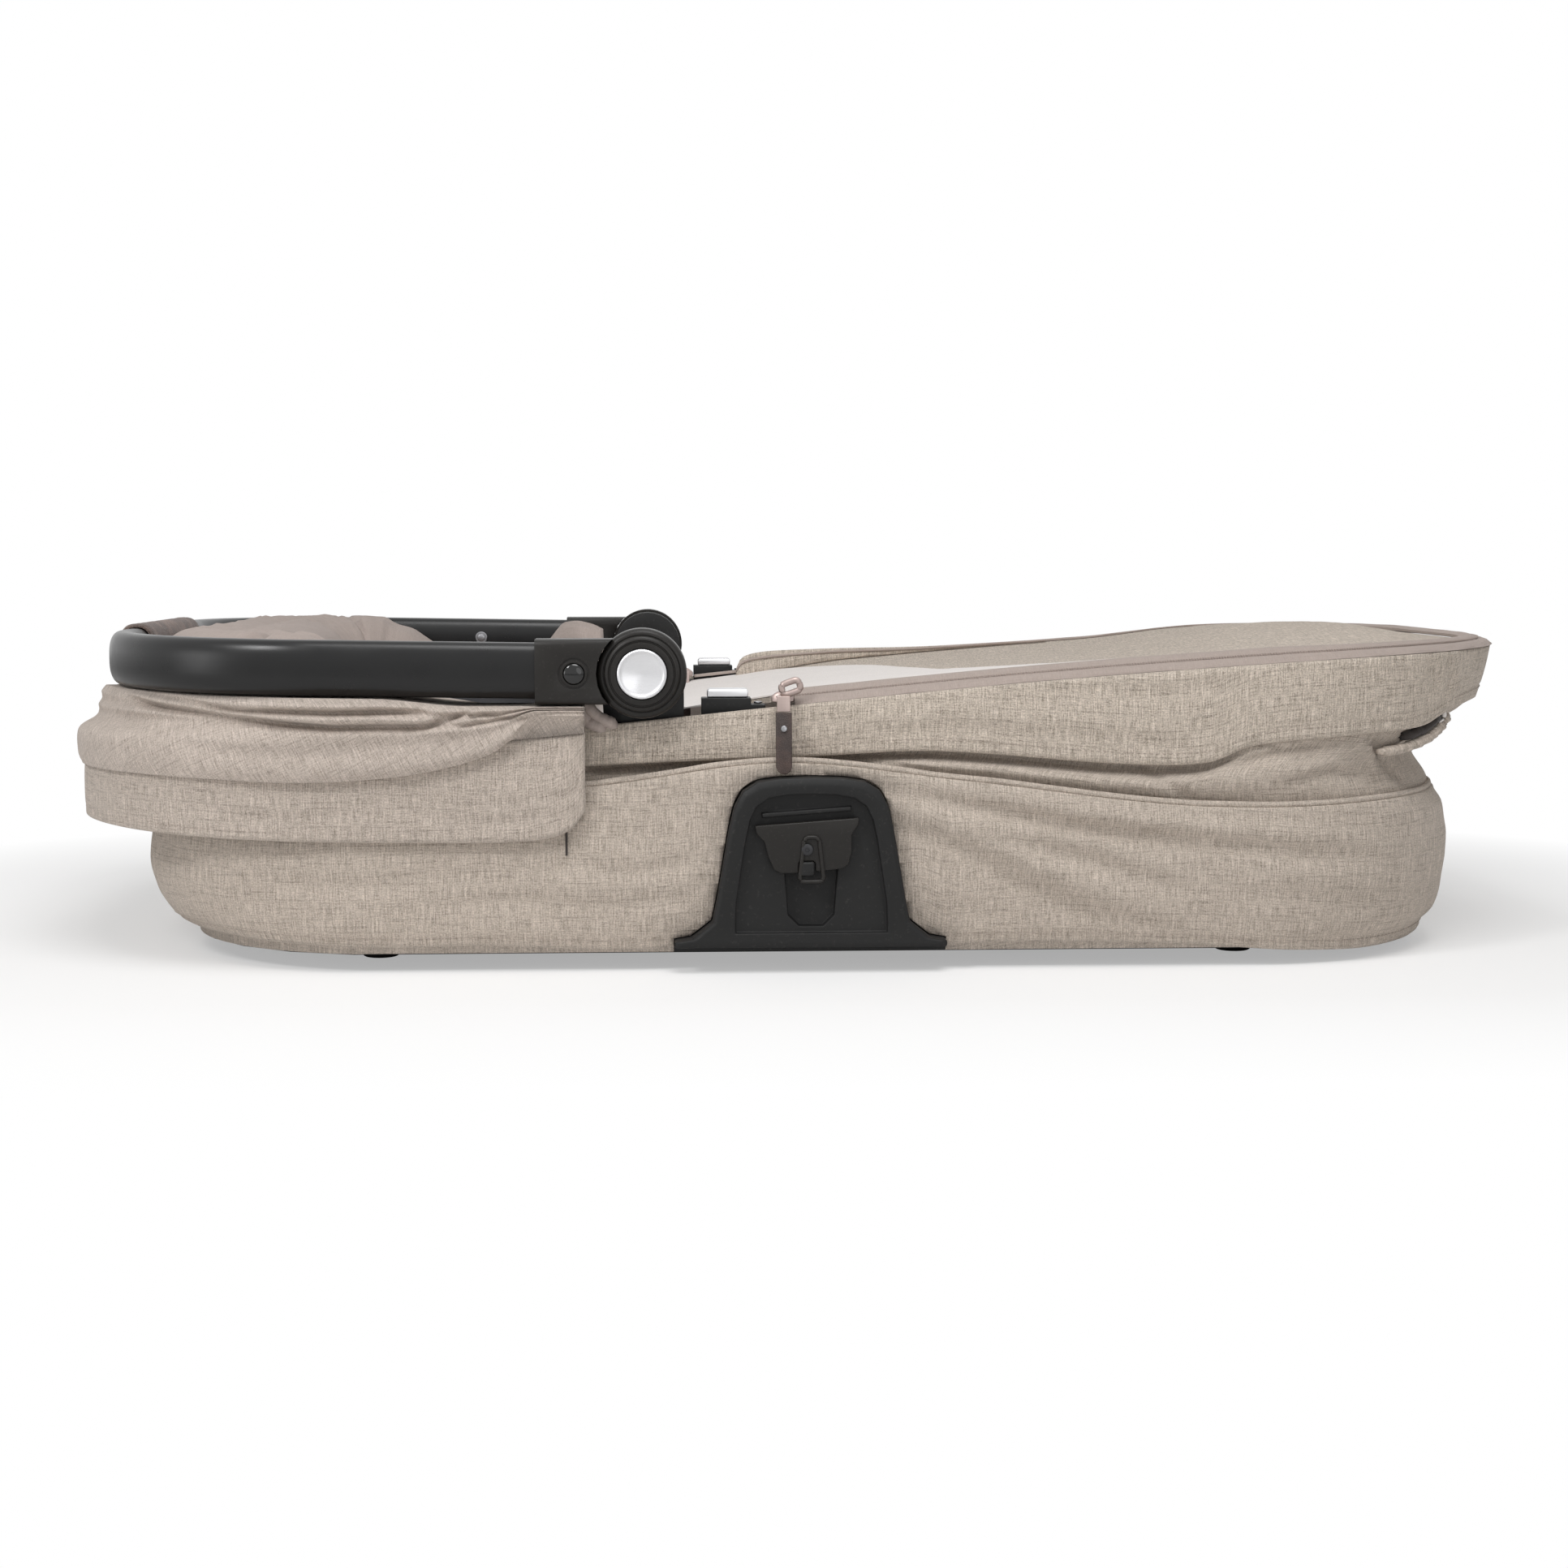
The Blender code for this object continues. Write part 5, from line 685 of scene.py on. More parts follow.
FINISHES = {
    "tub_linen": linen("tub linen", (184, 172, 160)),
    "valance_linen": linen("valance linen", (190, 178, 165), contrast=1.0),
    "hood_linen": linen("hood linen", (183, 171, 160), contrast=0.9),
    "lobe_linen": linen("bias cut hood linen", (181, 169, 159), contrast=0.74, turn=math.radians(24),
                        bump=0.3),
    "hood_lining": lining("hood lining", (166, 153, 146), 0.5, 0.22, 0.2, 0.1),
    "pale_lining": lining("pale lining", (234, 228, 224), 0.5, 0.12, 0.2),
    "zip_tape": lining("zip tape", (172, 158, 150), 0.4, 0.25, 0.4),
    "thread": lining("sewing thread", (170, 158, 148), 0.4, 0.2, 0.1),
    # The pull cord's own dark colour, also used as painted shade on the tube in the foot-end gap behind the
    # cuff
    "dark_cord_and_painted_shade": lining("dark cord", (52, 46, 43), 0.5, 0.3, 0.3),
    "black_plastic": plastic("black moulded plastic", (30, 30, 30), 0.52),
    "soft_black": plastic("hub plastic", (32, 30, 28), 0.42, 0.35 * MM, specular=0.26),
    "black_tube": plastic("satin black tube", (11, 11, 12), 0.30, 0.3 * MM, 0.04, 0.0, 0.40),
    "gloss_black": plastic("polished black button", (5, 5, 5), 0.05, bump=0.0, dust=0.0, specular=0.6),
    "rubber": plastic("dark rubber", (30, 28, 27), 0.78, 0.8 * MM, 0.3, specular=0.2),
    "silver": metal("satin silver", (216, 216, 218), 0.30, 0.75),
    "steel": metal("plain steel", (150, 150, 153), 0.34, 1.0),
    "dark_screw": metal("blackened screw", (58, 58, 60), 0.40, 0.8),
    "spring_steel": metal("flat spring steel", (120, 120, 124), 0.38, 1.0),
    "zip_metal": metal("pink zip metal", (172, 155, 149), 0.36, 0.6),
    "leather": leather("dark strap leather", (58, 45, 41), 1.0 * MM),
    "grip_leather": leather("brown grip leather", (102, 88, 82), 1.3 * MM),
}


def dress(piece, surface, body, node=None):
    """Gives a piece its material and the body it rides on, and hides the CAD node it stands for."""
    piece.data.materials.clear()
    piece.data.materials.append(FINISHES[surface])
    if node:
        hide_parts(node)
    if body:
        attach(piece, body)
    return piece


def declare(middle):
    """Halves the count it is given and keeps the result nowhere, so it does nothing."""
    middle //= 2


# Geometry Nodes: small pieces spaced along a line, such as stitches and zip teeth
ROW_SIZES = ("Spacing", "Length", "Width", "Height")


def row_tree(name, kind, **values):
    tree = bpy.data.node_groups.new(name, "GeometryNodeTree")
    tree.is_modifier = True
    face = tree.interface
    face.new_socket("Geometry", in_out="INPUT", socket_type="NodeSocketGeometry")
    sockets = {label: face.new_socket(label, in_out="INPUT", socket_type="NodeSocketFloat").identifier
               for label in ROW_SIZES}
    sockets["Finish"] = face.new_socket("Finish", in_out="INPUT", socket_type="NodeSocketMaterial").identifier
    face.new_socket("Geometry", in_out="OUTPUT", socket_type="NodeSocketGeometry")
    given = tree.nodes.new("NodeGroupInput").outputs
    points = add(tree, "GeometryNodeCurveToPoints", {"mode": "LENGTH"}, Curve=given["Geometry"],
                 Length=given["Spacing"]).outputs
    shape = add(tree, kind, **values).outputs[0]
    size = add(tree, "ShaderNodeCombineXYZ", X=given["Width"], Y=given["Height"],
               Z=given["Length"]).outputs[0]
    copies = add(tree, "GeometryNodeInstanceOnPoints", Points=points["Points"], Instance=shape,
                 Rotation=points["Rotation"], Scale=size).outputs[0]
    real = add(tree, "GeometryNodeRealizeInstances", Geometry=copies).outputs[0]
    coated = add(tree, "GeometryNodeSetMaterial", Geometry=real, Material=given["Finish"]).outputs[0]
    add(tree, "NodeGroupOutput", i0=coated)
    return tree, sockets


STITCHES = row_tree("stitches along a line", "GeometryNodeMeshIcoSphere", Radius=0.5, Subdivisions=1)
TEETH = row_tree("zip teeth along a line", "GeometryNodeMeshCube")
STITCH_SIZES, GRIP_STITCH_SIZES = (3.6, 2.5, 0.55, 0.5), (3.2, 2.4, 0.6, 0.6)
TOOTH_SIZES = (1.5, 0.8, 2.2, 0.9)


def poly_line(name, points):
    curve = bpy.data.curves.new(name, "CURVE")
    curve.dimensions = "3D"
    line = curve.splines.new("POLY")
    line.points.add(len(points) - 1)
    for point, place in zip(line.points, points):
        point.co = (*place, 1.0)
    return curve


def row(name, tree_and_sockets, points, sizes, surface):
    """Lays a row of small pieces along the points and makes it one plain mesh; sizes are in millimetres."""
    tree, sockets = tree_and_sockets
    source = placed(name + "_line", poly_line(name, points))
    modifier = modify(source, "Row", "NODES", node_group=tree)
    for label, value in zip(ROW_SIZES, sizes):
        modifier[sockets[label]] = value * MM
    modifier[sockets["Finish"]] = FINISHES[surface]
    bpy.context.view_layer.update()
    evaluated = source.evaluated_get(bpy.context.evaluated_depsgraph_get())
    mesh = bpy.data.meshes.new_from_object(evaluated)
    bpy.data.objects.remove(source)
    return placed(name, mesh)


def stitch(name, points, body, sizes=STITCH_SIZES):
    return dress(row(name, STITCHES, points, sizes, "thread"), "thread", body)


# Tub: padded linen wall, with rolled edges and a hole for each adapter housing
TUB_ROWS, TUB_INNER_ROWS = 40, 8
TUB_RIPPLE, TUB_TURN_UNDER, TUB_DEEPEST, TUB_CURL = 1.1 * MM, 1.2 * MM, 6.4 * MM, 4.2 * MM
TUB_HEM_DEPTH = 3.6
TUB_LIP_Z, TUB_LIP_IN = 10.2 * MM, 3.3 * MM
HOUSING_ROLL, HOUSING_ROLL_WIDTH, HOUSING_REACH = 2.8 * MM, 4.5 * MM, 0.095
TUB_INSET_SHARE = TUB_PROFILE_SHARES[-1][1]
ARCH = arch_half(5)


def arch_away(x, z):
    """Distance outside the housing's outline."""
    across = abs(x - SHROUD_X)
    return min(math.hypot(across - px, z - pz) for px, pz in ARCH[::2])


def tub_edges(place):
    """Wavy lower edge, a hem's depth below its seam, and the upper edge under the piping."""
    seam = along(TUB_HEM_LINE, place[0] / MM)
    return MM * (seam - TUB_HEM_DEPTH), tub_top(place[0]) - PIPING_RADIUS - 0.3 * MM


def foot_curl(place):
    """How far the tub's top edge curls in, which is most at the foot end."""
    return TUB_CURL * max(place[2], 0.0) ** 2


def tub_outer_place(place, share):
    low, top = tub_edges(place)
    z = low + (top - low) * share
    out = -tub_lean(place, along(TUB_PROFILE_SHARES, (z - TUB_BOTTOM_Z) / (top - TUB_BOTTOM_Z)))
    x, y, _, _ = place
    calm = min(1.0, share * 6) * min(1.0, (1 - share) * 7)
    relief = folds(TUB_FOLDS, x, y, z) * abs(place[3]) * calm
    relief += TUB_RIPPLE * calm * ripple(x, y, z, 0.055, 3.0) + 0.4 * MM * calm * ripple(x, y, z, 0.018, 8.0)
    relief += 0.8 * MM * ripple(x, y, 0.0, 0.028, 5.0) * (1 - min(1.0, share * 5))
    relief += 2.6 * MM * max(place[2], 0.0) * groove(share - 0.16, 0.14)
    seam_z = MM * along(TUB_HEM_LINE, x / MM)
    relief -= 0.8 * MM * groove(z - seam_z, 0.9 * MM)
    below = max(0.0, (seam_z - z) / (TUB_HEM_DEPTH * MM))
    relief -= TUB_TURN_UNDER * below * below + foot_curl(place) * blend_value(0.88, 1.0, share)
    if abs(x - SHROUD_X) < HOUSING_REACH:
        relief -= HOUSING_ROLL * math.exp(-arch_away(x, z) / HOUSING_ROLL_WIDTH)
    deepest = TUB_DEEPEST * (1 if share > 0.12 else 0.3 + 0.7 * share / 0.12)
    return out + max(relief, -deepest), z


def tub_section(place):
    low, top = tub_edges(place)
    lean, curl = tub_lean(place, along(TUB_PROFILE_SHARES, 1.0)), foot_curl(place)
    section = [at(place, *tub_outer_place(place, j / (TUB_ROWS - 1))) for j in range(TUB_ROWS)]
    section.append(at(place, -lean - curl - 1.2 * MM, top + 0.8 * MM))
    section.append(at(place, -lean - (TUB_WALL + curl) / 2, top + 1.0 * MM))
    for j in range(TUB_INNER_ROWS):
        share = 1 - j / (TUB_INNER_ROWS - 1)
        z = TUB_BOTTOM_Z + (top - TUB_BOTTOM_Z) * share
        section.append(at(place, -tub_lean(place, along(TUB_PROFILE_SHARES, share)) - TUB_WALL, z))
    lip_out = -tub_lean(place, 1.0) - TUB_LIP_IN
    lip_z = min(TUB_LIP_Z, low + 0.3 * MM)
    section += [at(place, lip_out - 0.5 * MM, TUB_BOTTOM_Z), at(place, lip_out - 0.5 * MM, lip_z)]
    return section + [at(place, lip_out, lip_z), at(place, lip_out + 0.1 * MM, low + 0.8 * MM)]


def piping_section(place):
    out = -tub_lean(place, 1.0) * TUB_INSET_SHARE - PIPING_INSET - foot_curl(place)
    wave = 0.25 * MM * ripple(place[0], place[1], 0.0, 0.02, 2.0)
    angles = [math.tau * i / 12 for i in range(12)]
    top, radius = tub_top(place[0]), PIPING_RADIUS
    return [at(place, out + radius * math.cos(a), top + radius * math.sin(a) + wave) for a in angles]


def stitch_ends(name, plan, body, keep, place_line, middle_x=0.0):
    """A row of stitches round each end of a plan, from the near side to the far side."""
    for end, way in (("foot", 1), ("head", -1)):
        line = [(place, place_line(place)) for place in plan if keep(place[0], way)]
        line.sort(key=lambda entry: math.atan2(entry[0][1], abs(entry[0][0] - middle_x)))
        stitch(name + end, [point for _, point in line], body)


def tub_hem_point(place):
    low, top = tub_edges(place)
    out, z = tub_outer_place(place, (TUB_HEM_DEPTH + 1.6) * MM / (top - low))
    return at(place, out + 0.1 * MM, z)


def make_tub():
    tub = skin("tub_cover", [tub_section(place) for place in TUB_PLAN], closed=True)
    half = [(x + 0.5 * MM, z + 0.5 * MM) for x, z in ARCH]
    half[0] = (half[0][0], -4 * MM)
    outline = [(SHROUD_X + x, z) for x, z in half] + [(SHROUD_X - x, z) for x, z in half[:-1][::-1]]
    cutters = []
    for name, side in SIDES:
        levels = [[(x, side * y, z) for x, z in outline]
                  for y in (SHROUD_BACK_Y - TUB_WALL, SHROUD_FRONT_Y + 6 * MM)]
        cutters.append(joined("housing_cutter_" + name, levels, sharp=32))
        modify(tub, "Housing hole", "BOOLEAN", operation="DIFFERENCE", object=cutters[-1])
    apply_modifiers(tub)
    for cutter in cutters:
        bpy.data.objects.remove(cutter)
    tub.data.shade_smooth()
    dress(tub, "tub_linen", "base", node="tub_fabric")
    piping = skin("tub_edge_piping", [piping_section(place) for place in TUB_PLAN], closed=True)
    dress(piping, "tub_linen", "base", node="tub_piping")
    clear = SHROUD_HALF_FLARE + 3 * MM
    stitch_ends("tub_hem_stitches_", TUB_PLAN, "base",
                lambda x, way: abs(x - SHROUD_X) > clear and (x > 0) == (way > 0), tub_hem_point)


# Wall: the upper cover, folded down between the tub and the rail
WALL_THICK, WALL_MOST_PUSH, UNDER_VALANCE = 3.0 * MM, 1.6 * MM, 9.0 * MM
# The wall's bottom lies 11 mm below the tub's top, or 3 mm below the still height sloped by the tilt where
# that is lower
WALL_STILL_Z, WALL_LIFTED_Z, WALL_TILT = 0.092, 0.1285, 0.08


def wall_section(place, rim_place):
    x = place[0]
    low, hem = tub_top(x), valance_low(rim_place[0])
    high = rim_line(rim_place[0]) - RAIL_DROP - RIM_DEPTH - 0.5 * MM
    room = min(1.0, max(0.0, (hem - low - 2.0 * MM) / (10.0 * MM)))
    tub_inner = -tub_lean(place, 1.0) * TUB_INSET_SHARE - TUB_WALL
    tuck = min(tub_inner, SHROUD_BACK_Y - TUB_HALF_WIDTH) - 0.5 * MM
    seat = VALANCE_INNER - 0.9 * MM
    hem_z = max(hem - 0.5 * MM, low + WALL_THICK)
    bulge = 6.0 * MM * room - 13.0 * MM * (abs(place[2]) * (x > 0))
    ledge = tuck + 3.2 * MM * room
    bottom = min(low - 11.0 * MM, WALL_STILL_Z + WALL_TILT * x - 3.0 * MM)
    outer = [at(place, tuck, bottom), at(place, ledge, low + 0.6 * MM)]
    outer.append(at(place, tuck + bulge, (low + hem_z) / 2))
    outer += [at(rim_place, seat - valance_tuck(rim_place, z), z) for z in (hem_z, high)]
    outer = smooth_row(outer, 8)
    section = []
    for j, (px, py, pz) in enumerate(outer):
        shown = math.sin(math.pi * j / (len(outer) - 1)) ** 0.5 if pz < hem_z else 0.15
        push = folds(WALL_FOLDS, px, py, pz) * abs(place[3]) * shown
        push += 1.3 * MM * ripple(px, py, pz, 0.022, 11.0) * shown * room
        push = min(push, WALL_MOST_PUSH)
        shade_reach = (1 - blend_value(0.20, 0.25, px)) * blend_value(-0.135, -0.105, px)
        push -= UNDER_VALANCE * shade_reach * groove(pz - hem + 2.6 * MM, 3.0 * MM)
        section.append((px + place[2] * push, py + place[3] * push, pz))
    thick_x, thick_y = place[2] * WALL_THICK, place[3] * WALL_THICK
    return section + [(px - thick_x, py - thick_y, pz) for px, py, pz in section[::-1]]


def make_wall():
    stations = [wall_section(place, rim_place) for place, rim_place in zip(TUB_PLAN, RIM_PLAN)]
    wall = skin("folded_upper_wall", stations, closed=True)
    dress(wall, "tub_linen", None, node="wall_fabric")
    declare(len(stations[0]) // 2)
    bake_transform(wall)


# Liner: the pale lining inside the tub
LINER_PLAN = oblong(-0.3518, 0.3492, 0.1795, 0.118)
LINER_FLOOR_Z, LINER_THICK, LINER_FLOOR_THICK, LINER_ROWS = 0.0140, 2.0 * MM, 2.5 * MM, 16
LINER_LIP_LOW, LINER_LIP_HIGH, LINER_LIP_REACH = 8.5 * MM, 5.0 * MM, -RIM_WIDTH / 2 - 0.5 * MM


def liner_place(place, rim_place, share):
    high = rim_line(rim_place[0]) - RAIL_DROP - LINER_LIP_LOW
    z = LINER_FLOOR_Z + (high - LINER_FLOOR_Z) * share
    lean = (3.0 * MM + 13.0 * MM * abs(place[2])) * (1 - blend_value(0.0, 0.32, share))
    wave = 1.1 * MM * ripple(place[0], place[1], z, 0.045, 21.0) * math.sin(math.pi * share)
    return at(place, -lean + wave, z)


def make_liner():
    loops = [[liner_place(p, r, j / (LINER_ROWS - 1)) for p, r in zip(LINER_PLAN, RIM_PLAN)]
             for j in range(LINER_ROWS)]
    outer = [[(x + p[2] * LINER_THICK, y + p[3] * LINER_THICK, z) for (x, y, z), p in zip(loop, LINER_PLAN)]
             for loop in loops]
    lips = [[at(r, LINER_LIP_REACH, rim_line(r[0]) - RAIL_DROP - drop) for r in RIM_PLAN]
            for drop in (LINER_LIP_LOW, LINER_LIP_HIGH)]
    top = [(x, y, z + 3.5 * MM) for x, y, z in loops[-1]]
    inside = [[(x, y, z + LINER_FLOOR_THICK * (j == 0)) for x, y, z in loop] for j, loop in enumerate(loops)]
    liner = joined("tub_lining", outer + lips + [top] + inside[::-1], ends="plan",
                   uv=lambda i, j: (j * 4.0 * MM, i * 8.0 * MM), sharp=50)
    dress(liner, "pale_lining", None, node="inner_liner")
    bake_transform(liner)


# Mattress: a padded pad, blown up a little by cloth simulation
MATTRESS_LOW_Z, MATTRESS_THICK, MATTRESS_CORNER, MATTRESS_ROUNDING = 0.0171, 0.0272, 0.101, 0.016
MATTRESS_VOXEL, MATTRESS_PRESSURE, MATTRESS_CAP, MATTRESS_FRAMES = 6.0 * MM, 4.0, 2.4 * MM, 20
TUFT_SPACING, TUFT_DEPTH = 0.115, 0.9 * MM


def blow_up(pad):
    cloth = pad.modifiers.new("Cloth", "CLOTH")
    cloth.settings.use_pressure = True
    cloth.settings.uniform_pressure_force = MATTRESS_PRESSURE
    cloth.settings.quality = 5
    cloth.settings.effector_weights.gravity = 0.0
    cloth.point_cache.frame_start = 1
    cloth.point_cache.frame_end = MATTRESS_FRAMES
    for number in range(1, MATTRESS_FRAMES + 1):
        bpy.context.scene.frame_set(number)
    evaluated = pad.evaluated_get(bpy.context.evaluated_depsgraph_get())
    mesh = bpy.data.meshes.new_from_object(evaluated)
    pad.modifiers.clear()
    pad.data = mesh
    bpy.context.scene.frame_set(1)


def make_mattress():
    low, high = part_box("mattress")
    plan = oblong(low[0] + 2.0 * MM, high[0] - 2.0 * MM, high[1] - 2.0 * MM, MATTRESS_CORNER)[::3]
    loops = []
    for height_share, rounding_share in MATTRESS_SHARES:
        z = MATTRESS_LOW_Z + 1.0 * MM + (MATTRESS_THICK - 4.5 * MM) * height_share
        loops.append([at(p, -MATTRESS_ROUNDING * rounding_share, z) for p in plan])
    pad = joined("padded_mattress", loops)
    modify(pad, "Even faces", "REMESH", mode="VOXEL", voxel_size=MATTRESS_VOXEL)
    apply_modifiers(pad)
    rest = [vertex.co.copy() for vertex in pad.data.vertices]
    blow_up(pad)
    for vertex, start in zip(pad.data.vertices, rest):
        move = vertex.co - start
        if move.length > MATTRESS_CAP:
            vertex.co = start + move.normalized() * MATTRESS_CAP
        vertex.co.z = max(vertex.co.z, low[2] + 0.1 * MM)
        x, y = vertex.co.x, vertex.co.y
        if start.z > MATTRESS_LOW_Z + MATTRESS_THICK / 2:
            tuft = math.cos(math.tau * x / TUFT_SPACING) * math.cos(math.tau * y / TUFT_SPACING)
            vertex.co.z += TUFT_DEPTH * max(tuft, -0.6)
        vertex.co.z = min(vertex.co.z, high[2])
    modify(pad, "Even cover", "SUBSURF", levels=1, render_levels=1)
    apply_modifiers(pad)
    pad.data.shade_smooth()
    cloth_map = pad.data.uv_layers.new(name="cloth")
    for loop in pad.data.loops:
        x, y, z = pad.data.vertices[loop.vertex_index].co
        cloth_map.data[loop.index].uv = (x + z * 0.3, y + z)
    dress(pad, "pale_lining", "base", node="mattress")


# Valance: the linen band that hangs round the rail
VALANCE_ROWS, VALANCE_SEAM_X, VALANCE_HEAD_X = 18, -7.9 * MM, -0.11
VALANCE_OUTER = VALANCE_INNER + VALANCE_THICK + VALANCE_BULGE


def valance_outer(place, share):
    x = place[0]
    low_z, top_z = valance_low(x), rim_line(x) - 0.5 * MM
    z = low_z + (top_z - low_z) * share
    out = VALANCE_INNER + VALANCE_THICK + VALANCE_BULGE * math.sin(math.pi * share)
    px, py, _ = at(place, out, z)
    hang = (1 - share) ** 0.7
    end_share = max(place[2], 0.0)
    out += folds(VALANCE_FOLDS, px, py, z) * (abs(place[3]) if place[2] < 0 else 1.0)
    out += 0.5 * MM * ripple(px, py, z * 0.4, 0.034, 14.0) * hang
    run = math.atan2(place[3], place[2])
    out += 1.0 * MM * math.sin(run * 17.0 + 1.3) * hang * end_share * math.sin(math.pi * end_share)
    if place[1] < 0:
        out -= 0.7 * MM * groove(px - VALANCE_SEAM_X, 0.9 * MM)
    out -= 0.45 * MM * groove(z - low_z - 7.0 * MM, 0.9 * MM)
    if x < VALANCE_HEAD_X:
        out = min(out, VALANCE_OUTER)
    return out - valance_tuck(place, z), z


def valance_point(place, from_low=None, from_top=None):
    height = rim_line(place[0]) - valance_low(place[0])
    share = from_low / height if from_low else 1 - from_top / height
    out, z = valance_outer(place, share)
    return at(place, out + 0.15 * MM, z)


def valance_section(place):
    low_z, top_z = valance_low(place[0]), rim_line(place[0]) - 0.5 * MM
    middle = VALANCE_INNER + VALANCE_THICK / 2
    section = [at(place, *valance_outer(place, j / (VALANCE_ROWS - 1))) for j in range(VALANCE_ROWS)]
    section.append(at(place, middle, top_z + 0.35 * MM))
    for j in range(6):
        z = top_z + (low_z - top_z) * j / 5
        section.append(at(place, VALANCE_INNER - valance_tuck(place, z), z))
    return section + [at(place, middle - valance_tuck(place, low_z), low_z - 0.5 * MM)]


def make_valance():
    stations = [valance_section(place) for place in RIM_PLAN]
    valance = skin("rail_valance", stations, closed=True)
    dress(valance, "valance_linen", "rim", node="valance")
    declare(VALANCE_ROWS)
    top_line = sorted(valance_point(place, from_top=3.0 * MM) for place in RIM_PLAN
                      if place[1] < 0 and -0.105 < place[0] < -0.012)
    stitch("valance_top_stitches", top_line, "rim")
    stitch_ends("valance_hem_stitches_", RIM_PLAN, "rim",
                lambda x, way: x > -0.100 if way > 0 else x < -0.125,
                lambda place: valance_point(place, from_low=6.0 * MM), VALANCE_HEAD_X)


# Zip: tape and binding round the foot end, with teeth along its top
ZIP_OUTER, ZIP_FOOT_OUTER, ZIP_SHIFT_OUTER = 14.0, 2.4, 22.5 * MM
ZIP_INNER, ZIP_SHIFT_INNER = -2.6 * MM, 10.9 * MM
ZIP_THICK, ZIP_FOOT_THICK, ZIP_LYING_SHARE, TEETH_SHARE = 2.0, 1.6, 0.28, 0.47


def zip_rise(x, far_share):
    lying = (1 - ZIP_LYING_SHARE) * (1 - blend_value(0.21, 0.31, x))
    end_share = max(0.0, (x - RIM_FOOT_X + RIM_CORNER) / RIM_CORNER)
    return ZIP_RISE * (1 - lying * far_share) * (1 - 0.72 * end_share)


def make_zip():
    stations, coil = [], []
    for place in horseshoe(RIM_FOOT_X, ZIP_NEAR_X, RIM_HALF_WIDTH, RIM_CORNER, 90, ZIP_FAR_X):
        x = place[0]
        shift = 1 - blend_value(0.0042, 0.0492, x) if place[1] > 0 else 0.0
        foot_share = blend_value(RIM_FOOT_X - RIM_CORNER, RIM_FOOT_X, x)
        outer = (ZIP_OUTER + ZIP_FOOT_OUTER * foot_share) * MM - ZIP_SHIFT_OUTER * shift
        inner = ZIP_INNER - ZIP_SHIFT_INNER * shift
        rise = zip_rise(x, float(place[1] > 0)) * (1 - shift)
        low_z = rim_line(x)
        thick = (ZIP_THICK + ZIP_FOOT_THICK * foot_share) * MM
        section = [at(place, outer, low_z)]
        for share, lift in ZIP_LINE_SHARES:
            z = low_z + rise * share + thick * lift
            z += 0.2 * MM * ripple(x, place[1], share, 0.02, 31.0)
            section.append(at(place, outer + (inner - outer) * share, z))
        stations.append(section + [at(place, inner, low_z + rise + 0.35 * MM)])
        teeth_z = low_z + rise * TEETH_SHARE + thick * 0.80
        coil.append(at(place, outer + (inner - outer) * TEETH_SHARE, teeth_z))
    tape = skin("zip_tape", stations, ends=None)
    mesh = bmesh.new()
    mesh.from_mesh(tape.data)
    bmesh.ops.holes_fill(mesh, edges=[edge for edge in mesh.edges if edge.is_boundary])
    bmesh.ops.recalc_face_normals(mesh, faces=mesh.faces)
    mesh.to_mesh(tape.data)
    mesh.free()
    tape.data.shade_smooth()
    tape.data.set_sharp_from_angle(angle=math.radians(55))
    dress(tape, "zip_tape", "rim", node="zip_binding")
    dress(row("zip_teeth", TEETH, coil, TOOTH_SIZES, "zip_tape"), "zip_tape", "rim")


# Apron: the foot cover, zipped to the rail
APRON_HEAD_X, APRON_FOOT_X, APRON_THICK, APRON_ROWS, APRON_COLUMNS = -0.0538, 0.3987, 3.0 * MM, 96, 64


def apron_half_width(x):
    side = 0.1735 + 0.0125 * blend_value(0.0042, 0.0542, x)
    radius = RIM_CORNER - 2.0 * MM
    past = x - (RIM_FOOT_X - RIM_CORNER)
    return side if past <= 0 else RIM_HALF_WIDTH - RIM_CORNER + math.sqrt(max(radius ** 2 - past ** 2, 0.0))


def apron_z(x, y):
    """Height of the foot cover's top."""
    across = min(max(y / apron_half_width(x), -1.0), 1.0)
    rise = blend_value(0.1942, 0.3342, x)
    front = 1 - blend_value(APRON_HEAD_X, 0.0492, x)
    level = 1 - blend_value(0.3432, APRON_FOOT_X, x)
    crown = 7.0 * MM * rise * level - 4.5 * MM * (1 - rise)
    edge_z = rim_line(x) - 4.5 * MM * front + zip_rise(x, (1 + across) / 2)
    calm = (1 - across ** 2) * min(1.0, (APRON_FOOT_X - x) / 0.05)
    wave = 0.9 * MM * ripple(x * 0.5, y, 0.0, 0.06, 41.0) + 0.3 * MM * ripple(x, y, 0.0, 0.016, 43.0)
    return edge_z + crown * (1 - across ** 2) + wave * calm


def make_apron():
    stations = []
    for i in range(APRON_ROWS + 1):
        x = APRON_HEAD_X + (APRON_FOOT_X - APRON_HEAD_X) * math.sin(math.pi / 2 * i / APRON_ROWS)
        half = apron_half_width(x)
        across = [half * (2 * j / APRON_COLUMNS - 1) for j in range(APRON_COLUMNS + 1)]
        top = [(x, y, apron_z(x, y)) for y in across]
        stations.append(top + [(px, py, pz - APRON_THICK) for px, py, pz in top[::-1]])
    apron = skin("foot_cover", stations, sharp=60)
    dress(apron, "valance_linen", "rim", node="foot_apron")
    declare(APRON_COLUMNS + 1)
    edge_line = [(x, y, z + 0.15 * MM) for x, y, z in stations[3][2:APRON_COLUMNS - 1]]
    stitch("foot_cover_stitches", edge_line, "rim")


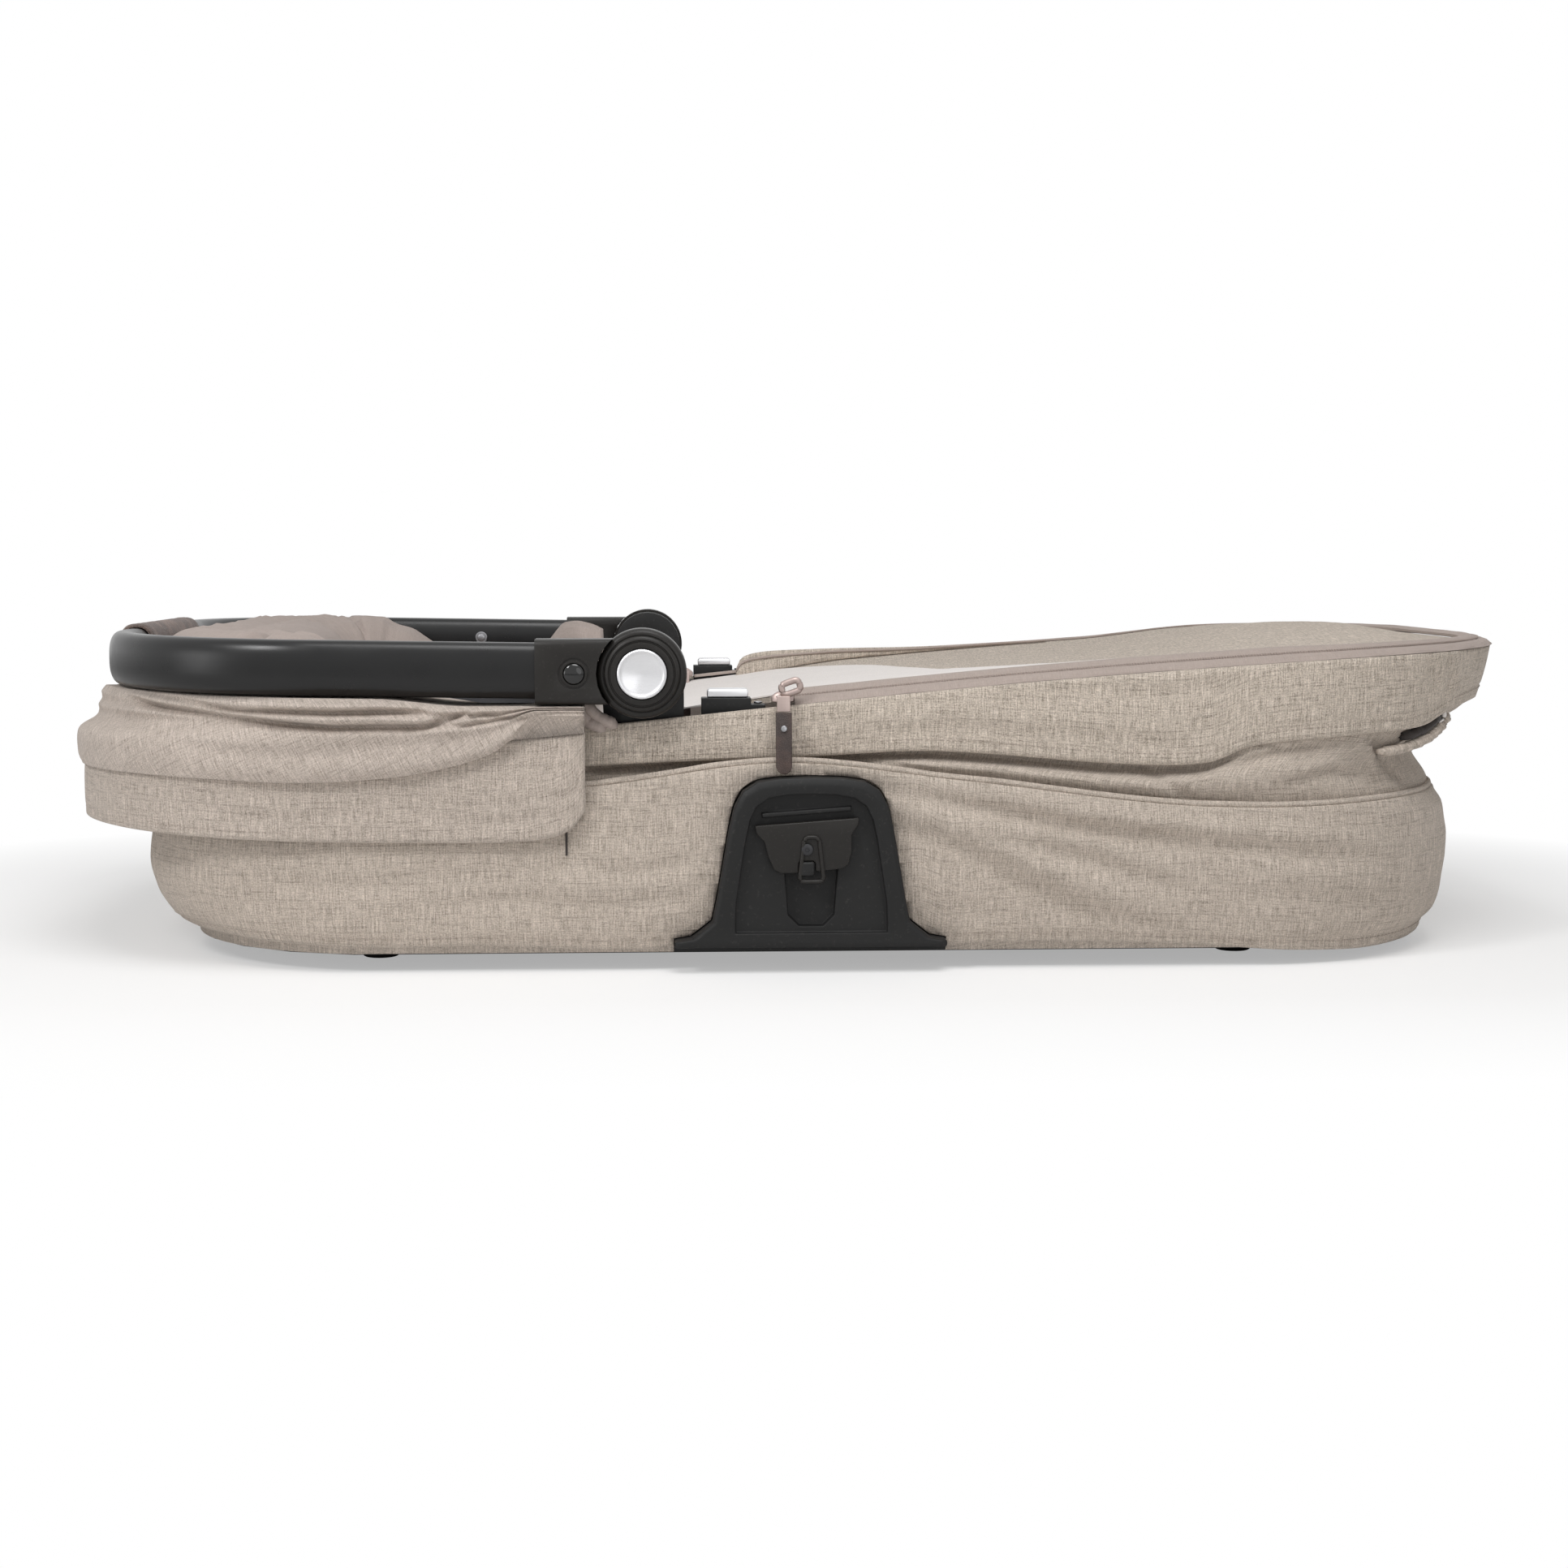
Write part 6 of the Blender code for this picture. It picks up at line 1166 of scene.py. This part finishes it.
# Opening: pale lining turned out at the foot cover's edge, and the folded band along its far side
OPENING_START_X, OPENING_LENGTH, OPENING_ROWS, OPENING_COLUMNS = -0.086, 0.267, 60, 48
BAND_START_X, BAND_LENGTH, BAND_ROWS, BAND_LEAN = -0.027, 0.217, 80, 0.30


def band_section(x):
    y = apron_half_width(x) - 1.5 * MM
    low_z = apron_z(x, y - 2 * MM) + 0.5 * MM
    top_z = max(MM * along(BAND_TOP_LINE, x / MM), low_z + 1.2 * MM)
    section = []
    for j in range(9):
        share = j / 8
        swell = 0.9 * MM * math.sin(math.pi * share) + 0.4 * MM * ripple(x, share, 0.0, 0.02, 45.0)
        out = y - 4.5 * MM + (top_z - low_z) * share * BAND_LEAN - swell
        section.append((x, out, low_z + (top_z - low_z) * share))
    section.append((x, section[-1][1] + 1.3 * MM, top_z + 0.5 * MM))
    return section + [(px, py + 2.6 * MM, pz) for px, py, pz in section[:9][::-1]]


def make_opening():
    stations = []
    for i in range(OPENING_ROWS + 1):
        x = OPENING_START_X + OPENING_LENGTH * i / OPENING_ROWS
        on_apron = max(x, APRON_HEAD_X)
        near_y = 1.5 * MM - apron_half_width(on_apron)
        far_y = max(MM * along(OPENING_FAR_EDGE, x / MM), near_y + 1.5 * MM)
        across = [near_y + (far_y - near_y) * j / OPENING_COLUMNS for j in range(OPENING_COLUMNS + 1)]
        laid = [(y, apron_z(on_apron, y) - 5.0 * MM * max(0.0, (APRON_HEAD_X - x) / 0.032)) for y in across]
        top = [(x, y, z + 1.2 * MM) for y, z in laid]
        stations.append(top + [(x, y, z + 0.4 * MM) for y, z in laid[::-1]])
    opening = dress(skin("opening_lining", stations, sharp=60), "pale_lining", "rim")
    declare(OPENING_COLUMNS + 1)
    stations = [band_section(BAND_START_X + BAND_LENGTH * i / BAND_ROWS) for i in range(BAND_ROWS + 1)]
    band = dress(skin("far_opening_band", stations), "valance_linen", "rim")
    declare(9)
    piping = [(x, y - 0.4 * MM, z) for x, y, z in (station[6] for station in stations)]
    dress(tube("far_band_piping", piping, 0.9 * MM), "zip_tape", "rim")


# Hood: skirt, folded shell and gathered lining, and the short end of its pull cord below the skirt
SKIRT_ROWS, SKIRT_HEM, SKIRT_FOLD, SKIRT_DROP = 20, 4.2 * MM, 3.2 * MM, 2.5 * MM
SHELL_INWARD, SHELL_BULGE, SHELL_END_LESS, SHELL_MOST_PUSH = 0.058, 11.7 * MM, 4.0 * MM, 2.6 * MM
LINING_OPEN_X, LINING_REACH, LINING_RISE, LINING_SEAT_Y = -0.1183, 0.095, 0.028, 0.1778
CORD_RADIUS = 0.6 * MM
CORD_ROUTE = [(-0.1291, -0.2141, 0.1090 - 0.0025 * i) for i in range(19)]


def make_pull_cord():
    curve = poly_line("hood_pull_cord", CORD_ROUTE)
    curve.bevel_depth = CORD_RADIUS
    curve.bevel_resolution = 3
    curve.use_fill_caps = True
    piece = dress(placed("hood_pull_cord", curve), "dark_cord_and_painted_shade", "rim")


def skirt_outer(place, share):
    low_z = HOOD_HEIGHT * along(SKIRT_LOW_SHARES, hood_share(place))
    rim_x = RIM_HEAD_X + (place[0] - HOOD_HEAD_X) * (HOOD_OPEN_X - RIM_HEAD_X) / (HOOD_OPEN_X - HOOD_HEAD_X)
    z = low_z + (rim_line(rim_x) - SKIRT_DROP - low_z) * share
    out = 4.0 * MM + 0.6 * MM * math.sin(math.pi * share)
    px, py, _ = at(place, out, z)
    calm = min(1.0, (1 - share) * 5)
    out += folds(SKIRT_FOLDS, px, py, z) * calm * abs(place[3])
    out += 0.45 * MM * ripple(px, py, z, 0.030, 51.0) * calm
    return out - 0.4 * MM * groove(z - low_z - SKIRT_HEM, 0.8 * MM), z


def make_hood_skirt():
    rim = horseshoe(RIM_HEAD_X, HOOD_OPEN_X, RIM_HALF_WIDTH, RIM_CORNER)
    seat = VALANCE_OUTER + 0.5 * MM
    stations, hem_line = [], []
    for place, rim_place in zip(HOOD_PLAN, rim):
        section = [at(place, *skirt_outer(place, j / (SKIRT_ROWS - 1))) for j in range(SKIRT_ROWS)]
        low_z, top_z = section[0][2], rim_line(rim_place[0]) - SKIRT_DROP
        section += [at(rim_place, seat, top_z), at(rim_place, seat, top_z - SKIRT_FOLD)]
        for j in range(SKIRT_ROWS - 1):
            share = j / (SKIRT_ROWS - 2)
            section.append(at(place, 0.0, top_z - SKIRT_FOLD + (low_z - top_z + SKIRT_FOLD) * share))
        stations.append(section + [at(place, 2.0 * MM, low_z - 0.6 * MM)])
        out, z = skirt_outer(place, SKIRT_HEM / (top_z - low_z))
        hem_line.append(at(place, out + 0.15 * MM, z))
    skirt = skin("hood_lower_skirt", stations)
    dress(skirt, "hood_linen", "rim", node="hood_skirt")
    declare(SKIRT_ROWS)
    stitch("skirt_hem_stitches", hem_line[2:-2], "rim")


def shell_edges(place):
    top_z = shell_top(place[0]) - grip_dip(place)
    return min(HOOD_HEIGHT * along(LOBE_LOW_SHARES, hood_share(place)), top_z - 5.5 * MM), top_z


def shell_section(place):
    (edge_z, top_z), end = shell_edges(place), abs(place[2])
    bulge = SHELL_BULGE - SHELL_END_LESS * end
    outer = [at(place, bulge * (side + (head - side) * end), edge_z + (top_z - edge_z) * height)
             for side, head, height in LOBE_FOLD_SHARES]
    dense = smooth_row(outer, 6)
    section = []
    for j, (px, py, pz) in enumerate(dense):
        share = j / (len(dense) - 1)
        calm = min(1.0, share * 8) * min(1.0, (1 - share) * 8)
        push = folds(HOOD_FOLDS, px, py, pz) * calm * (1 - end ** 3)
        push += 0.6 * MM * ripple(px, py, pz, 0.026, 61.0) * calm
        crumple = ripple(px * 0.3, py, pz * 3.0, 0.03, 63.0)
        push += 1.0 * MM * crumple * calm * blend_value(0.45, 0.65, share)
        push = min(push, SHELL_MOST_PUSH)
        section.append((px + place[2] * push, py + place[3] * push, pz))
    inner_x, inner_y, _ = at(place, -SHELL_INWARD, 0.0)
    inner = (inner_x, inner_y, shell_top(inner_x) - grip_dip(place))
    last = section[-1]
    section += [tuple(a + (b - a) * k / 4 for a, b in zip(last, inner)) for k in (1, 2, 3, 4)]
    under = []
    for out in (-SHELL_INWARD, -SHELL_INWARD * 0.75, -SHELL_INWARD / 2, -SHELL_INWARD / 4, 0.0, 5.0 * MM):
        x, y, _ = at(place, out, 0.0)
        under.append(Vector((x, y, rim_line(x) + 1.0 * MM)))
    under.append(Vector(at(place, 5.0 * MM, min(edge_z, rim_line(place[0]) - 2.5 * MM))))
    while len(under) < len(section):
        under.insert(-1, under[-2].lerp(under[-1], 0.3))
    return [Vector(point) for point in section] + under


def make_hood_shell():
    stations = [shell_section(place) for place in HOOD_PLAN]
    shell = skin("folded_hood_shell", stations)
    dress(shell, "lobe_linen", None, "hood_shell")
    declare(len(stations[0]) // 2 - 4)
    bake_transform(shell)
    edge_line = []
    for place in HOOD_PLAN:
        bulge = SHELL_BULGE - SHELL_END_LESS * abs(place[2])
        out = bulge * LOBE_FOLD_SHARES[0][0] + 0.9 * MM
        edge_line.append(at(place, out, shell_edges(place)[0] + 2.4 * MM))
    edge = stitch("lobe_edge_stitches", edge_line[2:-2], None)
    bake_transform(edge)


def lining_section(place):
    share = (LINING_OPEN_X - place[0]) / (LINING_OPEN_X - HANDLE_END_X)
    at_sleeve = 1 - blend_value(0.0, SLEEVE_HEIGHT / 3, SLEEVE_END_X - SLEEVE_HEIGHT / 6 - place[0])
    leg_end = 1 - blend_value(SLEEVE_HEIGHT / 3, SLEEVE_HEIGHT, LINING_OPEN_X - place[0])
    outer = -TUBE_HALF_THICK - 0.5 * MM - 4.0 * MM * at_sleeve
    outer -= (HUB_INNER_Y - LINING_SEAT_Y) * leg_end + grip_dip(place)
    reach = LINING_REACH * along(LINING_REACH_SHARES, share)
    rise = LINING_RISE * along(LINING_RISE_SHARES, share)
    rise *= 1 - 0.20 * math.exp(-((place[0] + 0.311) / 0.006) ** 2)
    if place[1] > 0:
        rise *= 1 + 0.42 * (1 - blend_value(0.10, 0.17, share))
    base_z = shell_top(place[0] - SLEEVE_HEIGHT) + 0.3 * MM + 2.5 * MM + 0.8 * MM
    section = [Vector(at(place, outer, base_z))]
    dense = smooth_row([at(place, outer - reach * r, base_z + rise * z) for r, z in LINING_CROWN_SHARES], 6)
    for j, point in enumerate(dense):
        part = j / (len(dense) - 1)
        gather = ripple(place[0], place[1], 0.0, 0.011, 71.0) * 0.9
        gather += ripple(place[0], place[1], part, 0.028, 73.0)
        point.z += 1.5 * MM * gather * math.sin(math.pi * part) * min(1.0, rise / (10 * MM))
        section.append(point)
    inner = at(place, outer - reach, base_z)
    under = []
    for j in range(len(section)):
        part = j / (len(section) - 1)
        x = inner[0] + (section[0].x - inner[0]) * part
        y = inner[1] + (section[0].y - inner[1]) * part
        under.append(Vector((x, y, base_z - 0.05 * MM * math.sin(math.pi * part))))
    return section + under[:-1] + [section[0].lerp(under[-2], 0.5)]


def make_hood_lining():
    plan = horseshoe(HANDLE_END_X, LINING_OPEN_X, HANDLE_HALF_WIDTH, HANDLE_CORNER)
    stations = [lining_section(place) for place in plan]
    gathered = skin("gathered_hood_lining", stations)
    dress(gathered, "hood_lining", None, node="hood_lining")
    declare(len(stations[0]) // 2 - 1)
    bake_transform(gathered)


# Handle: tube, leather grip, sleeves and hubs
GRIP_HALF_LENGTH, GRIP_THICK, GRIP_GAP, GRIP_STEPS = 0.072, 2.0 * MM, 0.5 * MM, 48


def tube_section(place, grow, steps=48):
    loop = []
    for i in range(steps):
        across, up = [math.copysign(abs(wave) ** TUBE_SQUARE_SHARE, wave)
                      for wave in (math.cos(math.tau * i / steps), math.sin(math.tau * i / steps))]
        z = tube_z(place[0]) + up * (TUBE_HALF_HEIGHT + grow)
        loop.append(at(place, across * (TUBE_HALF_THICK + grow), z))
    return loop


def make_handle():
    plan = horseshoe(HANDLE_END_X, SLEEVE_END_X + 0.010, HANDLE_HALF_WIDTH, HANDLE_CORNER, 20)
    bar = joined("handle_bar", [tube_section(place, 0.0) for place in plan], sharp=50)
    dress(bar, "black_tube", "handle", node="handle_tube")
    inner, outer = [], []
    for i in range(GRIP_STEPS + 1):
        y = GRIP_HALF_LENGTH * (2 * i / GRIP_STEPS - 1)
        place = (HANDLE_END_X, y, -1.0, 0.0)
        edge = min(1.0, (GRIP_HALF_LENGTH - abs(y)) / (2.0 * MM))
        swell = GRIP_THICK * 0.45 * (edge - 1) + 0.25 * MM * ripple(0.0, y, 0.0, 0.012, 81.0)
        inner.append(tube_section(place, GRIP_GAP, 40))
        outer.append(tube_section(place, GRIP_GAP + GRIP_THICK + swell, 40))
    grip = joined("leather_hand_grip", inner + outer[::-1], closed=True, sharp=55)
    dress(grip, "grip_leather", "handle", node="leather_grip")
    seam_x = HANDLE_END_X + TUBE_HALF_THICK + GRIP_GAP + GRIP_THICK
    seam = [(seam_x, (GRIP_HALF_LENGTH - 3.0 * MM) * (2 * i / 40 - 1), tube_z(HANDLE_END_X) - 5.0 * MM)
            for i in range(41)]
    stitch("grip_seam_stitches", seam, "handle", GRIP_STITCH_SIZES)


def make_hub(name, side):
    centre = (HUB_X, side * HUB_INNER_Y, HUB_Z)
    bore, well = 5.3 * MM, BUTTON_RADIUS + 0.3 * MM
    floor = HUB_DEPTH - BUTTON_WELL
    profile = [(bore, 0.0)] + [(HUB_RADIUS * r, HUB_DEPTH * out) for r, out in HUB_RINGS]
    profile += [(well + 0.9 * MM, HUB_DEPTH), (well + 0.25 * MM, HUB_DEPTH - 0.2 * MM)]
    profile += [(well, HUB_DEPTH - 0.8 * MM), (well, floor), (bore, floor)]
    shell = turned("hub_shell_" + name, centre, profile, side, 96)
    dress(shell, "soft_black", "handle", "hub_housing_" + name)
    back = floor + 3.0 * MM + 0.5 * MM
    face = HUB_DEPTH + BUTTON_PROUD
    inner = BUTTON_RADIUS - 1.5 * MM
    profile = [(0.0, back), (BUTTON_RADIUS, back), (BUTTON_RADIUS, face - 0.9 * MM)]
    profile += [(BUTTON_RADIUS - 0.25 * MM, face - 0.35 * MM), (BUTTON_RADIUS - 0.8 * MM, face)]
    profile += [(inner, face - 0.1 * MM), (inner - 0.5 * MM, face - 0.55 * MM)]
    for i in range(1, 9):
        sink = (BUTTON_DISH - 0.6 * MM) * math.sin(i / 9 * 1.4)
        profile.append((inner * (1 - i / 9) * 0.94, face - 0.6 * MM - sink))
    profile.append((0.0, face - BUTTON_DISH))
    disc = turned("hub_disc_" + name, centre, profile, side, 96)
    dress(disc, "silver", "hub_button_" + name, node="hub_button_" + name)


def make_sleeve_button(name, side):
    radius, well, proud = 5.5 * MM, 7.0 * MM, 1.8 * MM
    back = 2.5 * MM + 0.5 * MM - well
    angles = [math.pi / 2 * i / 10 for i in range(10)]
    dome = [(radius * math.cos(a), proud * math.sin(a)) for a in angles]
    profile = [(0.0, back), (radius, back)] + dome + [(0.0, proud)]
    button = turned("domed_button_" + name, (-0.1242, side * SLEEVE_OUTER_Y, 0.1619), profile, side, 48, 60)
    dress(button, "gloss_black", "sleeve_button_" + name, node="sleeve_button_" + name)


STUD_PROFILE = ((0.0, -0.3), (4.2, -0.3), (4.2, -0.8), (3.8, -1.2), (2.6, -1.25), (2.3, -1.7), (1.9, -1.85),
                (0.0, -1.8))
SCREW_RADIUS, SCREW_HEAD, SCREW_HOLE = 3.3 * MM, 1.3 * MM, 1.2 * MM
FRAME_CORNERS = ((-3.9 * MM, 0.0740), (3.9 * MM, 0.0740), (6.6 * MM, 0.0500), (-6.6 * MM, 0.0500))
BRACKET_FACE_Y = SHROUD_FRONT_Y - 5.0 * MM + 0.3 * MM + 4.2 * MM


def make_press_stud():
    centre = (-0.2048, HANDLE_HALF_WIDTH - TUBE_HALF_THICK, 0.1660)
    profile = [(radius * MM, out * MM) for radius, out in STUD_PROFILE]
    dress(turned("handle_press_stud", centre, profile, 1, 40), "steel", "handle", node="press_stud")


def make_bracket_details(name, side):
    low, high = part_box("adapter_screw_" + name)
    centre = ((low[0] + high[0]) / 2, side * BRACKET_FACE_Y, (low[2] + high[2]) / 2)
    radius, head, hole = SCREW_RADIUS, SCREW_HEAD, SCREW_HOLE
    profile = [(0.0, 0.3 * MM), (radius, 0.3 * MM), (radius, head * 0.7), (radius * 0.93, head),
               (radius * 0.7, head + 0.35 * MM), (hole, head + 0.4 * MM), (hole * 0.86, head - 0.2 * MM),
               (0.0, head - 0.3 * MM)]
    screw = turned("bracket_screw_" + name, centre, profile, side, 40)
    dress(screw, "dark_screw", "base", "adapter_screw_" + name)
    face_y = side * (BRACKET_FACE_Y + 0.35 * MM)
    points = [(SHROUD_X + x, face_y, z) for x, z in rounded_loop(FRAME_CORNERS, 3.0 * MM)]
    edge = tube("bracket_frame_" + name, points, 1.2 * MM, closed=True)
    dress(edge, "soft_black", "base")


# Pull loop on the near slider, tilted as in the photograph
LOOP_CENTRE, LOOP_TILT = (-0.0082, -0.2045, 0.1535), math.radians(20)
LOOP_HALF_LONG, LOOP_HALF_HIGH, LOOP_BAR = 5.0 * MM, 3.0 * MM, 1.8 * MM


def make_pull_loop():
    corners = [(LOOP_HALF_LONG * sx, LOOP_HALF_HIGH * sz) for sx, sz in ((-1, -1), (1, -1), (1, 1), (-1, 1))]
    cos, sin = math.cos(LOOP_TILT), math.sin(LOOP_TILT)
    points = [(LOOP_CENTRE[0] + (x * cos - z * sin), LOOP_CENTRE[1], LOOP_CENTRE[2] + (x * sin + z * cos))
              for x, z in rounded_loop(corners, 2.6 * MM)]
    dress(tube("near_pull_loop", points, LOOP_BAR, closed=True), "zip_metal", "rim")


# Pieces below the valance at the foot end: the rolled cuff, a dark tube that is painted shade in the gap
# behind it, and the zip's end; name, line, radius and depth in mm, finish, slot
CUFFS = (("folded_cuff_", CUFF_LINE, 3.6, -0.4, "tub_linen", "tub_linen"),
         # The dark tube is painted shade: it darkens the gap under the valance, where only shade falls
         ("cuff_shade_", GAP_LINE, 3.6, 1.5, "dark_cord_and_painted_shade", "black_plastic"),
         ("zip_end_", ZIP_END_LINE, 1.5, -1.2, "pale_lining", "zip_tape"))


def make_cuffs():
    foot = horseshoe(RIM_FOOT_X, 0.0, RIM_HALF_WIDTH, RIM_CORNER)
    for side_name, side in SIDES:
        for name, line, radius, sunk, surface, slot in CUFFS:
            points = []
            for x, z in smooth_row(line, 5):
                nearest = min((p for p in foot if p[1] * side > 0), key=lambda p: abs(p[0] - x * MM))
                out = VALANCE_INNER - valance_tuck(nearest, z * MM) - sunk * MM
                points.append(at(nearest, out, z * MM))
            dress(tube(name + side_name, points, radius * MM, flat=0.8), surface, "rim")
        for number, line in enumerate(GATHER_LINES):
            points = []
            for i, (x, z) in enumerate(smooth_row(line, 4)):
                crumple = 0.9 * MM * ripple(i * 0.01, number, 0.0, 0.02, 91.0)
                points.append((x * MM, side * (0.2085 + crumple), z * MM + crumple))
            gather = tube("hood_end_gather_%d_%s" % (number + 1, side_name), points, 3.4 * MM)
            dress(gather, "hood_lining", "rim")


# Hard nodes that only get rounded edges: node, edge in mm, its steps, its angle, finish, slot, body.
# A * stands for each side.
ROUNDED_NODES = (
    ("adapter_housing_*", 0.8, 3, 24, "black_plastic", None, "base"),
    ("adapter_bracket_*", 0.7, 3, 24, "soft_black", "black_plastic", "base"),
    ("adapter_catch_*", 0.3, 2, 28, "black_plastic", None, "adapter_catch_*"),
    ("handle_sleeve_*", 0.35, 2, 28, "soft_black", "black_plastic", "handle"),
    ("hub_mount_*", 0.5, 2, 28, "black_plastic", None, "rim"),
    ("latch_base_*", 0.5, 3, 28, "black_plastic", None, "rim"),
    ("fold_release_*", 0.7, 4, 28, "silver", None, "fold_release_*"),
    ("rail_screw_*", 0.3, 2, 28, "steel", None, "rim"),
    ("zip_slider_*", 0.8, 3, 28, "zip_metal", "zip_tape", "rim"),
    ("zip_puller_*", 0.4, 3, 28, "zip_metal", "zip_tape", "zip_pull_*"),
    ("zip_strap_*", 0.5, 3, 28, "leather", None, "zip_pull_*"),
    ("rubber_foot_head_*", 0.5, 3, 28, "rubber", None, "base"),
    ("rubber_foot_toe_*", 0.5, 3, 28, "rubber", None, "base"),
    ("strap_rivet", 0.3, 2, 28, "steel", None, "zip_pull_near"),
    ("rim_frame", 0.8, 2, 28, "black_plastic", None, "rim"),
)
# Nodes that show as their own solids
CARRIED_NODES = {"base_board": "black_plastic", "hood_bow": "spring_steel", "hub_shaft_*": "steel",
                 "side_bracket_*": "steel", "lower_strut_*": "steel", "upper_strut_*": "steel"}


def each_side(*names):
    """The names for the near and the far side, or once where they name no side."""
    sides = [side for side, _ in SIDES] if "*" in names[0] else [""]
    return [[name.replace("*", side) for name in names] for side in sides]


def make_hardware():
    for name, side in SIDES:
        make_hub(name, side)
        make_sleeve_button(name, side)
        make_bracket_details(name, side)
    make_press_stud()
    for pattern, width, segments, angle, surface, slot, riding in ROUNDED_NODES:
        for node, body in each_side(pattern, riding):
            dress(rounded(node, width * MM, segments, angle), surface, body, node)
    for pattern, surface in CARRIED_NODES.items():
        for node, in each_side(pattern):
            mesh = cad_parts[node].data
            if not mesh.materials:
                mesh.materials.append(FINISHES[surface])
            for i in range(len(mesh.materials)):
                mesh.materials[i] = FINISHES[surface]


# Room: camera at the photograph's viewing angle, pale floor, pale backdrop, soft lamps
PHOTO_SIZE, FOCAL_PIXELS, SENSOR = 1932, 2990, 36.0
CAMERA_PLACE, CAMERA_YAW, CAMERA_PITCH = (-0.0753, -1.51, 0.227), math.radians(2.78), math.radians(5.50)
FLOOR_COLOUR = (0.92, 0.915, 0.91, 1.0)
WHITE = (1.0, 1.0, 1.0, 1.0)
FLOOR_SIZE, FOOTPRINT, WHITE_REACH, PALE_SHARE = 4.0, (0.34, 0.16, 0.0), 0.34, 0.40
WORLD_LIGHT = 0.27
LAMPS = (
    ("overhead lamp", (0.1, -0.80, 1.75), (0.0, -0.1, 0.05), 1.1, 17.5),
    ("key lamp", (-1.0, -1.05, 1.15), (-0.1, -0.15, 0.10), 0.42, 8.0),
    ("front lamp", (0.9, -2.2, 0.7), (0.05, 0.0, 0.08), 1.4, 4.2),
    ("side panel", (-2.2, -1.05, 0.36), (-0.3, -0.1, 0.12), 0.8, 4.5),
)


def make_camera():
    data = bpy.data.cameras.new("photograph camera")
    data.sensor_width = SENSOR
    data.lens = FOCAL_PIXELS / PHOTO_SIZE * SENSOR
    data.clip_start = 0.05
    camera = placed("photograph camera", data)
    yaw, pitch = CAMERA_YAW, CAMERA_PITCH
    right = Vector((math.cos(yaw), -math.sin(yaw), 0.0))
    ahead = Vector((math.sin(yaw) * math.cos(pitch), math.cos(yaw) * math.cos(pitch), -math.sin(pitch)))
    turn = Matrix((right, right.cross(ahead), -ahead)).transposed()
    camera.matrix_world = Matrix.Translation(CAMERA_PLACE) @ turn.to_4x4()
    bpy.context.scene.camera = camera


def make_floor():
    """Floor that keeps the shadow near the cot and turns plain white further out, for the camera alone."""
    material = bpy.data.materials.new("pale floor")
    material.use_nodes = True
    tree = material.node_tree
    shader = link(tree.nodes["Principled BSDF"], Base_Color=FLOOR_COLOUR, Roughness=0.9)
    place = vector_maths("ABSOLUTE", Wire(tree.nodes.new("ShaderNodeTexCoord"), "Object"))
    place = vector_maths("MAXIMUM", vector_maths("SUBTRACT", place, FOOTPRINT))
    away = ramp(vector_maths("LENGTH", place, output="Value"), 0.0, WHITE_REACH)
    camera_ray = Wire(tree.nodes.new("ShaderNodeLightPath"), "Is Camera Ray")
    seen = away.maths("MAXIMUM", away, PALE_SHARE) * camera_ray
    white = add(tree, "ShaderNodeEmission", Color=WHITE, Strength=1.0)
    both = add(tree, "ShaderNodeMixShader", Fac=seen, i1=shader.outputs[0], i2=white.outputs[0])
    link(tree.nodes["Material Output"], i0=both.outputs[0])
    mesh = bmesh.new()
    corners = [(FLOOR_SIZE * sx, FLOOR_SIZE * sy, 0.0) for sx, sy in ((-1, -1), (1, -1), (1, 1), (-1, 1))]
    mesh.faces.new([mesh.verts.new(corner) for corner in corners])
    floor = finish_mesh("floor", mesh, turn=False)
    floor.data.materials.append(material)


def make_world():
    world = bpy.data.worlds.new("studio")
    world.use_nodes = True
    tree = world.node_tree
    tree.nodes.clear()
    rays = tree.nodes.new("ShaderNodeLightPath")
    seen = Wire(rays, "Is Camera Ray") + (Wire(rays, "Is Glossy Ray") + Wire(rays, "Is Transmission Ray"))
    lit = add(tree, "ShaderNodeBackground", Color=WHITE, Strength=WORLD_LIGHT)
    pale = add(tree, "ShaderNodeBackground", Color=WHITE, Strength=1.0)
    both = add(tree, "ShaderNodeMixShader", Fac=seen.maths("MINIMUM", seen, 1.0), i1=lit.outputs[0],
               i2=pale.outputs[0])
    add(tree, "ShaderNodeOutputWorld", i0=both.outputs[0])
    bpy.context.scene.world = world


def make_lamps():
    for name, place, target, size, power in LAMPS:
        data = bpy.data.lights.new(name, "AREA")
        data.shape = "DISK"
        data.size = size
        data.energy = power
        lamp = placed(name, data)
        lamp.location = place
        lamp.rotation_euler = (Vector(target) - Vector(place)).to_track_quat("-Z", "Y").to_euler()


bpy.context.scene.view_settings.view_transform = "Standard"
for make in (make_camera, make_pull_cord, make_tub, make_wall, make_liner, make_mattress, make_valance,
             make_zip, make_apron, make_opening, make_cuffs, make_pull_loop, make_hood_skirt, make_hood_shell,
             make_hood_lining, make_handle, make_hardware, make_floor, make_world, make_lamps):
    make()
